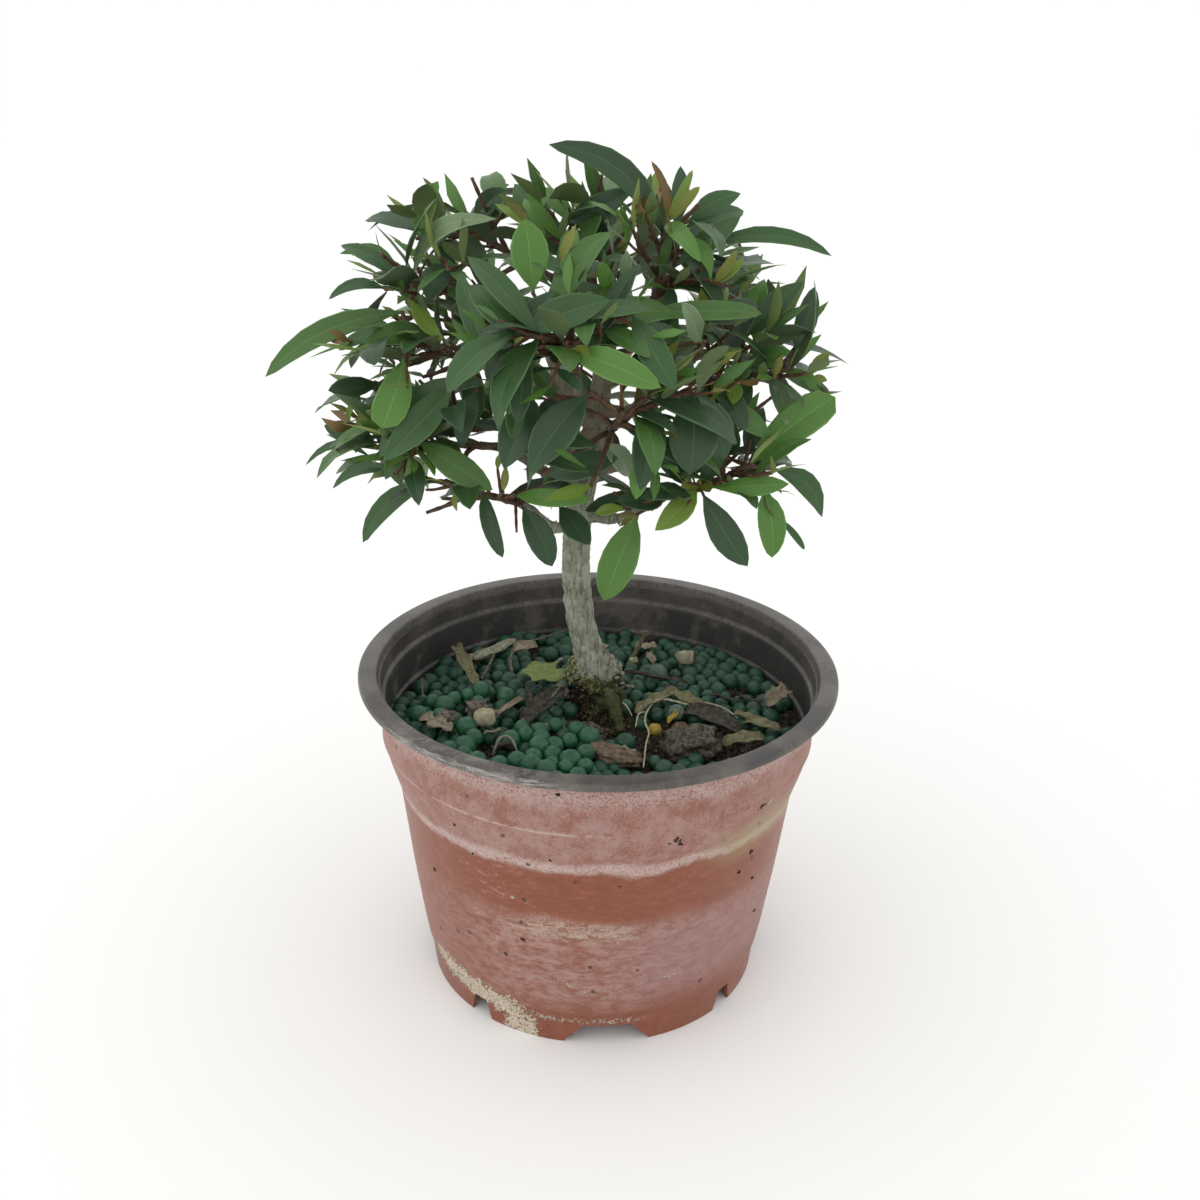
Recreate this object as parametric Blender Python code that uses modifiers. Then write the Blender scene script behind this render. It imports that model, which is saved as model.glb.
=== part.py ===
"""Eugenia bonsai in a round nursery pot.

The pot is a turned plastic shell, filled with potting mix that carries a mound. The trunk stands on the
mound, boughs leave it at named heights, and each bough's tip carries one mass of twigs and opposite
leaves. Every mass grows by the same seeded rule and keeps to its own space in the crown.

Metres, +Z up, origin at the centre of the pot's underside, -Y towards the front.
"""

import math
import random
from dataclasses import dataclass

import bmesh
import bpy
from mathutils import Vector
from mathutils.bvhtree import BVHTree
from mathutils.kdtree import KDTree

MM = 0.001
UP = Vector((0.0, 0.0, 1.0))
CLEARANCE = 0.3 * MM  # between pieces that meet
POT_AXIS = 10.0 * MM  # the pot's axis along X: the origin is under the middle of the whole plant

# ---- Pot -------------------------------------------------------------------------------------------
POT_HEIGHT = 105.0 * MM
RIM_RADIUS = 75.0 * MM
RIM_THICKNESS = 2.6 * MM
RIM_BORE = 69.3 * MM
FOOT_RADIUS = 54.0 * MM
WALL = 1.4 * MM
COLLAR_RADIUS = 68.0 * MM
COLLAR_BOTTOM = 84.2 * MM
WAIST_RADIUS = 63.4 * MM
WAIST_HEIGHT = 68.5 * MM
FOOT_SEAM = 11.6 * MM
FLOOR_UNDERSIDE = 8.2 * MM
LEDGE_HEIGHT = 86.6 * MM
DRAIN_RADIUS = 8.0 * MM
DRAIN_SLOTS = 8
DRAIN_SLOT_SIZE = Vector((7.0, 4.0, 6.0)) * MM
DRAIN_SLOT_CIRCLE = 44.0 * MM
POT_STEPS = 48
NOTCH_HEIGHT = 7.4 * MM
NOTCH_PAIRS = 4  # one wide and one narrow notch each
NOTCH_TURN = math.radians(5.3)
WIDE_NOTCH = (27.0 * MM, 15.0 * MM)  # width at the foot and at its top
NARROW_NOTCH = (8.5 * MM, 5.0 * MM)
RIB_SIZE = Vector((2.5, 5.0, 22.0)) * MM
RIB_HEIGHT = 41.0 * MM
RIB_TURN = math.radians(-92.0)
RIB_PROUD = 1.7 * MM

# ---- Potting mix -----------------------------------------------------------------------------------
SOIL_LEVEL = 82.4 * MM
MOUND_LEVEL = 86.0 * MM
MOUND_TOP = 24.0 * MM
MOUND_FOOT = 42.0 * MM

# ---- Trunk: place and radius at each height ----------------------------------------------------------
TRUNK_SIDES = 16
TRUNK_LINE = (
    # x, y, z, radius
    (0.0, 8.0, 86.3, 7.6),
    (-0.2, 8.0, 91.0, 6.3),
    (-1.4, 7.9, 98.0, 5.3),
    (-3.6, 7.5, 106.0, 4.75),
    (-6.2, 6.8, 118.0, 4.5),
    (-7.5, 6.0, 131.0, 4.4),
    (-7.6, 5.0, 144.0, 4.25),
    (-6.5, 3.0, 159.0, 4.2),
    (-4.1, 1.2, 173.0, 3.9),
    (-1.8, 0.2, 186.0, 3.5),
    (-0.9, 0.5, 199.0, 2.5),
    (-1.8, 1.0, 212.0, 1.5),
)
FLARE_TOP = 104.0 * MM
FLARE_LOBES = 5
FLARE_DEPTH = 0.24  # share of the radius at the ground
BURLS = (
    # turn about the trunk in degrees (0 is the front), height, how far it stands out, spread
    (-80.0, 97.0, 2.6, 3.2),
    (78.0, 99.0, 2.9, 3.6),
)

# ---- Boughs and masses -------------------------------------------------------------------------------
BOUGH_STEPS = 5
BOUGH_SIDES = 1  # the bevel's resolution: six sides
TWIG_SIDES = 3
STEM_RADII = (1.15 * MM, 0.75 * MM)  # at the root and at the tip
SHOOT_RADII = (0.8 * MM, 0.5 * MM)
CELL_MARGIN = 1.2 * MM  # between two masses
LIMB_MARGIN = 0.8 * MM
CROWN_CENTRE = Vector((-11.0, 0.0, 198.0)) * MM  # of the rounded room that holds every unmarked leaf
CROWN_REACH = Vector((78.0, 71.0, 60.0)) * MM
LEAF_THICKNESS = 0.034  # share of its length
LEAF_SPACING = 3.2 * MM  # between the midribs of neighbouring leaves
LEAF_TRIES = 9
SPINE = (0.4, 0.6, 0.8, 1.0)  # places along a midrib
BARE_STALK = 0.14  # share of a leaf that may lie among other pieces
INTERNODE = 9.0 * MM
SESSILE = 4.5 * MM  # a marked leaf nearer than this to the main stem sits on it
GOLDEN = math.radians(137.508)


@dataclass(frozen=True)
class Bough:
    """A limb from the trunk to the foot of one mass, and the mass that it carries. Millimetres."""

    name: str
    height: float  # where it leaves the trunk
    tip: tuple
    reach: tuple  # where its mass's main stem ends
    shoots: int = 4
    seed: int = 1
    root_radius: float = 1.9
    tip_radius: float = 1.3
    shoot_length: float = 22.0
    leaf: float = 24.0


BOUGHS = (
    Bough("bottom_left", 150.0, (-24, -13, 162), (-45, -18, 170), 3, 11),
    Bough("bottom_right", 154.0, (17, -12, 164), (42, -20, 178), 2, 12),
    Bough("low_back", 161.0, (-2, 24, 169), (-6, 50, 172), 5, 13),
    Bough("low_left", 165.0, (-31, -10, 178), (-58, -13, 181), 3, 14),
    Bough("low_back_right", 167.0, (20, 16, 173), (42, 34, 172), 4, 15),
    Bough("low_back_left", 169.5, (-24, 17, 175), (-48, 36, 173), 4, 16),
    Bough("front_low", 172.0, (1, -19, 185), (5, -41, 198), 2, 17),
    Bough("left", 177.0, (-30, -6, 199), (-55, -13, 211), 3, 18),
    Bough("back_right", 180.0, (19, 20, 193), (45, 37, 205), 5, 19),
    Bough("front", 184.0, (-8, -20, 203), (-12, -45, 219), 3, 20),
    Bough("back_left", 183.5, (-22, 20, 195), (-50, 37, 205), 5, 21),
    Bough("right", 187.0, (21, -6, 197), (53, -6, 202), 4, 22),
    Bough("upper_left", 190.0, (-24, -5, 217), (-53, -8, 225), 3, 23),
    Bough("back", 193.0, (3, 22, 209), (5, 48, 224), 5, 24, 1.6),
    Bough("upper_right", 196.0, (12, -7, 211), (16, -11, 244), 4, 25, 1.6, 1.1),
    Bough("top_left", 200.5, (-16, 9, 223), (-40, 14, 237), 4, 26, 1.5, 1.1),
)
LEADER = Bough("top", 212.0, (-1.8, 1.0, 212.0), (-7, 5, 240), 4, 27, tip_radius=1.5)

# Leaves that mark the crown's outline and its face: the mass, then root, tip and width.
MARKED_LEAVES = (
    ("top", (-2, 3, 243), (-7, 1, 257), 5),
    ("top", (-12, 0, 240), (7, -4, 250), 9),
    ("upper_right", (13, -12, 238), (-16, -16, 262), 8),
    ("upper_right", (22, -6, 242), (36, -2, 249), 7),
    ("upper_right", (15, -14, 242), (24, -30, 235), 6),
    ("upper_right", (28, -8, 236), (61, -10, 234), 5),
    ("top_left", (-54, 4, 234), (-47, 2, 250), 6),
    ("top_left", (-38, 14, 237), (-18, 20, 246), 5),
    ("upper_left", (-59, -2, 228), (-75, 0, 230), 4),
    ("upper_left", (-54, -12, 220), (-44, -22, 211), 5),
    ("upper_left", (-53, -14, 227), (-29, -24, 244), 6),
    ("upper_left", (-63, 2, 220), (-80, 6, 216), 4),
    ("left", (-57, -8, 216), (-95, -14, 198), 7),
    ("left", (-54, -18, 213), (-74, -14, 206), 6),
    ("left", (-54, -28, 208), (-59, -38, 191), 11),
    ("low_left", (-65, -10, 177), (-81, -6, 182), 8),
    ("low_left", (-68, -6, 172), (-89, 2, 167), 3),
    ("low_left", (-41, -30, 201), (-59, -38, 182), 10),
    ("low_left", (-51, -30, 186), (-30, -34, 173), 9),
    ("low_left", (-60, -10, 169), (-80, -4, 162), 4),
    ("bottom_left", (-50, -16, 169), (-70, -14, 149), 6),
    ("bottom_left", (-34, -20, 168), (-28, -26, 150), 6),
    ("bottom_left", (-23, -18, 163), (-14, -22, 146), 9),
    ("bottom_left", (-24, -26, 169), (-3, -34, 171), 6),
    ("bottom_right", (10, -18, 161), (1, -25, 137), 12),
    ("bottom_right", (27, -22, 171), (15, -28, 160), 8),
    ("bottom_right", (28, -22, 170), (42, -26, 149), 10),
    ("bottom_right", (46, -20, 170), (49, -24, 151), 9),
    ("bottom_right", (48, -16, 175), (64, -14, 160), 6),
    ("bottom_right", (44, -20, 181), (64, -18, 197), 12),
    ("right", (39, -8, 211), (55, -4, 226), 8),
    ("right", (54, -2, 205), (59, 4, 223), 7),
    ("right", (32, -20, 202), (39, -28, 190), 8),
    ("front", (-19, -38, 228), (-21, -36, 246), 11),
    ("front", (-21, -44, 220), (1, -46, 228), 10),
    ("front", (-32, -42, 212), (-13, -40, 229), 8),
    ("front", (7, -40, 224), (18, -48, 206), 9),
    ("front", (-9, -50, 216), (14, -58, 209), 9),
    ("front", (-24, -46, 214), (-24, -54, 200), 8),
    ("front_low", (-4, -44, 204), (-19, -54, 185), 12),
    ("front_low", (-20, -36, 203), (-26, -46, 183), 11),
    ("front_low", (23, -34, 203), (23, -44, 182), 15),
    ("front_low", (13, -36, 199), (10, -46, 178), 10),
)

# ---- Colours: linear base colour, roughness ------------------------------------------------------------
FINISHES = {
    "terracotta_plastic": ((0.38, 0.115, 0.07), 0.55),
    "potting_mix": ((0.035, 0.05, 0.035), 0.9),
    "bark": ((0.28, 0.26, 0.21), 0.85),
    "leaf": ((0.045, 0.13, 0.04), 0.45),
}


# ---- Small helpers -------------------------------------------------------------------------------------
def clear_scene():
    for obj in list(bpy.data.objects):
        bpy.data.objects.remove(obj, do_unlink=True)


def material(name):
    """The part's material of that name, made on its first use."""
    found = bpy.data.materials.get(name)
    if found:
        return found
    colour, roughness = FINISHES[name]
    made = bpy.data.materials.new(name)
    made.use_nodes = True
    shader = made.node_tree.nodes["Principled BSDF"]
    shader.inputs["Base Color"].default_value = (*colour, 1.0)
    shader.inputs["Roughness"].default_value = roughness
    return made


def new_collection(name):
    made = bpy.data.collections.new(name)
    bpy.context.scene.collection.children.link(made)
    return made


def add_object(name, data, collection, finish=None):
    obj = bpy.data.objects.new(name, data)
    collection.objects.link(obj)
    if finish:
        data.materials.append(material(finish))
    return obj


def mesh_from(name, points, faces):
    mesh = bpy.data.meshes.new(name)
    mesh.from_pydata([tuple(p) for p in points], [], faces)
    return mesh


def bezier(a, b, c, d, steps):
    """Points on a cubic curve from a to d."""
    line = []
    for i in range(steps + 1):
        t = i / steps
        s = 1 - t
        line.append(a * s**3 + b * (3 * s * s * t) + c * (3 * s * t * t) + d * t**3)
    return line


def along(line, share):
    """The place and direction at a share of the way along a line of points."""
    spot = min(max(share, 0.0), 1.0) * (len(line) - 1)
    i = min(int(spot), len(line) - 2)
    return line[i].lerp(line[i + 1], spot - i), (line[i + 1] - line[i]).normalized()


def side_of(direction, towards=UP):
    """A unit vector square to direction, and as near to towards as that allows."""
    flat = towards.normalized()
    flat -= direction * flat.dot(direction)
    if flat.length < 0.05:
        flat = Vector((0.0, -1.0, 0.0)) + direction * direction.y
    return flat.normalized()


# ---- Pot and potting mix -------------------------------------------------------------------------------
def lathe(name, profile, collection, finish, steps=POT_STEPS):
    """Turns a closed (radius, height) profile about Z. It runs down the outer side."""
    mesh = bpy.data.meshes.new(name)
    count = len(profile)
    rim = [(i, (i + 1) % count) for i in range(count)]
    mesh.from_pydata([(r, 0.0, z) for r, z in profile], rim, [])
    obj = add_object(name, mesh, collection, finish)
    screw = obj.modifiers.new("Turn", "SCREW")
    screw.steps = screw.render_steps = steps
    screw.use_merge_vertices = True
    screw.merge_threshold = 1e-6
    return obj


def wall_line():
    """The pot's outer (radius, height) line from the collar's lower edge down to the foot."""
    return [
        (COLLAR_RADIUS, COLLAR_BOTTOM),
        (COLLAR_RADIUS - 1.3 * MM, COLLAR_BOTTOM - 5.0 * MM),
        (WAIST_RADIUS + 1.4 * MM, WAIST_HEIGHT + 4.5 * MM),
        (WAIST_RADIUS, WAIST_HEIGHT),
        (FOOT_RADIUS + 1.9 * MM, FOOT_SEAM + 0.6 * MM),
        (FOOT_RADIUS + 1.1 * MM, FOOT_SEAM),
        (FOOT_RADIUS, 0.0),
    ]


def pot_profile():
    rim_under = POT_HEIGHT - RIM_THICKNESS
    round_off = 0.7 * MM
    outside = [
        (RIM_BORE, POT_HEIGHT),
        (RIM_RADIUS - round_off, POT_HEIGHT),
        (RIM_RADIUS, POT_HEIGHT - round_off),
        (RIM_RADIUS, rim_under),
        (COLLAR_RADIUS + 0.9 * MM, rim_under),
        *wall_line(),
    ]
    inside = [
        (FOOT_RADIUS - WALL, 0.0),
        (FOOT_RADIUS - WALL + 0.8 * MM, FLOOR_UNDERSIDE),
        (DRAIN_RADIUS, FLOOR_UNDERSIDE),
        (DRAIN_RADIUS, FLOOR_UNDERSIDE + WALL),
        (FOOT_RADIUS - WALL + 0.9 * MM, FLOOR_UNDERSIDE + WALL),
        (WAIST_RADIUS - WALL, WAIST_HEIGHT),
        (COLLAR_RADIUS - WALL - 1.3 * MM, COLLAR_BOTTOM - 5.0 * MM),
        (COLLAR_RADIUS - WALL - 1.1 * MM, LEDGE_HEIGHT - 0.6 * MM),
        (COLLAR_RADIUS - WALL, LEDGE_HEIGHT),
        (COLLAR_RADIUS - WALL + 0.2 * MM, 97.2 * MM),
        (RIM_BORE - 1.4 * MM, 97.8 * MM),
    ]
    return outside + inside


def wedge(name, width, top_width, height, collection):
    """A cutter with a trapezium face, which runs outwards through the foot at +X."""
    depth = (FOOT_RADIUS - 8 * MM, FOOT_RADIUS + 8 * MM)
    below = -2.0 * MM
    outline = [(-width / 2, below), (width / 2, below), (width / 2, 0.0)]
    outline += [(top_width / 2, height), (-top_width / 2, height), (-width / 2, 0.0)]
    points = [(x, y, z) for x in depth for y, z in outline]
    count = len(outline)
    faces = [list(range(count - 1, -1, -1)), list(range(count, 2 * count))]
    for i in range(count):
        j = (i + 1) % count
        faces.append([i, j, j + count, i + count])
    return add_object(name, mesh_from(name, points, faces), collection)


def box(name, size, collection):
    mesh = bpy.data.meshes.new(name)
    shape = bmesh.new()
    bmesh.ops.create_cube(shape, size=1.0)
    bmesh.ops.scale(shape, vec=size, verts=shape.verts)
    shape.to_mesh(mesh)
    shape.free()
    return add_object(name, mesh, collection)


def turned(obj, angle):
    """Turns obj about Z so that what lay towards +X lies at angle from the front, -Y."""
    obj.rotation_euler.z = angle - math.pi / 2
    return obj


def place_round(obj, radius, angle, height):
    """Puts obj on a circle about Z, its +X outwards, at angle from the front."""
    obj.location = (radius * math.sin(angle), -radius * math.cos(angle), height)
    return turned(obj, angle)


def helpers(collection):
    """Marks a collection's objects as cutters, which aren't part of the model."""
    for obj in collection.objects:
        obj.hide_render = True
        obj.display_type = "WIRE"


def add_boolean(obj, operation, collection, solver="EXACT"):
    cut = obj.modifiers.new(operation.title(), "BOOLEAN")
    cut.operation = operation
    cut.operand_type = "COLLECTION"
    cut.collection = collection
    cut.solver = solver
    return cut


def make_pot(collection):
    pot = lathe("pot", pot_profile(), collection, "terracotta_plastic")
    cutters = new_collection("pot_cutters")
    quarter = 2 * math.pi / NOTCH_PAIRS
    for i in range(NOTCH_PAIRS):
        wide = wedge(f"wide_notch_{i}", *WIDE_NOTCH, NOTCH_HEIGHT, cutters)
        turned(wide, NOTCH_TURN + i * quarter)
        narrow = wedge(f"narrow_notch_{i}", *NARROW_NOTCH, NOTCH_HEIGHT, cutters)
        turned(narrow, NOTCH_TURN + (i + 0.5) * quarter)
    for i in range(DRAIN_SLOTS):
        slot = box(f"drain_slot_{i}", DRAIN_SLOT_SIZE, cutters)
        angle = NOTCH_TURN + 2 * math.pi * i / DRAIN_SLOTS
        place_round(slot, DRAIN_SLOT_CIRCLE, angle, FLOOR_UNDERSIDE + WALL / 2)
    helpers(cutters)
    add_boolean(pot, "DIFFERENCE", cutters)
    ribs = new_collection("pot_ribs")
    rib = box("hanging_rib", RIB_SIZE, ribs)
    foot = FOOT_RADIUS + 1.9 * MM
    slope = (WAIST_RADIUS - foot) / (WAIST_HEIGHT - FOOT_SEAM)
    radius = foot + slope * (RIB_HEIGHT - FOOT_SEAM) + RIB_PROUD - RIB_SIZE.x / 2
    place_round(rib, radius, RIB_TURN, RIB_HEIGHT)
    rib.rotation_euler.y = math.atan(slope)
    helpers(ribs)
    add_boolean(pot, "UNION", ribs)
    return pot


def make_soil(collection):
    """The potting mix: it fills the pot to its level, just clear of the wall, with a low mound."""
    fit = CLEARANCE + 0.1 * MM
    bottom = FLOOR_UNDERSIDE + WALL + CLEARANCE
    top_radius = COLLAR_RADIUS - WALL - 1.3 * MM - fit
    profile = [
        (MOUND_TOP, MOUND_LEVEL),
        ((MOUND_TOP + MOUND_FOOT) / 2, (MOUND_LEVEL + SOIL_LEVEL) / 2 + 0.5 * MM),
        (MOUND_FOOT, SOIL_LEVEL),
        (top_radius, SOIL_LEVEL),
        (top_radius, COLLAR_BOTTOM - 5.0 * MM),
        (WAIST_RADIUS - WALL - fit, WAIST_HEIGHT),
        (FOOT_RADIUS - WALL + 0.9 * MM - fit, bottom),
        (DRAIN_RADIUS - fit, bottom),
    ]
    mesh = bpy.data.meshes.new("soil")
    mesh.from_pydata(
        [(0.0, 0.0, MOUND_LEVEL)] + [(r, 0.0, z) for r, z in profile] + [(0.0, 0.0, bottom)],
        [(i, i + 1) for i in range(len(profile) + 1)],
        [],
    )
    soil = add_object("soil", mesh, collection, "potting_mix")
    screw = soil.modifiers.new("Turn", "SCREW")
    screw.steps = screw.render_steps = POT_STEPS // 2
    screw.use_merge_vertices = True
    screw.merge_threshold = 1e-6
    return soil


# ---- Trunk and boughs ----------------------------------------------------------------------------------
def spline(rows, steps):
    """Catmull-Rom through rows of numbers, with steps from each row to the next."""
    line = []
    for i in range(len(rows) - 1):
        p = [Vector(rows[min(max(i + k, 0), len(rows) - 1)]) for k in (-1, 0, 1, 2)]
        for j in range(steps):
            t = j / steps
            line.append(
                0.5
                * (
                    2 * p[1]
                    + (p[2] - p[0]) * t
                    + (2 * p[0] - 5 * p[1] + 4 * p[2] - p[3]) * t**2
                    + (3 * p[1] - p[0] - 3 * p[2] + p[3]) * t**3
                )
            )
    return line + [Vector(rows[-1])]


def trunk_at(height):
    """The trunk's centre, direction and radius at a height, in metres."""
    rows = spline(TRUNK_LINE, 4)
    for low, high in zip(rows, rows[1:]):
        if high[2] * MM >= height:
            break
    share = (height / MM - low[2]) / (high[2] - low[2])
    here = low.lerp(high, share)
    direction = Vector(high[:3]) - Vector(low[:3])
    return Vector(here[:3]) * MM, direction.normalized(), here[3] * MM


def trunk_swell(angle, height, radius):
    """The radius that root lobes and burls give the trunk, at an angle from the front."""
    fall = max(0.0, (FLARE_TOP - height) / (FLARE_TOP - TRUNK_LINE[0][2] * MM))
    lobes = math.cos(FLARE_LOBES * angle + 0.6) + 0.4 * math.cos(3 * angle - 1.0)
    swollen = radius * (1 + FLARE_DEPTH * fall**2 * lobes)
    for turn, level, proud, spread in BURLS:
        away = math.remainder(angle - math.radians(turn), 2 * math.pi) * radius / MM
        gap = math.hypot(away, height / MM - level) / spread
        swollen += proud * MM * math.exp(-gap * gap)
    return swollen


def make_trunk(collection):
    rows = spline(TRUNK_LINE, 2)
    points = []
    for i, row in enumerate(rows):
        centre, radius = Vector(row[:3]) * MM, row[3] * MM
        before, after = rows[max(i - 1, 0)], rows[min(i + 1, len(rows) - 1)]
        axis = (Vector(after[:3]) - Vector(before[:3])).normalized() if i else UP
        front = side_of(axis, Vector((0.0, -1.0, 0.0)))
        right = front.cross(axis) * -1
        for k in range(TRUNK_SIDES):
            angle = 2 * math.pi * k / TRUNK_SIDES
            out = front * math.cos(angle) + right * math.sin(angle)
            points.append(centre + out * trunk_swell(angle, centre.z, radius))
    faces = tube_faces(len(rows), TRUNK_SIDES)
    trunk = add_object("trunk", mesh_from("trunk", points, faces), collection, "bark")
    trunk.data.shade_smooth()
    return trunk


def tube_faces(rings, sides):
    """Faces of a closed tube whose rings run the right-handed way about its direction."""
    faces = []
    for i in range(rings - 1):
        for k in range(sides):
            j = (k + 1) % sides
            faces.append(
                [i * sides + k, i * sides + j, (i + 1) * sides + j, (i + 1) * sides + k]
            )
    faces.append(list(range(sides - 1, -1, -1)))
    faces.append([(rings - 1) * sides + k for k in range(sides)])
    return faces


def bough_line(bough):
    """The bough's centre line: square out of the trunk, then up or down to its tip."""
    centre, axis, radius = trunk_at(bough.height * MM)
    tip = Vector(bough.tip) * MM
    out = side_of(axis, tip - centre)
    start = centre + out * (radius + 2 * CLEARANCE)
    length = (tip - start).length
    heading = (Vector(bough.reach) * MM - tip).normalized()
    return bezier(
        start, start + out * length * 0.4, tip - heading * length * 0.3, tip, BOUGH_STEPS
    )


def bough_radius(bough, share):
    """It swells a little at the root and tapers to its tip."""
    collar = 0.25 * max(0.0, 1 - share * 5)
    return (bough.root_radius * (1 - share) + bough.tip_radius * share) * (1 + collar) * MM


def make_bough(bough, collection):
    curve = bpy.data.curves.new(f"bough_{bough.name}", "CURVE")
    curve.dimensions = "3D"
    curve.bevel_depth = 1.0 * MM
    curve.bevel_resolution = BOUGH_SIDES
    curve.use_fill_caps = True
    line = bough_line(bough)
    path = curve.splines.new("POLY")
    path.points.add(len(line) - 1)
    for i, place in enumerate(line):
        path.points[i].co = (*place, 1.0)
        path.points[i].radius = bough_radius(bough, i / (len(line) - 1)) / MM
    return add_object(curve.name, curve, collection, "bark")


# ---- The growth rule -------------------------------------------------------------------------------------
@dataclass
class Twig:
    """One twig: its line of points and its radius at both ends."""

    line: list
    radii: tuple


@dataclass
class Leaf:
    """One leaf from its root, in the twig's middle, to its tip."""

    root: Vector
    tip: Vector
    normal: Vector
    width: float
    arch: float  # how far its middle rises over the chord, as a share of the length
    marked: bool = False

    @property
    def length(self):
        return (self.tip - self.root).length

    def point(self, share, across=0.0):
        """A place on the blade: share along it, and across it in half widths."""
        chord = self.tip - self.root
        side = chord.cross(self.normal).normalized()
        rise = 4 * self.arch * chord.length * share * (1 - share)
        fold = 0.08 * self.width * abs(across)
        return (
            self.root
            + chord * share
            + self.normal * (rise + fold)
            + side * across * self.width / 2
        )


def twig_parts(twig):
    """Points and faces of a tapering three-sided twig with flat ends."""
    points = []
    last = len(twig.line) - 1
    for i, place in enumerate(twig.line):
        way = twig.line[min(i + 1, last)] - twig.line[max(i - 1, 0)]
        way.normalize()
        across = side_of(way)
        over = way.cross(across)
        radius = twig.radii[0] + (twig.radii[1] - twig.radii[0]) * i / last
        for k in range(TWIG_SIDES):
            angle = 2 * math.pi * k / TWIG_SIDES
            points.append(place + (across * math.cos(angle) + over * math.sin(angle)) * radius)
    return points, tube_faces(len(twig.line), TWIG_SIDES)


def leaf_parts(leaf):
    """Points and faces of a thin pointed blade: twelve faces for a marked leaf, eight for another."""
    edge = [(0.5, -1.12), (1.0, 0.0), (0.5, 1.12)]
    if leaf.marked:
        edge = [(0.34, -0.95), (0.72, -0.82), (1.0, 0.0), (0.72, 0.82), (0.34, 0.95)]
    points = [leaf.root] + [leaf.point(share, across) for share, across in edge]
    middle = leaf.point(0.5)
    half = leaf.normal * leaf.length * LEAF_THICKNESS / 2
    points += [middle + half, middle - half]
    top, under = len(points) - 2, len(points) - 1
    faces = []
    for i in range(len(edge) + 1):
        j = (i + 1) % (len(edge) + 1)
        faces += [(i, top, j), (j, under, i)]
    return points, faces


def tree_of(parts):
    """A search tree of one or more (points, faces) parts."""
    points, faces = [], []
    for more, rings in parts:
        start = len(points)
        points += more
        faces += [[start + i for i in ring] for ring in rings]
    return BVHTree.FromPolygons(points, faces, epsilon=0.0)


class Space:
    """The room that each mass keeps to, and the limbs and other masses that no leaf may touch."""

    def __init__(self):
        rows = spline(TRUNK_LINE, 2)
        limbs = [Twig([Vector(r[:3]) * MM for r in rows], (5.2 * MM, 2.6 * MM))]
        for bough in BOUGHS:
            radii = (bough.root_radius * 1.2 * MM, bough.tip_radius * MM)
            limbs.append(Twig(bough_line(bough), radii))
        self.limbs = tree_of([hexagonal(limb) for limb in limbs])
        self.skeletons = {}
        self.solids = {}
        self.owners = []
        self.nearest = None

    def settle(self, name, twigs, leaves):
        """Books the room of a mass's twigs and marked leaves."""
        self.skeletons[name] = [p for twig in twigs for p in resample(twig.line, 2 * MM)]
        parts = [twig_parts(t) for t in twigs] + [leaf_parts(leaf) for leaf in leaves]
        self.solids[name] = tree_of(parts)

    def divide(self):
        """Shares the crown out: every place belongs to the mass whose twigs are nearest."""
        total = sum(len(points) for points in self.skeletons.values())
        self.nearest = KDTree(total)
        for name, points in self.skeletons.items():
            for place in points:
                self.nearest.insert(place, len(self.owners))
                self.owners.append(name)
        self.nearest.balance()

    def free(self, name, place):
        """True if the place is in the mass's own room, clear of every limb and of the pot."""
        offset = place - CROWN_CENTRE
        if sum((offset[i] / CROWN_REACH[i]) ** 2 for i in range(3)) > 1:
            return False
        if self.limbs.find_nearest(place, LIMB_MARGIN)[0] is not None:
            return False
        first = self.nearest.find(place)
        if self.owners[first[1]] != name:
            return False
        close = self.nearest.find_range(place, first[2] + 2 * CELL_MARGIN)
        if any(self.owners[index] != name for _, index, _ in close):
            return False
        return not any(
            tree.find_nearest(place, CELL_MARGIN)[0] is not None
            for other, tree in self.solids.items()
            if other != name
        )

    def crosses(self, name, parts):
        """True if the part cuts a limb or a piece of another mass."""
        tree = tree_of([parts])
        if tree.overlap(self.limbs):
            return True
        return any(
            tree.overlap(other) for owner, other in self.solids.items() if owner != name
        )


def hexagonal(limb):
    """Points and faces of a six-sided tube round a limb's line."""
    points = []
    last = len(limb.line) - 1
    for i, place in enumerate(limb.line):
        way = limb.line[min(i + 1, last)] - limb.line[max(i - 1, 0)]
        way.normalize()
        across = side_of(way)
        over = way.cross(across)
        radius = limb.radii[0] + (limb.radii[1] - limb.radii[0]) * i / last
        for k in range(6):
            angle = math.pi * k / 3
            points.append(place + (across * math.cos(angle) + over * math.sin(angle)) * radius)
    return points, tube_faces(len(limb.line), 6)


def resample(line, step):
    """Points along a line no further apart than step."""
    points = []
    for a, b in zip(line, line[1:]):
        count = max(1, math.ceil((b - a).length / step))
        points += [a.lerp(b, i / count) for i in range(count)]
    return points + [line[-1]]


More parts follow.
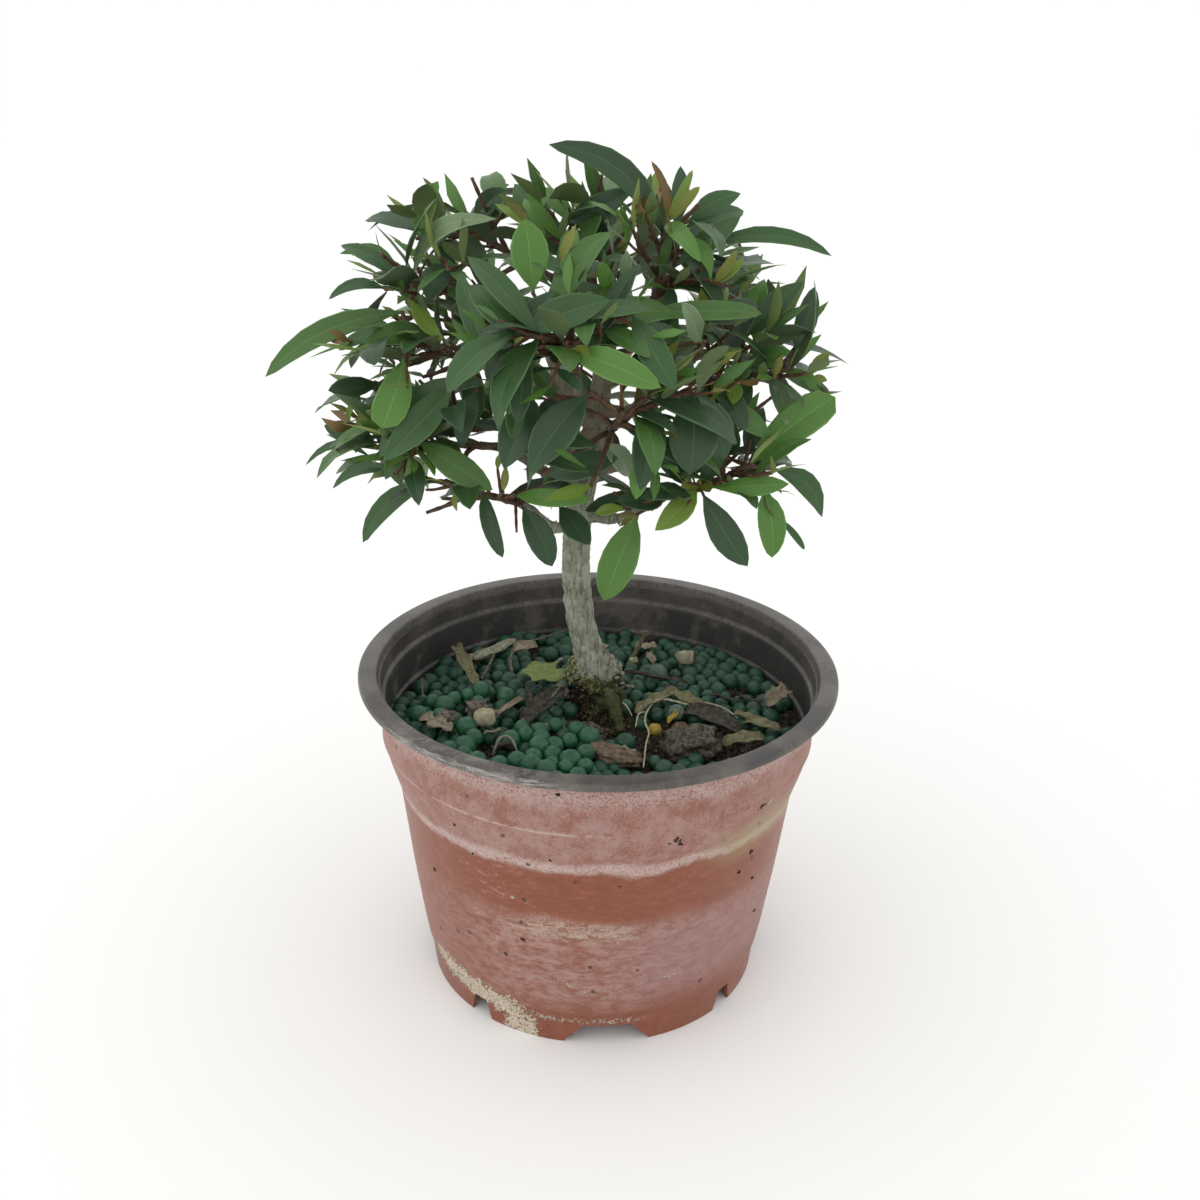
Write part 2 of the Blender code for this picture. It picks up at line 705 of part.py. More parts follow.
class Mass:
    """A mass as it grows: its name, its room and the pieces that it has so far."""

    def __init__(self, name, space, twigs, leaves):
        self.name = name
        self.space = space
        self.twigs = list(twigs)
        self.leaves = list(leaves)
        self.spines = [leaf.point(share) for leaf in leaves for share in SPINE]
        self.trees = [tree_of([twig_parts(t)]) for t in twigs]
        self.trees += [tree_of([leaf_parts(leaf)]) for leaf in leaves]

    def add_twig(self, line):
        """Adds a shoot if it keeps to the mass's room."""
        if not all(self.space.free(self.name, p) for p in resample(line[1:], 3 * MM)):
            return False
        self.twigs.append(Twig(line, SHOOT_RADII))
        self.trees.append(tree_of([twig_parts(self.twigs[-1])]))
        return True

    def add_leaf(self, leaf):
        """Adds a leaf if its blade keeps to the mass's room and cuts no other piece."""
        spine = [leaf.point(share) for share in SPINE]
        edge = [leaf.point(share, across) for share in (0.4, 0.75) for across in (-0.9, 0.9)]
        if any((a - b).length < LEAF_SPACING for a in spine for b in self.spines):
            return False
        if not all(self.space.free(self.name, place) for place in spine + edge):
            return False
        parts = leaf_parts(leaf)
        if self.space.crosses(self.name, parts):
            return False
        blade = Leaf(leaf.point(BARE_STALK), leaf.tip, leaf.normal, leaf.width, leaf.arch)
        outer = tree_of([leaf_parts(blade)])
        if any(outer.overlap(tree) for tree in self.trees):
            return False
        self.leaves.append(leaf)
        self.spines += spine
        self.trees.append(tree_of([parts]))
        return True


def grow_leaf(root, way, out, size, young, mass, rng):
    """Tries a few slightly different leaves at one place, and keeps the first that fits."""
    for attempt in range(LEAF_TRIES):
        swing = rng.uniform(-0.3, 0.3) * (1 + 0.4 * attempt)
        opening = math.radians(rng.uniform(22, 38) if young else rng.uniform(50, 74))
        side = (out + way.cross(out) * swing).normalized()
        aim = way * math.cos(opening) + side * math.sin(opening)
        aim = (aim - UP * (rng.uniform(-0.35, 0.0) if young else rng.uniform(0.0, 0.5))).normalized()
        outward = Vector((root.x, root.y, 0.0)).normalized()
        face = UP + outward * rng.uniform(0.1, 0.9) + side * rng.uniform(-0.4, 0.4)
        length = size * rng.uniform(0.85, 1.2) * (1 - 0.06 * attempt)
        width = length * (0.26 if young else rng.uniform(0.33, 0.42))
        arch = rng.uniform(0.0, 0.04) if young else rng.uniform(0.03, 0.12)
        if mass.add_leaf(Leaf(root, root + aim * length, side_of(aim, face), width, arch)):
            return


def grow_pairs(line, size, phase, ends, mass, rng):
    """Opposite leaves along a shoot, each pair square to the last; a young pair ends it."""
    length = sum((b - a).length for a, b in zip(line, line[1:]))
    nodes = max(2, round(length / INTERNODE))
    for k in range(1, nodes + 1):
        young = ends and k == nodes
        if k == nodes and not ends:
            break
        place, way = along(line, k / nodes * 0.97)
        across = side_of(way)
        turn = phase + k * math.pi / 2 + rng.uniform(-0.3, 0.3)
        out = across * math.cos(turn) + way.cross(across) * math.sin(turn)
        scale = 0.5 if young else 1.08 - 0.25 * k / nodes
        for sign in (1, -1):
            root = place + out * sign * 0.1 * MM
            grow_leaf(root, way, out * sign, size * scale, young, mass, rng)


def main_stem(bough):
    """The line of a mass's main stem, from just clear of its bough's tip."""
    tip, reach = Vector(bough.tip) * MM, Vector(bough.reach) * MM
    heading = LEADER_HEADING if bough is LEADER else (reach - tip).normalized()
    start = tip + heading * CLEARANCE
    length = (reach - start).length
    return bezier(
        start, start + heading * length * 0.4, reach - (heading + UP * 0.3) * length * 0.3, reach, 4
    )


def frame_mass(bough):
    """A mass's main stem with the twigs to its marked leaves, and those leaves."""
    stem = main_stem(bough)
    twigs, leaves = [Twig(stem, STEM_RADII)], []
    for name, root, tip, width in MARKED_LEAVES:
        if name != bough.name:
            continue
        root, tip = Vector(root) * MM, Vector(tip) * MM
        shares = [i / 40 for i in range(41)]
        near = min(shares, key=lambda share: (along(stem, share)[0] - root).length)
        away = (along(stem, near)[0] - root).length
        if away < SESSILE:
            root, _ = along(stem, min(near, 0.95))
        else:
            place, way = along(stem, max(0.05 + 0.035 * len(leaves), near - away / 60.0 / MM))
            span = (root - place).length
            line = bezier(place, place + way * span * 0.35, root.lerp(place, 0.35), root, 3)
            twigs.append(Twig(line, SHOOT_RADII))
            root, _ = along(line, 0.97)
        outward = Vector((root.x, root.y, 0.0)).normalized()
        normal = side_of((tip - root).normalized(), UP + outward * 0.9)
        leaves.append(Leaf(root, tip, normal, width * MM, 0.08, True))
    return twigs, leaves


def grow_mass(bough, mass):
    """Fills a mass's frame with leaf pairs, and adds shoots round its stem by the golden angle."""
    rng = random.Random(bough.seed)
    size = bough.leaf * MM
    turn = rng.uniform(0, 2 * math.pi)
    for twig in mass.twigs[1:]:
        turn += GOLDEN
        grow_pairs(twig.line, size, turn, False, mass, rng)
    stem = mass.twigs[0].line
    for k in range(bough.shoots):
        share = 0.2 + 0.75 * (k + 0.5) / bough.shoots
        place, way = along(stem, share)
        across = side_of(way)
        turn += GOLDEN
        for attempt in range(LEAF_TRIES):
            angle = turn + attempt * 1.1
            out = across * math.cos(angle) + way.cross(across) * math.sin(angle)
            opening = math.radians(66 - 26 * share + rng.uniform(-8, 8))
            aim = (way * math.cos(opening) + out * math.sin(opening) + UP * 0.15).normalized()
            grown = bough.shoot_length * MM * rng.uniform(0.8, 1.15) * (1 - 0.08 * attempt)
            end = place + aim * grown
            bent = end - (aim + UP * 0.3) * grown * 0.25
            line = bezier(place, place + aim * grown * 0.4, bent, end, 2)
            if mass.add_twig(line):
                grow_pairs(line, size, turn, True, mass, rng)
                break
    grow_pairs(stem[1:], size, turn, True, mass, rng)


def grow_crown():
    """Every mass with its twigs and leaves."""
    space = Space()
    frames = {bough.name: frame_mass(bough) for bough in all_masses()}
    for name, (twigs, leaves) in frames.items():
        space.settle(name, twigs, leaves)
    space.divide()
    crown = []
    for bough in all_masses():
        mass = Mass(bough.name, space, *frames[bough.name])
        grow_mass(bough, mass)
        parts = [twig_parts(t) for t in mass.twigs] + [leaf_parts(leaf) for leaf in mass.leaves]
        space.solids[mass.name] = tree_of(parts)
        crown.append(mass)
    return crown


# ---- Masses as solids ------------------------------------------------------------------------------------
def keep_largest_body(mesh):
    """Drops loose scraps and the walls of sealed hollows, and keeps the outer surface."""
    shape = bmesh.new()
    shape.from_mesh(mesh)
    left, bodies = set(shape.faces), []
    while left:
        front = [left.pop()]
        body = set(front)
        while front:
            for edge in front.pop().edges:
                for face in edge.link_faces:
                    if face in left:
                        left.remove(face)
                        body.add(face)
                        front.append(face)
        bodies.append(body)
    bodies.sort(key=len, reverse=True)
    for body in bodies[1:]:
        bmesh.ops.delete(shape, geom=list(body), context="FACES")
    shape.to_mesh(mesh)
    shape.free()


def make_mass(mass, collection):
    """Fuses a mass's twigs and leaves into one solid."""
    name = f"foliage_{mass.name}"
    parts = [twig_parts(t) for t in mass.twigs] + [leaf_parts(leaf) for leaf in mass.leaves]
    pieces = new_collection(f"{name}_pieces")
    for i, part in enumerate(parts[1:]):
        add_object(f"piece_{i}", mesh_from(f"piece_{i}", *part), pieces)
    stem = add_object(f"{name}_stem", mesh_from(f"{name}_stem", *parts[0]), collection)
    add_boolean(stem, "UNION", pieces, "MANIFOLD")
    bpy.context.view_layer.update()
    graph = bpy.context.evaluated_depsgraph_get()
    fused = bpy.data.meshes.new_from_object(stem.evaluated_get(graph))
    keep_largest_body(fused)
    for obj in [stem, *pieces.objects]:
        bpy.data.objects.remove(obj, do_unlink=True)
    bpy.data.collections.remove(pieces)
    return add_object(name, fused, collection, "leaf")


def all_masses():
    return (*BOUGHS, LEADER)


LEADER_HEADING = trunk_at(TRUNK_LINE[-1][2] * MM)[1]


def main():
    clear_scene()
    collection = new_collection("eugenia_bonsai")
    make_pot(collection)
    make_soil(collection)
    make_trunk(collection)
    for bough in BOUGHS:
        make_bough(bough, collection)
    crown = grow_crown()
    for mass in crown:
        make_mass(mass, collection)
    for obj in bpy.data.objects:
        obj.location.x += POT_AXIS
    print("leaves", sum(len(mass.leaves) for mass in crown))
    print({mass.name: (len(mass.twigs), len(mass.leaves)) for mass in crown})


main()
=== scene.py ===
"""Looks of a eugenia bonsai that grows in a round nursery pot.

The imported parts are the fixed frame. Each class below holds the sizes of one sub-assembly, builds its
meshes and dresses them: the pot in two colours of plastic, the potting mix with its beads and litter, the
bark over the trunk and boughs, and the twigs and leaves of the crown. The crown grows by the same seeded
rule as the solids and then goes on to finer twigs within the same reach.

Sizes are in millimetres unless a name says otherwise, about the pot's axis, with -Y towards the front.
"""

import logging
import math
import random
from dataclasses import dataclass, field
from enum import Enum
from typing import Iterable, Sequence, Union

import bmesh
import bpy
from mathutils import Matrix, Vector, noise
from mathutils.bvhtree import BVHTree
from mathutils.kdtree import KDTree


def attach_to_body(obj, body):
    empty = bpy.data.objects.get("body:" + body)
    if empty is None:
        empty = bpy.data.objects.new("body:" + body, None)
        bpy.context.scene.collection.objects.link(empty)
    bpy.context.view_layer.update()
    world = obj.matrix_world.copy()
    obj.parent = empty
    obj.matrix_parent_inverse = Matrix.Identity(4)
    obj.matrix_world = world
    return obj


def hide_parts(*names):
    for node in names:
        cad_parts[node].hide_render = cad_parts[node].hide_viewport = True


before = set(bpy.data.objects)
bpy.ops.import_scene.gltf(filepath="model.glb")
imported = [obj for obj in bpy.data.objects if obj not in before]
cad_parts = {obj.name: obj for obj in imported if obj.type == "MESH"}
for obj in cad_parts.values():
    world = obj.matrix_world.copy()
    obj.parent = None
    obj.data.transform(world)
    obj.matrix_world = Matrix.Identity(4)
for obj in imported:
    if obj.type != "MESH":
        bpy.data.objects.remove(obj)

log = logging.getLogger("bonsai")

MM = 0.001
UP = Vector((0.0, 0.0, 1.0))
FRONT = Vector((0.0, -1.0, 0.0))
POT_AXIS = Vector((10.0, 0.0, 0.0)) * MM
GOLDEN = math.radians(137.508)

Colour = tuple[float, float, float, float]
Feed = Union[float, Colour, bpy.types.NodeSocket]
Parts = tuple[list[Vector], list[Sequence[int]]]


def tint(red: float, green: float, blue: float) -> Colour:
    """A linear colour from display values.

    Args:
        red: Red, 0 to 255.
        green: Green, 0 to 255.
        blue: Blue, 0 to 255.

    Returns:
        The linear colour with full alpha.
    """
    linear = []
    for value in (red, green, blue):
        share = value / 255
        linear.append(share / 12.92 if share <= 0.04045 else ((share + 0.055) / 1.055) ** 2.4)
    return (*linear, 1.0)


@dataclass(frozen=True)
class Seen:
    """A point of the camera's frame, in pixels, and how far behind the pot's axis it lies, in millimetres."""

    column: int
    row: int
    depth: int = 0


@dataclass(frozen=True)
class Sight:
    """The camera as it was fitted to the pot's rim and foot. Millimetres about the pot's axis, degrees."""

    eye: tuple[float, float, float] = (0.0, -397.0996, 298.4473)
    pitch: float = 23.44347
    yaw: float = 0.01192
    roll: float = 1.26336
    focal: float = 1400.0  # in pixels
    half: float = 600.0  # half of the frame's side, in pixels

    def ray(self, seen: Seen) -> Vector:
        """The direction in which a point of the frame lies, not of unit length."""
        turn = Matrix.Rotation(math.radians(self.yaw), 3, "Z")
        turn = turn @ Matrix.Rotation(math.radians(90.0 - self.pitch), 3, "X")
        turn = turn @ Matrix.Rotation(math.radians(self.roll), 3, "Z")
        across, up = seen.column - self.half, self.half - seen.row
        return turn @ Vector((across / self.focal, up / self.focal, -1.0))

    def at_depth(self, seen: Seen) -> Vector:
        """The place that a point of the frame shows, to the nearest millimetre."""
        ray = self.ray(seen)
        place = Vector(self.eye) + ray * ((seen.depth - self.eye[1]) / ray.y)
        return Vector((round(place.x), seen.depth, round(place.z)))

    def on_round(self, seen: Seen, radius: float) -> Vector:
        """The place on the near side of an upright cylinder about the pot's axis, in millimetres.

        Args:
            seen: The point of the frame that shows it.
            radius: The cylinder's radius, in millimetres.

        Returns:
            The place.
        """
        eye, ray = Vector(self.eye), self.ray(seen)
        square, slope = ray.xy.length_squared, eye.xy.dot(ray.xy)
        room = slope**2 - square * (eye.xy.length_squared - radius**2)
        return eye - ray * ((slope + math.sqrt(room)) / square)


SIGHT = Sight()
Spot = Seen | tuple[int, int, int]


def place_of(spot: Spot) -> Vector:
    """The place of a leaf's end, in millimetres, from where it is seen or as it was set."""
    return SIGHT.at_depth(spot) if isinstance(spot, Seen) else Vector(spot)


# ---- Curves and tubes --------------------------------------------------------------------------------
def bezier(a: Vector, b: Vector, c: Vector, d: Vector, steps: int) -> list[Vector]:
    """Points on a cubic curve.

    Args:
        a: Its start.
        b: The handle of its start.
        c: The handle of its end.
        d: Its end.
        steps: How many stretches to make.

    Returns:
        The points, one more than the steps.
    """
    line = []
    for i in range(steps + 1):
        t = i / steps
        s = 1 - t
        line.append(a * s**3 + b * (3 * s * s * t) + c * (3 * s * t * t) + d * t**3)
    return line


def spline(rows: Sequence[Sequence[float]], steps: int) -> list[Vector]:
    """Catmull-Rom through rows of numbers.

    Args:
        rows: The rows to pass through.
        steps: The stretches from each row to the next.

    Returns:
        The rows in between, with the last one.
    """
    line = []
    for i in range(len(rows) - 1):
        p = [Vector(rows[min(max(i + k, 0), len(rows) - 1)]) for k in (-1, 0, 1, 2)]
        for j in range(steps):
            t = j / steps
            line.append(
                0.5
                * (
                    2 * p[1]
                    + (p[2] - p[0]) * t
                    + (2 * p[0] - 5 * p[1] + 4 * p[2] - p[3]) * t**2
                    + (3 * p[1] - p[0] - 3 * p[2] + p[3]) * t**3
                )
            )
    return line + [Vector(rows[-1])]


def along(line: Sequence[Vector], share: float) -> tuple[Vector, Vector]:
    """The place and direction at a share of the way along a line.

    Args:
        line: The line's points.
        share: How far along it, 0 to 1.

    Returns:
        The place and the unit direction there.
    """
    spot = min(max(share, 0.0), 1.0) * (len(line) - 1)
    i = min(int(spot), len(line) - 2)
    return line[i].lerp(line[i + 1], spot - i), (line[i + 1] - line[i]).normalized()


def side_of(direction: Vector, towards: Vector = UP) -> Vector:
    """A unit vector square to a direction.

    Args:
        direction: The unit direction.
        towards: What the result points to as nearly as it can.

    Returns:
        The unit vector.
    """
    flat = towards.normalized()
    flat -= direction * flat.dot(direction)
    if flat.length < 0.05:
        flat = Vector((0.0, -1.0, 0.0)) + direction * direction.y
    return flat.normalized()


def resample(line: Sequence[Vector], step: float) -> list[Vector]:
    """Points along a line no further apart than a step.

    Args:
        line: The line's points.
        step: The widest gap, in metres.

    Returns:
        The points, with both ends.
    """
    points = []
    for a, b in zip(line, line[1:]):
        count = max(1, math.ceil((b - a).length / step))
        points += [a.lerp(b, i / count) for i in range(count)]
    return points + [line[-1]]


def length_of(line: Sequence[Vector]) -> float:
    """The length of a line of points."""
    return sum((b - a).length for a, b in zip(line, line[1:]))


def tube_faces(rings: int, sides: int) -> list[Sequence[int]]:
    """Faces of a closed tube whose rings run the right-handed way about its direction.

    Args:
        rings: How many rings it has.
        sides: How many points each ring has.

    Returns:
        The faces, the two ends among them.
    """
    faces = []
    for i in range(rings - 1):
        for k in range(sides):
            j = (k + 1) % sides
            faces.append([i * sides + k, i * sides + j, (i + 1) * sides + j, (i + 1) * sides + k])
    faces.append(list(range(sides - 1, -1, -1)))
    faces.append([(rings - 1) * sides + k for k in range(sides)])
    return faces


def tube_parts(line: Sequence[Vector], radii: Sequence[float], sides: int) -> Parts:
    """Points and faces of a closed tube about a line.

    Args:
        line: The middle of each ring.
        radii: The radius of each ring.
        sides: The points of a ring.

    Returns:
        The points and the faces.
    """
    points = []
    last = len(line) - 1
    for i, place in enumerate(line):
        way = line[min(i + 1, last)] - line[max(i - 1, 0)]
        way.normalize()
        across = side_of(way)
        over = way.cross(across)
        for k in range(sides):
            angle = 2 * math.pi * k / sides
            points.append(place + (across * math.cos(angle) + over * math.sin(angle)) * radii[i])
    return points, tube_faces(len(line), sides)


def tree_of(parts: Iterable[Parts]) -> BVHTree:
    """A search tree of one or more parts.

    Args:
        parts: Points and faces of each part.

    Returns:
        The tree.
    """
    points, faces = [], []
    for more, rings in parts:
        start = len(points)
        points += more
        faces += [[start + i for i in ring] for ring in rings]
    return BVHTree.FromPolygons(points, faces, epsilon=0.0)


# ---- Pieces ------------------------------------------------------------------------------------------
class Slot(Enum):
    """The record's finish slots."""

    POT = "pot"
    SOIL = "soil"
    BARK = "bark"
    LEAF = "leaf"


@dataclass
class Shape:
    """Points and faces of a piece as it is put together, in metres about the pot's axis."""

    points: list[Vector] = field(default_factory=list)
    faces: list[list[int]] = field(default_factory=list)

    def add(self, points: Iterable[Vector], faces: Iterable[Sequence[int]]) -> None:
        """Adds a part.

        Args:
            points: Its points.
            faces: Its faces, counted from its own first point.
        """
        start = len(self.points)
        self.points.extend(points)
        self.faces.extend([start + i for i in face] for face in faces)

    def mesh(self, name: str) -> bpy.types.Mesh:
        """The gathered parts as a mesh."""
        mesh = bpy.data.meshes.new(name)
        mesh.from_pydata([tuple(p) for p in self.points], [], self.faces)
        return mesh


def crumb(shape: Shape, place: Vector, size: float, rng: random.Random) -> None:
    """Adds one crumb with ten flat sides.

    Args:
        shape: The shape that it joins.
        place: Its middle.
        size: Its rough radius.
        rng: Where its random turn and stretch come from.
    """
    turn = Matrix.Rotation(rng.uniform(0, math.tau), 3, (rng.random(), rng.random(), 1.0))
    stretch = [size * rng.uniform(0.6, 1.3) for _ in range(3)]
    belt = [(math.cos(k * math.tau / 5), math.sin(k * math.tau / 5), 0.2) for k in range(5)]
    corners = [(0.0, 0.0, 1.0), *belt, (0.0, 0.0, -1.0)]
    points = [place + turn @ Vector([c * k for c, k in zip(corner, stretch)]) for corner in corners]
    upper = [[0, k, k % 5 + 1] for k in range(1, 6)]
    lower = [[6, k % 5 + 1, k] for k in range(1, 6)]
    shape.add(points, upper + lower)


def put(name: str, mesh: bpy.types.Mesh) -> bpy.types.Object:
    """A new object in the scene that holds a mesh."""
    obj = bpy.data.objects.new(name, mesh)
    bpy.context.scene.collection.objects.link(obj)
    return obj


def applied(obj: bpy.types.Object) -> bpy.types.Mesh:
    """The object's mesh with its modifiers and place worked in. The object is removed.

    Args:
        obj: The object.

    Returns:
        The plain mesh.
    """
    bpy.context.view_layer.update()
    graph = bpy.context.evaluated_depsgraph_get()
    mesh = bpy.data.meshes.new_from_object(obj.evaluated_get(graph))
    mesh.transform(obj.matrix_world)
    bpy.data.objects.remove(obj, do_unlink=True)
    return mesh


def finish_piece(
    name: str,
    mesh: bpy.types.Mesh,
    material: bpy.types.Material,
    nodes: Iterable[str] = (),
    crease: float = 0.0,
) -> bpy.types.Object:
    """Places a finished mesh in the frame as one piece of the model.

    Args:
        name: The piece's name.
        mesh: Its mesh, about the pot's axis.
        material: Its only material.
        nodes: The CAD nodes that it stands for.
        crease: Edges sharper than this many degrees stay sharp. 0 keeps none.

    Returns:
        The piece.
    """
    mesh.transform(Matrix.Translation(POT_AXIS))
    mesh.materials.clear()
    mesh.materials.append(material)
    mesh.shade_smooth()
    if crease:
        mesh.set_sharp_from_angle(angle=math.radians(crease))
    piece = put(name, mesh)
    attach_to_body(piece, "root")
    if nodes:
        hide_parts(*nodes)
    count = sum(len(face.vertices) - 2 for face in mesh.polygons)
    log.info("%s: %d triangles, %s", name, count, material.name)
    return piece


# ---- Materials ---------------------------------------------------------------------------------------
class Graph:
    """A material's nodes, laid out by short calls. Places are in millimetres about the pot's axis."""

    def __init__(self, name: str) -> None:
        """Starts a material.

        Args:
            name: The material's name.
        """
        self.material = bpy.data.materials.new(name)
        self.material.use_nodes = True
        self.tree = self.material.node_tree
        self.shader = self.tree.nodes["Principled BSDF"]
        source = self.tree.nodes.new("ShaderNodeTexCoord")
        shift = tuple(-POT_AXIS / MM)
        self.place = self.scaled((1 / MM, 1 / MM, 1 / MM), source.outputs["Object"], shift)

    def feed(self, value: Feed, socket: bpy.types.NodeSocket) -> None:
        """Links a socket, or sets it to a plain value."""
        if isinstance(value, bpy.types.NodeSocket):
            self.tree.links.new(value, socket)
        else:
            socket.default_value = value

    def scaled(
        self,
        scale: tuple[float, float, float],
        place: bpy.types.NodeSocket | None = None,
        shift: tuple[float, float, float] = (0.0, 0.0, 0.0),
        turn: tuple[float, float, float] = (0.0, 0.0, 0.0),
    ) -> bpy.types.NodeSocket:
        """The place, stretched, turned and moved.

        Args:
            scale: The factor along each axis.
            place: What to stretch. The place in millimetres if it is left out.
            shift: What to add.
            turn: The turn about each axis, in degrees.

        Returns:
            The new place.
        """
        node = self.tree.nodes.new("ShaderNodeMapping")
        self.tree.links.new(place or self.place, node.inputs["Vector"])
        node.inputs["Scale"].default_value = scale
        node.inputs["Location"].default_value = shift
        node.inputs["Rotation"].default_value = [math.radians(angle) for angle in turn]
        return node.outputs["Vector"]

    def noise(
        self,
        scale: float,
        detail: float = 3.0,
        rough: float = 0.55,
        place: bpy.types.NodeSocket | None = None,
        warp: float = 0.0,
    ) -> bpy.types.NodeSocket:
        """Smooth noise from 0 to 1.

        Args:
            scale: Waves per millimetre.
            detail: How many finer layers it has.
            rough: How strong the finer layers are.
            place: Where to read it.
            warp: How far it is pulled about.

        Returns:
            The noise.
        """
        node = self.tree.nodes.new("ShaderNodeTexNoise")
        self.tree.links.new(place or self.place, node.inputs["Vector"])
        for name, value in (
            ("Scale", scale),
            ("Detail", detail),
            ("Roughness", rough),
            ("Distortion", warp),
        ):
            node.inputs[name].default_value = value
        return node.outputs["Fac"]

    def cells(self, scale: float, place: bpy.types.NodeSocket | None = None) -> bpy.types.NodeSocket:
        """The distance to the nearest of scattered points, in cells.

        Args:
            scale: Cells per millimetre.
            place: Where to read it.

        Returns:
            The distance.
        """
        node = self.tree.nodes.new("ShaderNodeTexVoronoi")
        self.tree.links.new(place or self.place, node.inputs["Vector"])
        node.inputs["Scale"].default_value = scale
        return node.outputs["Distance"]

    def calc(self, operation: str, a: Feed, b: Feed = 0.0) -> bpy.types.NodeSocket:
        """A sum on one or two numbers.

        Args:
            operation: The Math node's operation.
            a: The first number.
            b: The second number.

        Returns:
            The result.
        """
        node = self.tree.nodes.new("ShaderNodeMath")
        node.operation = operation
        self.feed(a, node.inputs[0])
        self.feed(b, node.inputs[1])
        return node.outputs["Value"]

    def add(self, a: Feed, b: Feed) -> bpy.types.NodeSocket:
        """The sum of two numbers."""
        return self.calc("ADD", a, b)

    def times(self, a: Feed, b: Feed) -> bpy.types.NodeSocket:
        """The product of two numbers."""
        return self.calc("MULTIPLY", a, b)

    def step(self, value: Feed, low: float, high: float) -> bpy.types.NodeSocket:
        """A smooth step.

        Args:
            value: What to read.
            low: Where the step is 0.
            high: Where it is 1. It may be under low, for a step down.

        Returns:
            The step, 0 to 1.
        """
        node = self.tree.nodes.new("ShaderNodeMapRange")
        node.interpolation_type = "SMOOTHSTEP"
        self.feed(value, node.inputs["Value"])
        node.inputs["From Min"].default_value = low
        node.inputs["From Max"].default_value = high
        return node.outputs["Result"]

    def band(self, value: Feed, low: float, high: float, soft: float) -> bpy.types.NodeSocket:
        """1 between two levels, with soft edges.

        Args:
            value: What to read.
            low: The lower level.
            high: The upper level.
            soft: The width of each edge.

        Returns:
            The band, 0 to 1.
        """
        rise = self.step(value, low - soft / 2, low + soft / 2)
        fall = self.step(value, high + soft / 2, high - soft / 2)
        return self.times(rise, fall)

    def mix(self, share: Feed, a: Feed, b: Feed) -> bpy.types.NodeSocket:
        """A colour between two.

        Args:
            share: 0 for the first colour, 1 for the second.
            a: The first colour.
            b: The second colour.

        Returns:
            The colour.
        """
        node = self.tree.nodes.new("ShaderNodeMix")
        node.data_type = "RGBA"
        for value, index in ((share, 0), (a, 6), (b, 7)):
            self.feed(value, node.inputs[index])
        return node.outputs[2]

    def axes(self) -> tuple[bpy.types.NodeSocket, bpy.types.NodeSocket, bpy.types.NodeSocket]:
        """The place's three numbers."""
        node = self.tree.nodes.new("ShaderNodeSeparateXYZ")
        self.tree.links.new(self.place, node.inputs["Vector"])
        return tuple(node.outputs)

    def turn(self) -> bpy.types.NodeSocket:
        """Degrees about the pot's axis: 0 at the front, and more towards +X."""
        x, y, _ = self.axes()
        return self.times(self.calc("ARCTAN2", x, self.times(y, -1.0)), math.degrees(1.0))

    def dress(
        self,
        colour: Feed,
        roughness: Feed,
        height: bpy.types.NodeSocket | None = None,
        depth: float = 0.2,
        **plain: float,
    ) -> bpy.types.Material:
        """Connects the shader.

        Args:
            colour: The base colour.
            roughness: The roughness.
            height: The relief, 0 to 1.
            depth: What 1 stands for, in millimetres.
            plain: Plain numbers for other sockets, by name with _ for each space.

        Returns:
            The finished material.
        """
        self.feed(colour, self.shader.inputs["Base Color"])
        self.feed(roughness, self.shader.inputs["Roughness"])
        for name, value in plain.items():
            self.shader.inputs[name.replace("_", " ")].default_value = value
        if height is not None:
            node = self.tree.nodes.new("ShaderNodeBump")
            node.inputs["Distance"].default_value = depth * MM
            self.tree.links.new(height, node.inputs["Height"])
            self.tree.links.new(node.outputs["Normal"], self.shader.inputs["Normal"])
        return self.material


